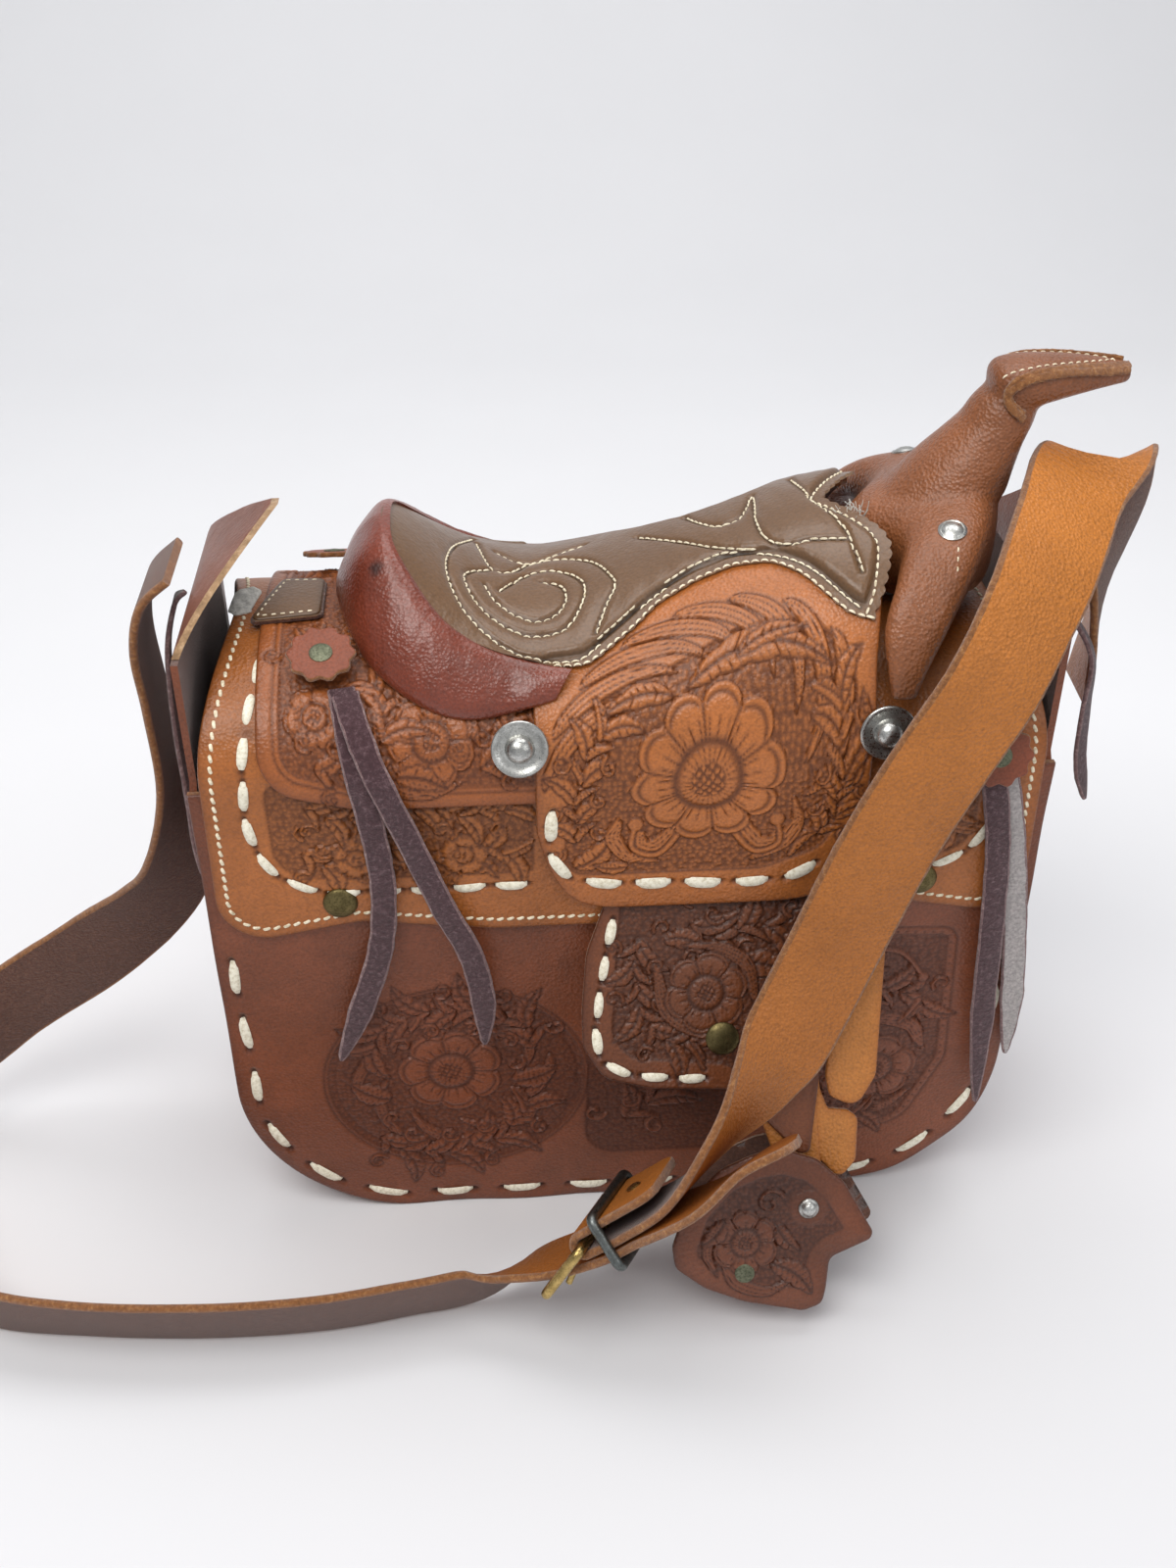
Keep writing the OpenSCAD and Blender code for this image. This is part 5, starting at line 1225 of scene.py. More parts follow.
def seat():
    nu, nv = 210, 250
    c = np.cos(np.linspace(0, math.pi, nv + 1))
    u, v = np.meshgrid(np.linspace(0, 1, nu + 1), 0.5 - 0.5 * c * (0.72 + 0.28 * c ** 2), indexing="ij")
    top = seat_point(u, v, SEAT_OFF + SEAT_T)
    up = unit(seat_point(u, v, SEAT_OFF + SEAT_T + 1) - top)
    tuck = np.exp(-np.linalg.norm(top - top[:1], axis=-1) / 5.0)
    top = top + tuck[..., None] * [-4.2, 0, 1.6]
    faces = grid_faces(nu, nv)
    flat = top.reshape(-1, 3)
    tree = BVHTree.FromPolygons(flat.tolist(), faces)
    runs = []
    for line in SEWN:
        hit = onto(tree, refine(line, 6))
        if len(hit) > 3:
            hit = resample(hit, 0.7, closed=False)
            runs.append(hit)
            far, cur = hit * [1, -1, 1], []
            for q in far:
                seen = tree.ray_cast(Vector(cam_at), Vector(unit(q - cam_at)))[3]
                if seen is None or seen < np.linalg.norm(q - cam_at) - 2.5:
                    cur.append(q)
                elif len(cur) > 6:
                    runs.append(np.array(cur))
                    cur = []
            if len(cur) > 6:
                runs.append(np.array(cur))
    edge = np.concatenate([top[:, 0], top[-1, 1:], top[::-1, -1][1:], top[0, ::-1][1:]])
    kd = kdtree.KDTree(sum(len(r) for r in runs))
    n = 0
    for r in runs:
        for p in r:
            kd.insert(Vector(p), n)
            n += 1
    kd.balance()
    rim = kdtree.KDTree(len(edge) - nv)
    for i, p in enumerate(edge[:-nv]):
        rim.insert(Vector(p), i)
    rim.balance()
    d = np.array([kd.find(Vector(p))[2] for p in flat])
    e = np.array([rim.find(Vector(p))[2] for p in flat])
    s = travelled(edge)
    wrinkle = 0.12 * np.sin(flat[:, 0] * 0.9 + 3 * np.sin(flat[:, 1] * 0.11)) * np.exp(-d / 6)
    puffed = 0.55 * (1 - np.exp(-d / 3.2)) - 1.0 * np.exp(-(d / 0.95) ** 2) + wrinkle
    lip = smooth((e - 2.2) / 5.0)
    row = -0.7 * np.exp(-((e - 4.2) / 0.8) ** 2)
    h = -1.75 + 1.7 * lip + puffed * lip + row
    flat = flat + up.reshape(-1, 3) * h[:, None]
    grid = flat.reshape(top.shape)
    # Pinked edge
    inner_ring = np.concatenate([top[:, 3], top[-4, 1:], top[::-1, -4][1:], top[3, ::-1][1:]])
    out = unit(edge - inner_ring)
    push = 1.0 * np.abs(np.sin(math.pi * s / 4.6)) - 0.7
    push[-nv:] = 0
    pos = (np.concatenate([grid[:, 0], grid[-1, 1:], grid[::-1, -1][1:], grid[0, ::-1][1:]])
           + out * push[:, None])
    a, b = nu + 1, nu + 1 + nv
    grid[:, 0], grid[-1, 1:], grid[::-1, -1][1:], grid[0, ::-1][1:] = (pos[:a], pos[a:b], pos[b:b + nu],
                                                                       pos[b + nu:])
    under = grid - up * 1.1
    m = (nu + 1) * (nv + 1)
    verts = np.vstack([grid.reshape(-1, 3), under.reshape(-1, 3)])
    faces += grid_faces(nu, nv, m, True)
    index = [0] * (nu * nv) + [1] * (nu * nv)
    ids = np.arange(m).reshape(nu + 1, nv + 1)
    loop = np.concatenate([ids[:, 0], ids[-1, 1:], ids[::-1, -1][1:], ids[0, ::-1][1:-1]])
    for k in range(len(loop)):
        i, j = int(loop[k]), int(loop[(k + 1) % len(loop)])
        faces.append([i, j, m + j, m + i])
        index.append(2)
    # Painted shade: the seat is darker in the dips along its sewn lines and in the groove below the lip at
    # its edge
    o = make_mesh("seat_cover", verts, faces, [VINYL, SUEDE, TONGUE], index,
                  {"dark": np.concatenate([0.7 * np.exp(-(d / 0.7) ** 2)
                                           + 0.5 * np.exp(-((e - 4.2) / 0.8) ** 2), 0 * e]),
                   "rim": np.zeros(2 * m)})
    me = o.data
    if me.polygons[nu * nv // 2 + nv // 2].normal.z < 0:
        me.flip_normals()
    place_piece(o, "saddle", "seat_vinyl", "seat")
    tree = BVHTree.FromPolygons(verts[:m].tolist(), grid_faces(nu, nv))
    parts = Parts()
    for r in runs:
        skin_stitches(parts, tree, r, 2.9, 2.75, 0.72, 0.4, 0.15)
    ring = np.concatenate([grid[:, 6], grid[-7, 7:-6], grid[::-1, -7]])
    skin_stitches(parts, tree, ring, 3.1, 2.6, 0.85, 0.44, 0.2)
    place_piece(parts.build("seat_stitching", [CREAM]), "saddle", "lacing")


# Cantle: the CAD loft read finely, with creases over its front and a nail mark
RIM = [[1, 47.5], [0.74, 52], [0.48, 55.2], [0.28, 60], [0.13, 68.5], [0.02, 78], [0, 90]]
FOOT = [[0.9, 37], [0.64, 32.3], [0.36, 31], [0.1, 39], [-0.13, 55], [-0.235, 72], [-0.31, 90]]
THICK = [[0.3], [0.5], [0.7], [0.85], [0.95], [1], [1]]


def cantle_point(table, s, off, base):
    q = at_share(table, s * 2 if s <= 0.5 else 2 - s * 2)
    x = CANTLE_X + CANTLE_REACH * q[0]
    turn = q[1] if s <= 0.5 else 180 - q[1]
    y, z = arch(turn, off, CROWN if base else saddle_rise(x))
    return np.array([x, float(y), float(z)])


def cantle():
    n, rings = 36, []
    for s in np.linspace(0, 1, 150):
        rim = cantle_point(RIM, s, SEAT_OFF + SEAT_T, False)
        foot = mix(cantle_point(FOOT, s, SEAT_OFF + GAP, False), cantle_point(FOOT, s, OVER_OFF, True),
                   smooth((min(s, 1 - s) - 0.05) / 0.06))
        ahead = (cantle_point(RIM, min(1, s + 0.02), SEAT_OFF, False)
                 - cantle_point(RIM, max(0, s - 0.02), SEAT_OFF, False))
        c, a = (rim + foot) / 2, (rim - foot) / 2
        f = s if s <= 0.5 else 1 - s
        out = unit(np.cross(a, ahead)) * CANTLE_HALF * at_share(THICK, f * 2)[0]
        ring = []
        for k in range(n):
            q = k * 2 * math.pi / n
            lift = max(0, math.sin(q)) ** 0.8 * 1.2
            crease = sum(0.6 * math.exp(-((f - fc) / 0.006) ** 2)
                         * math.exp(-((math.cos(q) - mc) / 0.45) ** 2)
                         for fc, mc in ((0.185, 0.3), (0.2, -0.2), (0.255, 0.1), (0.27, 0.5),
                                        (0.13, -0.1)))
            wave = (0.16 * math.sin(s * 75 + 3 * math.cos(q * 1.3)) + 0.14 * math.sin(s * 31)
                    + 0.1 * math.sin(s * 140 - 6 * math.cos(q)) * (0.08 < f < 0.36))
            ring.append(c + a * math.cos(q) + out * (lift + (wave - crease) / CANTLE_HALF * (lift > 0.3)))
        rings.append(ring)
    parts = Parts()
    parts.tube(rings)
    o = parts.build("cantle_leather", [CANTLE], 60)
    co = np.vstack(parts.v)
    hit = onto(BVHTree.FromPolygons(co.tolist(), parts.f), [NAIL_MARK])[0]
    mark = np.exp(-(np.linalg.norm(co - hit, axis=1) / 2.6) ** 4)
    set_values(o.data, "dark", mark)
    place_piece(o, "saddle", "cantle_leather", "cantle")


# Fork, horn neck and cap become one skin
FORK_LEFT, FORK_RIGHT = [[0.8], [0.78], [0.84], [0.87], [0.72]], [[0.885], [0.98], [1.09], [1.19], [1.25]]
FORK_LIFT, FORK_SINK = [[0.5], [0.8], [0.8], [0.6], [0.4]], [[0], [0.02], [0.3], [0.8], [1]]
NECK = [[-0.54, -0.955, 0.44], [-0.43, -0.74, 0.375], [-0.32, -0.57, 0.31], [-0.235, -0.45, 0.275],
        [-0.21, -0.4, 0.26], [-0.19, -0.33, 0.245], [-0.17, -0.24, 0.2]]
CAP = [[-0.32, -0.13, 0.02, 0.06], [-0.27, -0.14, 0.12, 0.17], [-0.1, -0.175, 0.185, 0.24],
       [0.1, -0.15, 0.16, 0.23], [0.32, -0.13, 0.13, 0.18], [0.52, -0.12, 0.095, 0.14],
       [0.68, -0.12, 0.07, 0.1]]
HORN_LEN, HORN_X, HORN_TOP = 45.0, FORK_X * 1.31, SHOULDER + SEAT_RISE + FORK_RISE + SEAT_OFF + 43


def fork():
    parts = Parts()
    rings = []
    for s in np.linspace(0, 1, 60):
        f = s * 2 if s <= 0.5 else 2 - s * 2
        turn = mix(20, 160, s)
        x0, x1 = FORK_X * at_share(FORK_LEFT, f)[0], FORK_X * at_share(FORK_RIGHT, f)[0]
        xm, half = (x0 + x1) / 2, (x1 - x0) / 2
        y, z = arch(turn, SEAT_OFF, saddle_rise(xm))
        cy, cz = arch(turn, JOCKEY_OFF, CROWN)
        sink = at_share(FORK_SINK, f)[0]
        low = np.array([xm, mix(y, cy, sink), mix(z, cz, sink)])
        y, z = arch(turn, SEAT_OFF - GAP + 10 * at_share(FORK_LIFT, f)[0], saddle_rise(xm))
        high = np.array([xm, y, z])
        lean = 0.3 * half * math.sin(math.pi * s) ** 4
        ring = []
        for k in range(28):
            a = k * 2 * math.pi / 28
            c, q = (math.copysign(abs(w) ** 0.65, w) for w in (math.cos(a), math.sin(a)))
            q = (q + 1) / 2
            ring.append(mix(low, high, q) + [half * c, 0, lean * c * q])
        rings.append(ring)
    parts.tube(rings)
    rings = []
    for s in np.linspace(0, 1, 14):
        p = at_share(NECK, s)
        rings.append([[HORN_X + HORN_LEN * p[0] + HORN_LEN * p[2] * math.cos(a),
                       HORN_LEN * p[2] * math.sin(a),
                       HORN_TOP + HORN_LEN * p[1]] for a in np.arange(24) * -math.pi / 12])
    parts.tube(rings)
    rings = []
    for s in np.linspace(0, 1, 26):
        p = at_share(CAP, s)
        ring = []
        for a in np.arange(24) * -math.pi / 12:
            c, q = math.cos(a), math.sin(a)
            ring.append([HORN_X + HORN_LEN * p[0], HORN_LEN * p[3] * math.copysign(abs(c) ** 0.8, c),
                         HORN_TOP + HORN_LEN * (p[1] + p[2] * math.copysign(abs(q) ** 0.8, q))])
        rings.append(ring)
    parts.tube(rings)
    o = parts.build("fork_leather", [FORK])
    mod = o.modifiers.new("skin", "REMESH")
    mod.mode, mod.voxel_size = "VOXEL", 0.0011
    ev = o.evaluated_get(bpy.context.evaluated_depsgraph_get())
    me = bpy.data.meshes.new_from_object(ev)
    o.modifiers.clear()
    co = np.zeros(len(me.vertices) * 3)
    me.vertices.foreach_get("co", co)
    co = co.reshape(-1, 3)
    edges = np.zeros(len(me.edges) * 2, np.int32)
    me.edges.foreach_get("vertices", edges)
    edges = edges.reshape(-1, 2)
    count = np.bincount(edges.ravel(), minlength=len(co))[:, None]
    for _ in range(7):
        acc = np.zeros_like(co)
        np.add.at(acc, edges[:, 0], co[edges[:, 1]])
        np.add.at(acc, edges[:, 1], co[edges[:, 0]])
        co = co * 0.4 + acc / count * 0.6
    q = co / MM
    foot = np.exp(-np.abs(q[:, 2] - 203) / 3.0) * (q[:, 2] < 206)
    me.vertices.foreach_set("co", co.ravel())
    set_values(me, "dark", 0 * foot)
    set_values(me, "rim", foot)
    me.polygons.foreach_set("use_smooth", np.ones(len(me.polygons), bool))
    if not me.materials:
        me.materials.append(FORK)
    o.data = me
    place_piece(o, "saddle", "fork_leather", "fork", "horn")
    return BVHTree.FromPolygons(q.tolist(), [list(p.vertices) for p in me.polygons])


def nearest(tree, p):
    hit, n, _, _ = tree.find_nearest(Vector(p))
    return np.array(hit), np.array(n)


def skin_run(tree, points, step=0.8):
    """Photo places carried onto the fork's skin, with their outward normals."""
    hit = resample(onto(tree, refine(points, 8)), step, closed=False)
    at = [nearest(tree, p) for p in hit]
    return np.array([p for p, n in at]), np.array([n for p, n in at])


def horn_trim(tree):
    """A double suede edge from the horn's tip down under its cap, and rows of stitches on horn and fork."""
    parts = Parts()
    for drop, thick in ((0.0, 1.5), (1.5, 1.5)):
        c, n = skin_run(tree, [(x, y + drop * 3) for x, y in HORN_BAND])
        t = headings(c)
        w = np.cross(n, t)
        for flip in (1, -1):
            f = np.array([1, flip, 1])
            strap(parts, (c + n * (0.5 + drop * 0.2)) * f, w * f, 2.6, thick, bands=(0, 0, 0),
                  wobble=0.25)
    place_piece(parts.build("horn_edge", [EDGE]), "saddle", "fork_leather")
    parts = Parts()
    for line in HORN_SEAMS:
        c, n = skin_run(tree, line, 0.5)
        at, along = row_of(c, 2.7)
        for p, t in zip(at, along):
            hit, m = nearest(tree, p)
            for flip in (1, -1):
                f = np.array([1, flip, 1])
                parts.stitch((hit + m * 0.06) * f, t * f, m * f, 2.0, 0.6, 0.32, 0.15, 5, 4)
    place_piece(parts.build("horn_stitching", [CREAM]), "saddle", "lacing")


def seat_lap():
    x1 = CANTLE_X - CANTLE_REACH * 0.31 - CANTLE_HALF - GAP * 4
    t0, t1 = t_of_turn(79), t_of_turn(101)
    out = rounded([[-0.885 * LID, t0 - 2], [x1, t0 + 0.5], [x1, t1 - 0.5], [-0.82 * LID, t1]], 2)
    o = sheet("seat_lap_cover", out, CROWN_AT, OVER_OFF, 2.0, [VINYL, SUEDE, TONGUE], None, 1.2, roll=0.7)
    place_piece(o, "saddle", "seat_vinyl", "seat_lap")
    parts = Parts()
    for run in inset_run(out, 1.8, lambda q: q[:, 0] < x1 - 2):
        sewn(parts, CROWN_AT, OVER_OFF + 1.9, run, 2.9, 2.3, 0.65, 0.3, 0.05)
    place_piece(parts.build("seat_lap_stitching", [CREAM]), "saddle", "lacing")
    ragged = out + rng.uniform(-0.4, 0.4, out.shape)
    o = sheet("seat_lap_edge", (ragged - ragged.mean(0)) * 1.05 + ragged.mean(0), CROWN_AT,
              OVER_OFF - 0.2, 1.2, [DARK_EDGE, SUEDE, DARK_EDGE], None, 2.0, roll=0.4)
    place_piece(o, "saddle", "jockey_leather")


def lining():
    """A crumpled end of lining at the lid's left ridge."""
    t0, t1 = t_of_turn(84), t_of_turn(106)
    out = rounded([[-0.945 * LID, t0 - 1], [-0.89 * LID, t0 + 4], [-0.875 * LID, t1 - 4],
                   [-0.94 * LID, t1]], [3, 2, 2, 4])
    def crumple(p, near):
        h = (0.9 * np.abs(np.sin(p[:, 0] * 0.5 + p[:, 1] * 0.33))
             + 0.6 * np.abs(np.sin(p[:, 0] * 0.21 - p[:, 1] * 0.62)))
        return h * smooth(near / 2.5), np.zeros(len(p))
    o = sheet("lining_end", out + rng.uniform(-0.5, 0.5, out.shape), CROWN_AT, FLAP_OFF + FLAP_T + 0.05,
              0.6, [LINING, LINING, LINING], crumple, 0.9, roll=0.4)
    place_piece(o, "saddle", "seat_vinyl")


def tuft(tree):
    """A tuft of fleece behind the fork."""
    hit = onto(tree, [FLEECE])
    if len(hit) == 0:
        return
    parts = Parts()
    r = np.random.RandomState(3)
    base = hit[0] + [-6, -2, 0]
    for _ in range(46):
        a = base + r.uniform(-1, 1, 3) * [5, 5, 1.2]
        d = unit([r.uniform(-1, 0.4), r.uniform(-0.8, 0.6), r.uniform(0.1, 0.8)])
        bend = r.uniform(-1, 1, 3) * 1.2
        rod(parts, refine([a, a + d * 2.2 + bend * 0.3, a + d * 4.2 + bend], 4), 0.14, sides=4)
    place_piece(parts.build("fleece_tuft", [LINING]), "saddle", "lacing")


# Hanging leathers. Shares: place along the bag, place down the fender
def shares(table):
    return np.array([[x * LID, -d * FENDER_LEN] for x, d in table])


FENDER_OUT = rounded(shares([[-0.06, -0.12], [-0.06, 0], [-0.105, 0.14], [-0.12, 0.32], [-0.12, 0.43],
                             [-0.07, 0.53], [0.05, 0.57],
                             [0.26, 0.585], [0.42, 0.8], [0.45, 0.8], [0.49, 0.42], [0.53, 0],
                             [0.53, -0.12]]),
                     [0, 0, 20, 20, 6, 8, 20, 8, 2, 2, 20, 0, 0])
FENDER_ROW = refine(shares([[-0.032, 0.02], [-0.055, 0.14], [-0.078, 0.3], [-0.083, 0.42],
                            [-0.045, 0.495], [0.05, 0.53], [0.2, 0.545]]), 8)
fender_row = row_of(FENDER_ROW, 12.5)


def fender_relief(p, near):
    t = Tooling(p, 0.75, 0.8)
    field = rounded(shares([[0.0, -0.2], [-0.03, 0.15], [-0.045, 0.4], [0.0, 0.47], [0.24, 0.5],
                            [0.4, 0.64], [0.43, 0.4], [0.47, -0.2]]), [0, 8, 6, 8, 10, 4, 12, 0])
    t.ground(edge_distance(p, resample(field, 2.0)))
    t.spray([[4, -6], [2, -26], [8, -44], [24, -50]], 13, 51)
    t.spray([[16, -4], [30, -12], [46, -8], [58, -16]], 15, 52)
    t.leaf([34, -22], [58, -30], 5, 0.16)
    t.leaf([40, -40], [56, -58], 5, -0.14)
    t.leaf([12, -12], [26, -18], 4, 0.2)
    t.flutes([[8, -20], [10, -38], [24, -47], [38, -44]], 5.5, 4)
    t.flutes([[44, -36], [42, -20], [30, -13], [18, -14]], 5, 4)
    t.flower([26, -31], 14.5, 0.3, 6)
    t.curl([50, -44], 6, 1.0, 1.0, 1.2)
    t.holes(fender_row, 4.6, (1.4, 1.1))
    groove = np.exp(-((near - 2.2) / 0.5) ** 2) * (p[:, 1] < 0)
    t.h -= 0.2 * groove
    return t.h, t.dark


LEATHER_ONE = shares([[0.27, 0.3], [0.33, 0.7], [0.385, 0.9], [0.385, 1.04], [0.485, 1.04], [0.485, 0.9],
                      [0.455, 0.3]])
LEATHER_TWO = shares([[0.45, 0.3], [0.463, 0.66], [0.47, 0.82], [0.53, 0.9], [0.572, 0.84], [0.578, 0.7],
                      [0.55, 0.675], [0.5, 0.668], [0.48, 0.6], [0.47, 0.3]])
STIRRUP_OUT = rounded(shares([[0.088, 1.06], [0.125, 0.93], [0.21, 0.82], [0.3, 0.775], [0.38, 0.765],
                              [0.46, 0.8],
                              [0.53, 0.88], [0.61, 1.06], [0.49, 1.12], [0.48, 1.22], [0.47, 1.27],
                              [0.42, 1.29], [0.27, 1.25],
                              [0.17, 1.2], [0.095, 1.13]]), [5, 12, 12, 12, 8, 8, 12, 3, 4, 3, 4, 4, 12,
                                                             12, 5])
LATIGO_OUT = rounded(shares([[0.55, -0.1], [0.55, 0], [0.49, 0.55], [0.5, 0.62], [0.57, 0.66],
                             [0.62, 0.56], [0.655, 0], [0.655, -0.1]]), [0, 20, 4, 3, 5, 5, 20, 0])
BOLT = (0.435 * LID, -0.95 * FENDER_LEN)


def stirrup_relief(p, near):
    t = Tooling(p, 0.65, 0.75)
    t.h += 1.2 * (1 - np.exp(-near / 5)) - 1.1
    t.ground(near - 8.5)
    t.flutes([[28, -124], [32, -134], [44, -138], [54, -132]], 4.5, 3)
    t.flutes([[24, -112], [22, -122], [27, -130]], 3.5, 3)
    t.flower([37, -118], 12, 0.5, 6)
    t.leaf([46, -126], [60, -138], 4.5, 0.12)
    t.leaf([30, -110], [22, -118], 3.5, 0.1)
    t.leaf([48, -112], [56, -122], 3.2, -0.1)
    t.curl([46, -104], 5, 0.4, 1.0, 0.9)
    i = np.linalg.norm(p - np.array(BOLT), axis=1)
    flat = smooth((7.5 - i) / 2)
    t.h = mix(t.h, 0.1, flat)
    t.dark = mix(t.dark, 0.15, flat)
    return t.h, t.dark


def stirrup(side, front):
    """A hooded shell: two faces and a wall round its toe and sole."""
    place = hang_place(side)
    mid = -GAP - 1.0
    parts = []
    for face in (1, -1):
        def at(x, t, off, face=face):
            return place(x + (0 if face > 0 else 3.2), t, mid + face * off)
        o = sheet("stirrup_face", STIRRUP_OUT, at, 8.0, 2.2, [STIRRUP, SUEDE, EDGE],
                  stirrup_relief if face > 0 else None, 0.62 if front and face > 0 else 1.3, roll=0.7)
        if face < 0:
            o.data.flip_normals()
        parts.append(o)
    edge = resample(STIRRUP_OUT, 1.0)
    wall = Parts()
    keep = [k for k in range(len(edge)) if not (0.1 * LID < edge[k, 0] < 0.62 * LID
                                                and edge[k, 1] > -1.07 * FENDER_LEN)
            and not (edge[k, 0] > 0.494 * LID and edge[k, 1] > -1.2 * FENDER_LEN)]
    runs, cur = [], []
    for k in list(range(len(edge))) + list(range(len(edge))):
        if k in keep:
            cur.append(k)
        else:
            if len(cur) > 12:
                runs.append(cur)
            cur = []
    run = max(runs, key=len)[:len(keep)]
    pts = edge[run]
    d = headings(pts)
    n = np.stack([-d[:, 1], d[:, 0]], -1)
    if (edge_distance(pts + n * 1.0, edge) < 0).mean() > 0.5:
        n = -n
    rings = []
    for k in range(len(pts)):
        a, b = pts[k] + n[k] * 0.5, pts[k] + n[k] * 2.4
        ys = np.linspace(-8.6, 8.6, 7)
        lean = 3.2 * (8.6 - ys) / 17.2
        rings.append([place(a[0] + x, a[1], mid + y) for x, y in zip(lean, ys)]
                     + [place(b[0] + x, b[1], mid + y) for x, y in zip(lean[::-1], ys[::-1])])
    wall.tube(rings, bands=[0] * 7 + [1] * 7)
    w = wall.build("stirrup_wall", [STIRRUP, SUEDE])
    return parts + [w]


def joined(objects, name):
    """One mesh out of several, keeping their materials and attributes."""
    for o in bpy.context.selected_objects:
        o.select_set(False)
    for o in objects:
        o.select_set(True)
    bpy.context.view_layer.objects.active = objects[0]
    bpy.ops.object.join()
    objects[0].name = name
    objects[0].select_set(False)
    return objects[0]


def hanging(side):
    place = hang_place(side)
    end = "front" if side < 0 else "back"
    step = 0.65 if side < 0 else 1.1
    o = sheet(end + "_fender_leather", FENDER_OUT, place, 0, JOCKEY_T, [FENDER, SUEDE, EDGE],
              fender_relief, step)
    place_piece(o, None, "fender_leather", end + "_fender")
    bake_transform(o)
    parts = Parts()
    laced(parts, place, JOCKEY_T, *fender_row, 8.6, 3.3, 0.95)
    place_piece(parts.build("fender_lace_" + end, [WHITE]), end + "_fender_body", "lacing",
                "fender_lacing_" + end)
    one = sheet("leather_one", rounded(LEATHER_ONE, [0, 15, 3, 0, 0, 3, 0]), place, -2.15, 1.9,
                [LATIGO, SUEDE, EDGE], None, 1.4)
    two = sheet("leather_two", rounded(LEATHER_TWO, [0, 8, 4, 3, 3, 3, 0, 0, 4, 0]), place, -2.45, 1.9,
                [LATIGO, SUEDE, EDGE], None, 1.4)
    place_piece(joined([one, two], "stirrup_straps_" + end), end + "_fender_body", "latigo_leather",
                "stirrup_leathers_" + end)
    o = sheet("latigo_strap_" + end, LATIGO_OUT, place, GAP, 2.0, [LATIGO, SUEDE, EDGE], None, 1.2)
    place_piece(o, None, "latigo_leather", "latigo_" + end)
    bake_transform(o)
    place_piece(joined(stirrup(side, side < 0), "stirrup_shell_" + end), end + "_stirrup_body",
                "stirrup_leather", "stirrup_" + end)
    parts, body = Parts(), Parts()
    def fitting(target, x, t, off, profile, idx):
        p = place(x, t, off)
        target.lathe(p, place(x, t, off + 1) - p, profile, idx)
    cap = [(5.75, -0.4), (5.75, 0.1), (5.5, 0.45), (4.6, 0.95), (3.0, 1.35), (1.4, 1.55), (0.2, 1.6)]
    fitting(parts, 0.23 * LID, -0.42 * FENDER_LEN, JOCKEY_T, cap, 0)
    rivet = [(3.3, -0.4), (3.3, 0.25), (2.9, 0.55), (1.6, 0.85), (0.2, 0.95)]
    fitting(parts, 0.38 * LID, -0.56 * FENDER_LEN, JOCKEY_T, rivet, 1)
    place_piece(parts.build("fender_fittings_" + end, [ANTIQUE, BRASS]), end + "_fender_body",
                "antique_brass", "fender_snaps_" + end)
    mid = -GAP - 1.0
    head = [(3.6, -0.3), (3.6, 0.5), (3.2, 0.9), (2.9, 1.0), (2.4, 1.8), (1.4, 2.5), (0.2, 2.7)]
    fitting(body, BOLT[0], BOLT[1], mid - 10.0, [(2.4, 0), (2.4, 20.0)], 0)
    fitting(body, BOLT[0], BOLT[1], mid + 10.1, head, 0)
    p = place(BOLT[0], BOLT[1], mid - 10.1)
    body.lathe(p, p - place(BOLT[0], BOLT[1], mid), head, 0)
    fitting(body, 0.27 * LID, -1.15 * FENDER_LEN, mid + 10.1,
            [(3.4, -0.3), (3.4, 0.3), (2.9, 0.6), (0.2, 0.75)], 1)
    place_piece(body.build("stirrup_fittings_" + end, [SILVER, GREEN]), end + "_stirrup_body", "silver",
                "stirrup_bolt_" + end)


# Saddle strings, rosettes and their rivets
STRING_W, STRING_T, STACK = 8.5, 1.6, 3.8
SEATS = [6.0, 4.3]
STRINGS = {"left": [([[-0.66, 0.03], [-0.645, 0.1], [-0.61, 0.3], [-0.592, 0.48], [-0.61, 0.66],
                      [-0.67, 0.84], [-0.735, 1]], 0),
                    ([[-0.65, 0.03], [-0.62, 0.1], [-0.54, 0.3], [-0.45, 0.54], [-0.39, 0.68],
                      [-0.364, 0.82], [-0.364, 0.957]], 1)],
           "right": [([[0.86, 0.02], [0.9, 0.22], [0.92, 0.45], [0.935, 0.75], [0.955, 1.05]], 1),
                     ([[0.89, 0.02], [0.94, 0.22], [0.98, 0.45], [1.01, 0.7], [1.02, 0.9]], 0)]}
ROSETTES = ((-0.705 * LID, 57.5), (0.87 * LID, 8))


def string_wall(z, off):
    k = np.maximum(0, 1 - (np.maximum(z - SHOULDER, 0) / (CROWN + off)) ** (2 / POWER))
    return -(HALF_D + off) * k ** (POWER / 2)


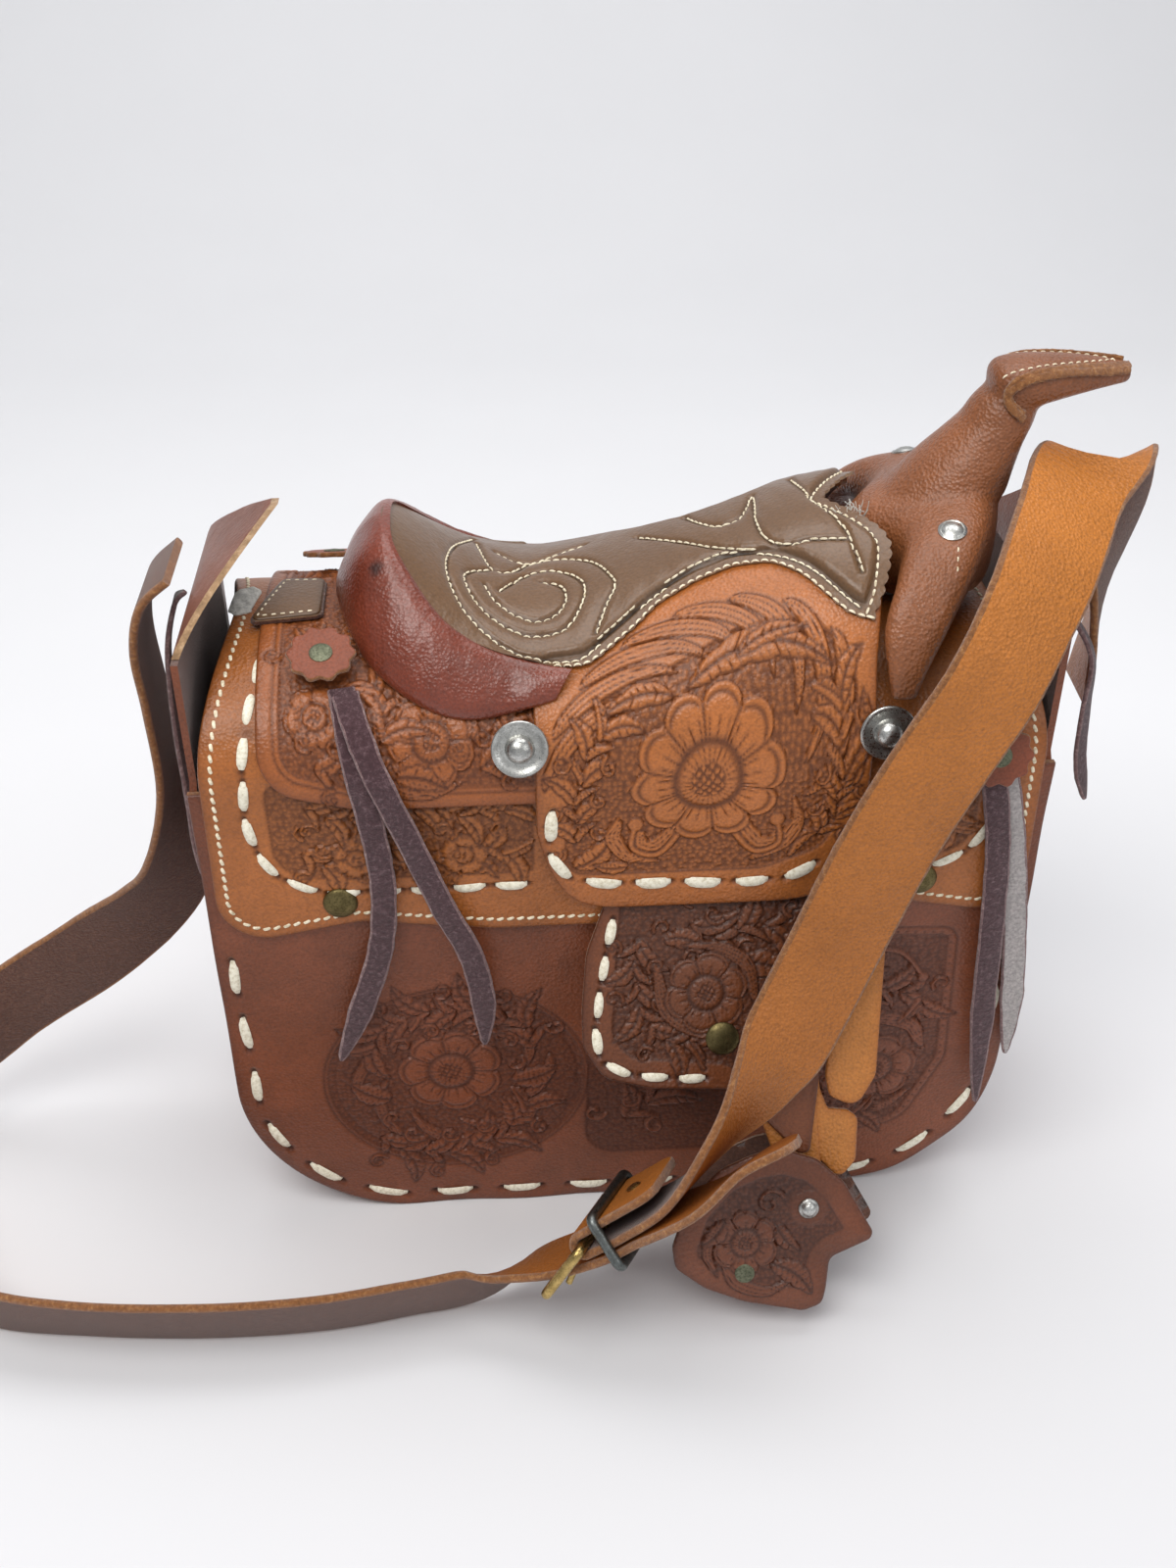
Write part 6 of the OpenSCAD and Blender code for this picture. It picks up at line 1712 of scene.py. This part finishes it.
def strings(side, which):
    k = 0 if which == "left" else 1
    top = float(arch(ROSETTES[k][1], SEATS[k], CROWN)[1])
    seat_at, start = SEATS[k], 0.0
    if side > 0 and k == 1:
        seat_at, start = SEATS[1] - 1.2 + 1.8 + GAP + 11 * math.sin(math.radians(8)), 0.04
    parts = Parts()
    for table, layer in STRINGS[which]:
        q = refine([[x, max(s, start)] for x, s in table], 10)
        z = top - STRING_LEN * q[:, 1]
        off = seat_at + STRING_T / 2 + layer * (STRING_T + GAP)
        c = np.stack([q[:, 0] * LID, string_wall(z, off), z], -1)
        m = len(c) - 1
        tail = np.clip((m - np.arange(m + 1)) / 9.0, 0, 1)
        wide = 0.16 + 0.84 * tail ** 0.8 + 0.02 * np.sin(np.arange(m + 1) * 1.3)
        grey = which == "right" and layer == 0
        face, back = (1, 0) if grey else (0, 1)
        c = c * [1, -side, 1]
        strap(parts, c, np.tile([1.0, 0, 0], (len(c), 1)), STRING_W, STRING_T, wide,
              bands=(face, back, 2) if side < 0 else (back, face, 2), wobble=0.16)
    end = "front" if side < 0 else "back"
    o = parts.build("strings_%s_%s_suede" % (end, which), [PLUM, GREY, PINK])
    place_piece(o, "%s_%s_strings" % (end, which), "thong_leather", "strings_%s_%s" % (end, which))


def crown_spot(x, turn, off, side, rise=CROWN):
    """A place on the lid's or the saddle's arch, and its outward normal."""
    y, z = arch(turn, off, rise)
    q = arch(turn + 1, off, rise)
    t = unit(np.array([0, float(q[0] - y), float(q[1] - z)]))
    n = np.array([0, -t[2], t[1]])
    flip = np.array([1, -side, 1])
    return np.array([x, float(y), float(z)]) * flip, n * flip


def rosettes(side):
    end = "front" if side < 0 else "back"
    leather_parts, rivets = Parts(), Parts()
    for k, (x, turn) in enumerate(ROSETTES):
        lift = STACK if side < 0 or k == 0 else -1.2
        p, n = crown_spot(x, turn, SEATS[k] + lift, side)
        u = unit(np.cross(n, [1.0, 0, 0]))
        v = np.cross(n, u)
        rings = []
        sides = 90
        a = np.arange(sides) * 2 * math.pi / sides
        rough = rng.uniform(-0.12, 0.12, sides)
        edge = 11 * (1 - 0.06 * (1 + np.cos(a * 10))) + rough
        for r, h in ((0.98, 0.0), (1.0, 0.35), (1.0, 1.3), (0.975, 1.7), (0.93, 1.8), (0.55, 1.72),
                     (0.3, 1.6), (0.02, 1.6)):
            rr = edge if r > 0.9 else np.full(sides, 11.0)
            rings.append([p + (u * math.cos(a[i]) + v * math.sin(a[i])) * rr[i] * r + n * h
                          for i in range(sides)])
        first = len(leather_parts.i)
        leather_parts.tube(rings)
        for j in range(first, first + sides * 3):
            leather_parts.i[j] = 1
        rivets.lathe(p + n * 1.6, n, [(3.7, -0.2), (3.7, 0.25), (3.3, 0.5), (2.4, 0.55), (1.2, 0.75),
                                      (0.2, 0.85)])
    place_piece(leather_parts.build("rosettes_%s_leather" % end, [ROSETTE, EDGE]), "saddle",
                "rosette_leather", "rosettes_" + end)
    place_piece(rivets.build("rosette_rivets_%s_cap" % end, [GREEN]), "saddle", "green_brass",
                "rosette_rivets_" + end)


def conchos(side):
    parts = Parts()
    for x, turn in ((-0.255 * LID, 17.5), (0.6 * LID, 11.5)):
        p, n = crown_spot(x, turn, SEAT_OFF, side, float(saddle_rise(np.array(x))))
        parts.lathe(p, n, [(8.7, 0), (9.0, 0.35), (9.0, 0.9), (8.7, 1.2), (8.1, 1.25), (7.2, 0.8),
                           (5.6, 0.5), (4.7, 0.5), (4.3, 1.1),
                     (4.35, 2.4), (3.8, 3.8), (2.6, 4.7), (1.3, 5.15), (0.2, 5.25)], sides=48)
    end = "front" if side < 0 else "back"
    place_piece(parts.build("conchos_%s_metal" % end, [SILVER], 40), "saddle", "silver", "conchos_" + end)


def fittings(tree):
    parts = Parts()
    for x in (-LID + CORNER_R * 0.655, LID - CORNER_R * 0.59):
        parts.lathe([x, -HALF_D - FLAP_OFF - FLAP_T, HEM + FLAP_R * 0.85], [0, -1, 0],
                    [(5.75, -0.2), (5.75, 0.3), (5.5, 0.75), (4.7, 1.25), (3.2, 1.75), (1.6, 2.05),
                     (0.2, 2.15)], sides=40)
    place_piece(parts.build("snap_cap_metal", [ANTIQUE]), "saddle", "antique_brass", "snap_caps")
    parts = Parts()
    near_side, out = nearest(tree, onto(tree, [FORK_RIVET])[0])
    for side in (-1, 1):
        hit, n = near_side * [1, -side, 1], out * [1, -side, 1]
        parts.lathe(hit - n * 0.3, n, [(4.5, 0), (4.5, 0.5), (3.9, 0.9), (3.6, 0.7), (3.2, 1.0),
                                       (2.2, 1.5), (1.0, 1.8), (0.2, 1.85)], sides=36)
    place_piece(parts.build("fork_rivet_metal", [SILVER]), "saddle", "silver", "fork_rivets")


# Shoulder strap: stations are shares of the half width, the half depth and the gusset height
STATION_SIZE = (140.0, 55.0, GUSSET_TOP)


def station(s):
    return np.array([share * size for share, size in zip(s, STATION_SIZE)])


def stations(route):
    return [[station(s[0]), unit(s[1])] for s in route]


STRAP_W, STRAP_T, WIRE = 34.0, 3.0, 3.6
BUCKLE = station([-0.095, -2.04, 0.2])
BAR = unit([0.38, 0.86, -0.34])
RUN = unit(np.array([0.78, -0.1, 0.62]) - BAR * (BAR @ np.array([0.78, -0.1, 0.62])))
UPWARD = np.cross(RUN, BAR)
FOLD = WIRE / 2 + GAP + STRAP_T / 2
DROP = FOLD + STRAP_T + GAP * 3
SHOULDER_ROUTE = [
    [[1.2, 0.11, 0.78], [0.15, 1, 0]], [[1.215, 0.15, 0.88], [0.3, 0.95, 0]],
    [[1.225, 0.15, 0.99], [0.6, 0.8, -0.1]], [[1.215, 0.13, 1.09], [0.85, 0.5, -0.1]],
    [[1.15, 0.02, 1.155], [0.97, 0.1, -0.2]], [[1.055, -0.26, 1.165], [0.96, 0.2, -0.19]],
    [[0.97, -0.67, 1.125], [0.94, 0.2, -0.25]], [[0.88, -1.05, 1.07], [0.93, 0.2, -0.29]],
    [[0.785, -1.29, 0.98], [0.92, 0.1, -0.35]], [[0.68, -1.36, 0.87], [0.9, 0.03, -0.4]],
    [[0.58, -1.38, 0.74], [0.92, 0.03, -0.35]], [[0.485, -1.42, 0.59], [0.93, 0.05, -0.25]],
    [[0.4, -1.56, 0.49], [0.9, 0.2, 0]], [[0.31, -1.78, 0.42], [0.8, 0.5, 0]],
    [[0.2, -2.01, 0.356], [0.6, 0.7, -0.2]], [[0.098, -2.12, 0.283], [0.45, 0.8, -0.3]]]
BILLET_ROUTE = [[[0.364, -2.17, 0.382], [0.5, 0.75, -0.42]], [[0.259, -2.2, 0.347], [0.5, 0.75, -0.42]],
                [[0.15, -2.245, 0.291], [0.43, 0.83, -0.37]]]
FLOOR_ROUTE = [
    [[-0.275, -2.02, 0.115], [0.35, 0.78, -0.5]], [[-0.4, -2.02, 0.079], [0.1, 0.45, -0.9]],
    [[-0.56, -2.08, 0.0745], [0.1, 0.42, -0.9]], [[-0.78, -2.16, 0.0745], [0.05, 0.4, -0.9]],
    [[-1.05, -2.17, 0.0745], [-0.05, 0.4, -0.9]], [[-1.35, -2.1, 0.0745], [-0.05, 0.4, -0.9]],
    [[-1.6, -1.95, 0.0745], [-0.1, 0.35, -0.92]], [[-1.8, -1.6, 0.0755], [-0.2, 0.3, -0.92]],
    [[-1.91, -1.1, 0.079], [-0.2, 0.2, -0.95]], [[-1.93, -0.6, 0.09], [-0.2, 0.15, -0.95]],
    [[-1.84, -0.1, 0.14], [-0.15, 0, -0.98]], [[-1.68, 0.12, 0.225], [0.15, 0.05, -0.95]],
    [[-1.4, 0.16, 0.34], [0.4, 0.1, -0.9]], [[-1.2, 0.12, 0.45], [0.75, 0.45, -0.5]],
    [[-1.125, 0.06, 0.56], [0.6, 0.8, -0.1]], [[-1.115, 0.03, 0.7], [0.1, 1, 0]],
    [[-1.125, 0.02, 0.84], [0, 1, 0]], [[-1.13, 0, 0.94], [0, 1, 0]], [[-1.1, 0, 1.01], [0, 1, 0]],
    [[-1.03, 0, 1.05], [0, 1, 0]]]


def buckle_place(along, across, up):
    return BUCKLE + RUN * along + BAR * across + UPWARD * up


def ribbon(route, steps):
    c = refine([r[0] for r in route], steps)
    w = unit(refine([r[1] for r in route], steps))
    return c, w


def shade_strap(o, dark):
    """A darkness painted on each of the strap's stations; on the shoulder strap it is painted shade."""
    set_values(o.data, "dark", np.repeat(dark, SECTION))


def shoulder_strap():
    stops = [6, 14, 23, 31]
    route = stations(SHOULDER_ROUTE)
    route += [[buckle_place(k, 0, -FOLD), BAR] for k in (14, 6)]
    c, w = ribbon(route, 8)
    fold = [buckle_place(-FOLD * math.sin(a), 0, -FOLD * math.cos(a))
            for a in np.linspace(0, math.pi, 13)]
    tail = refine([buckle_place(a, 0, FOLD + a * 0.04) for a in stops], 5)
    c = np.vstack([c, fold[1:], tail])
    w = np.vstack([w, np.tile(BAR, (len(c) - len(w), 1))])
    n = len(c)
    wide = np.ones(n)
    wide[-4:] = [0.98, 0.94, 0.86, 0.7]
    parts = Parts()
    strap(parts, c, w, STRAP_W - 0.2, STRAP_T - 0.1, wide, bands=(0, 1, 2), wobble=0.1)
    o = parts.build("buckle_strap_leather", [STRAP, SUEDE, EDGE])
    # Painted shade: the lower part of the strap, which turns downward away from the light, is darker
    shade_strap(o, 0.42 * smooth((np.arange(n) - 40) / 60.0))
    place_piece(o, "bag", "strap_leather", "buckle_strap")


def billet():
    route = stations(BILLET_ROUTE)
    route += [[buckle_place(a, 0, -DROP * k), BAR] for a, k in ((16, 1), (3, 1), (-15, 0.6))]
    route += stations(FLOOR_ROUTE)
    c, w = ribbon(route, 8)
    # Half a turn on the floor, so that the suede shows on the way back too
    t = headings(c)
    w = unit(w - t * (w * t).sum(-1, keepdims=True))
    turn = math.pi * smooth((np.arange(len(c)) - 96) / 36.0)[:, None]
    w = w * np.cos(turn) + np.cross(t, w) * np.sin(turn)
    wide = np.ones(len(c))
    wide[:6] = [0.42, 0.66, 0.8, 0.9, 0.96, 0.99]
    parts = Parts()
    strap(parts, c, w, STRAP_W - 0.2, STRAP_T - 0.1, wide, bands=(1, 0, 2), wobble=0.1)
    for k in range((len(c) - 20) * SECTION, (len(c) - 1) * SECTION):
        parts.i[k] = 1 if parts.i[k] == 0 else parts.i[k]
    o = parts.build("billet_strap_leather", [STRAP, SUEDE, EDGE])
    # Darker from its start at the bag through the buckle, lighter out along the floor
    shade_strap(o, 0.6 - 0.35 * smooth((np.arange(len(c)) - 50) / 20.0))
    place_piece(o, "bag", "strap_leather", "billet_strap")


def rod(parts, points, r, closed=False, sides=14):
    """A round wire along a smooth path with rounded corners."""
    c = np.asarray(points, float)
    n = len(c)
    t = unit(np.roll(c, -1, 0) - np.roll(c, 1, 0)) if closed else headings(c)
    u = unit(np.cross(t[0], [0.31, 0.52, 0.79]))
    rings = []
    for i in range(n):
        u = unit(u - t[i] * (u @ t[i]))
        v = np.cross(t[i], u)
        rings.append([c[i] + (u * math.cos(a) + v * math.sin(a)) * r
                      for a in np.arange(sides) * 2 * math.pi / sides])
    if closed:
        base = parts.n
        parts.v.append(np.array(rings).reshape(-1, 3))
        for i in range(n):
            for b in range(sides):
                q = (b + 1) % sides
                j = (i + 1) % n
                parts.f.append([base + i * sides + b, base + i * sides + q, base + j * sides + q,
                                base + j * sides + b])
                parts.i.append(0)
        parts.n += n * sides
    else:
        parts.tube(rings)


def ring_path(corners, r, steps=6):
    c = [np.asarray(p, float) for p in corners]
    out = []
    for i in range(len(c)):
        a, b = unit(c[i - 1] - c[i]), unit(c[(i + 1) % len(c)] - c[i])
        for k in range(steps + 1):
            s = k / steps
            out.append((1 - s) ** 2 * (c[i] + a * r) + 2 * s * (1 - s) * c[i] + s ** 2 * (c[i] + b * r))
    q = []
    for i in range(len(out)):
        j = (i + 1) % len(out)
        m = max(1, int(np.linalg.norm(out[j] - out[i]) / 3))
        q += [mix(out[i], out[j], k / m) for k in range(m)]
    return q


def buckle():
    low = -DROP * 0.6 - STRAP_T / 2 - GAP - WIRE / 2
    half = STRAP_W / 2 + WIRE
    parts = Parts()
    corners = [buckle_place(*p) for p in ((0, -half, 0), (0, half, 0), (-20, half, low),
                                          (-20, -half, low))]
    path = np.array(ring_path(corners, 3.2))
    rod(parts, path, WIRE / 2, closed=True)
    o = parts.build("buckle_frame_wire", [BRASS])
    place_piece(o, "bag", "buckle_brass", "buckle_frame")
    parts = Parts()
    eye = WIRE / 2 + 1.25
    tip = np.array([-20 - WIRE / 2, 0, low - WIRE / 2 - 2.4 - GAP * 3])
    loop = [buckle_place(eye * math.cos(a), 0, eye * math.sin(a))
            for a in np.linspace(math.pi * 0.86, -math.pi * 0.8, 16)]
    arm = [buckle_place(*mix(np.array([-eye - 0.6, 0, -1.0]), tip, s)) for s in np.linspace(0, 1, 9)]
    rod(parts, loop + arm, 1.15)
    place_piece(parts.build("buckle_prong_wire", [BRASS]), "prong", "buckle_brass", "buckle_prong")
    top = FOLD + 9 * 0.04 + STRAP_T / 2 + GAP + 1.5
    down = -DROP - STRAP_T / 2 - GAP * 2.5 - 1.5
    side = STRAP_W / 2 + GAP + 1.5
    parts = Parts()
    corners = [buckle_place(9, a, b) for a, b in ((-side, top), (side, top), (side, down), (-side, down))]
    rod(parts, ring_path(corners, 2.8), 1.8, closed=True)
    place_piece(parts.build("keeper_wire", [GUN]), "bag", "gunmetal", "keeper_loop")
    parts = Parts()
    p = buckle_place(19, 0, FOLD + 19 * 0.04 + STRAP_T / 2)
    parts.lathe(p, UPWARD, [(2.8, -0.2), (2.8, 0.3), (2.3, 0.7), (1.2, 1.0), (0.2, 1.1)], sides=28)
    place_piece(parts.build("fold_rivet_cap", [BRASS]), "bag", "buckle_brass", "fold_rivet")


TIE_LEFT = [[[-1.02, 0.02, 1], [0, 1, 0]], [[-1.04, -0.04, 0.985], [0, 1, 0]],
            [[-1.065, -0.1, 0.92], [0, 1, 0]],
            [[-1.07, -0.13, 0.8], [0.2, 1, 0]], [[-1.06, -0.15, 0.66], [0.5, 0.8, 0]],
            [[-1.06, -0.17, 0.54], [0.8, 0.6, 0]]]
TIE_RIGHT = [[[1.04, 0.02, 0.97], [0, 1, 0]], [[1.105, -0.13, 0.94], [0.2, 1, 0]],
             [[1.163, -0.25, 0.88], [0.4, 0.9, 0]], [[1.164, -0.29, 0.8], [0.7, 0.7, 0]],
             [[1.175, -0.28, 0.71], [0.8, 0.5, 0]], [[1.21, -0.26, 0.63], [0.8, 0.5, 0]]]


def tie(name, route, bands):
    c, w = ribbon(stations(route), 8)
    m = len(c) - 1
    wide = 0.3 + 0.7 * np.clip((m - np.arange(m + 1)) / 5.0, 0, 1)
    parts = Parts()
    strap(parts, c, w, 6.0, 1.7, wide, bands=bands, wobble=0.14)
    place_piece(parts.build(name + "_suede", [PLUM, GREY, PINK]), "bag", "thong_leather", name)


seat()
cantle()
fork_tree = fork()
horn_trim(fork_tree)
lining()
tuft(fork_tree)
seat_lap()
for side in (-1, 1):
    hanging(side)
    strings(side, "left")
    strings(side, "right")
    rosettes(side)
    conchos(side)
fittings(fork_tree)
shoulder_strap()
billet()
buckle()
tie("tie_left", TIE_LEFT, (0, 1, 2))
tie("tie_right", TIE_RIGHT, (0, 1, 2))
for node, mat in (("saddle_tree", WOOD), ("snap_studs", ANTIQUE)):
    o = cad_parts[node]
    o.data.materials.clear()
    o.data.materials.append(mat)


# Stage: pale floor and backdrop, soft studio light and the camera
def stage_material(name, rgb, rough):
    """Pale paper, with painted shade that makes it a little darker towards the camera."""
    k = Paint(name)
    base = k.ramp(k.noise(6, 2), [(0.3, colour(rgb, 0.985)), (0.7, colour(rgb))])
    far = k.new("ShaderNodeSeparateXYZ")
    k.feed(k.co, far.inputs[0])
    # Painted shade: the floor darkens towards the camera
    near = k.ramp(k.maths("ADD", far.outputs[1], 0.6),
                  [(0.0, (0.76, 0.76, 0.77, 1)), (0.9, (1, 1, 1, 1))])
    return k.done(k.blend(1.0, base, near, "MULTIPLY"), rough)


def stage():
    curve = ([[0.9 + 0.7 * math.sin(a), 0.7 - 0.7 * math.cos(a)] for a in np.linspace(0, math.pi / 2, 9)]
             + [[1.6, 3.2]])
    verts, faces = [[-3, -2.2, 0], [3, -2.2, 0]], []
    for y, z in curve:
        verts += [[-3, y, z], [3, y, z]]
    for k in range(len(curve)):
        a = 2 * k
        faces.append([a, a + 1, a + 3, a + 2])
    me = bpy.data.meshes.new("floor")
    me.from_pydata(verts, [], faces)
    me.materials.append(stage_material("floor", (238, 238, 240), 0.7))
    me.polygons.foreach_set("use_smooth", np.ones(len(me.polygons), bool))
    o = bpy.data.objects.new("floor", me)
    bpy.context.scene.collection.objects.link(o)


def light(name, at, size, power, aim=(0, 0, 0.12), tint=(1, 1, 1)):
    d = bpy.data.lights.new(name, "AREA")
    d.shape, d.size, d.size_y, d.energy, d.color = "RECTANGLE", size[0], size[1], power, tint
    o = bpy.data.objects.new(name, d)
    o.location = at
    o.rotation_mode = "QUATERNION"
    o.rotation_quaternion = (Vector(aim) - Vector(at)).to_track_quat("-Z", "Y")
    bpy.context.scene.collection.objects.link(o)


stage()
light("key", (-0.45, -0.7, 1.45), (1.1, 0.8), 16, tint=(1.0, 0.985, 0.96))
light("fill", (1.1, -1.0, 1.1), (1.2, 1.0), 5.5)
light("top", (0.1, 0.4, 1.6), (1.4, 0.9), 12)
light("front", (0.0, -1.7, 0.5), (1.6, 0.8), 1.6)
world = bpy.data.worlds.new("studio")
world.use_nodes = True
world.node_tree.nodes["Background"].inputs["Color"].default_value = (0.93, 0.95, 1.0, 1)
world.node_tree.nodes["Background"].inputs["Strength"].default_value = 0.33
bpy.context.scene.world = world
bpy.context.scene.view_settings.view_transform = "Standard"
cam = bpy.data.cameras.new("camera")
cam.lens, cam.sensor_width, cam.sensor_fit = 38.25, 36.0, "AUTO"
camera = bpy.data.objects.new("camera", cam)
bpy.context.scene.collection.objects.link(camera)
camera.location = cam_at * MM
camera.rotation_mode = "QUATERNION"
camera.rotation_quaternion = (-Vector(cam_back)).to_track_quat("-Z", "Y")
bpy.context.scene.camera = camera
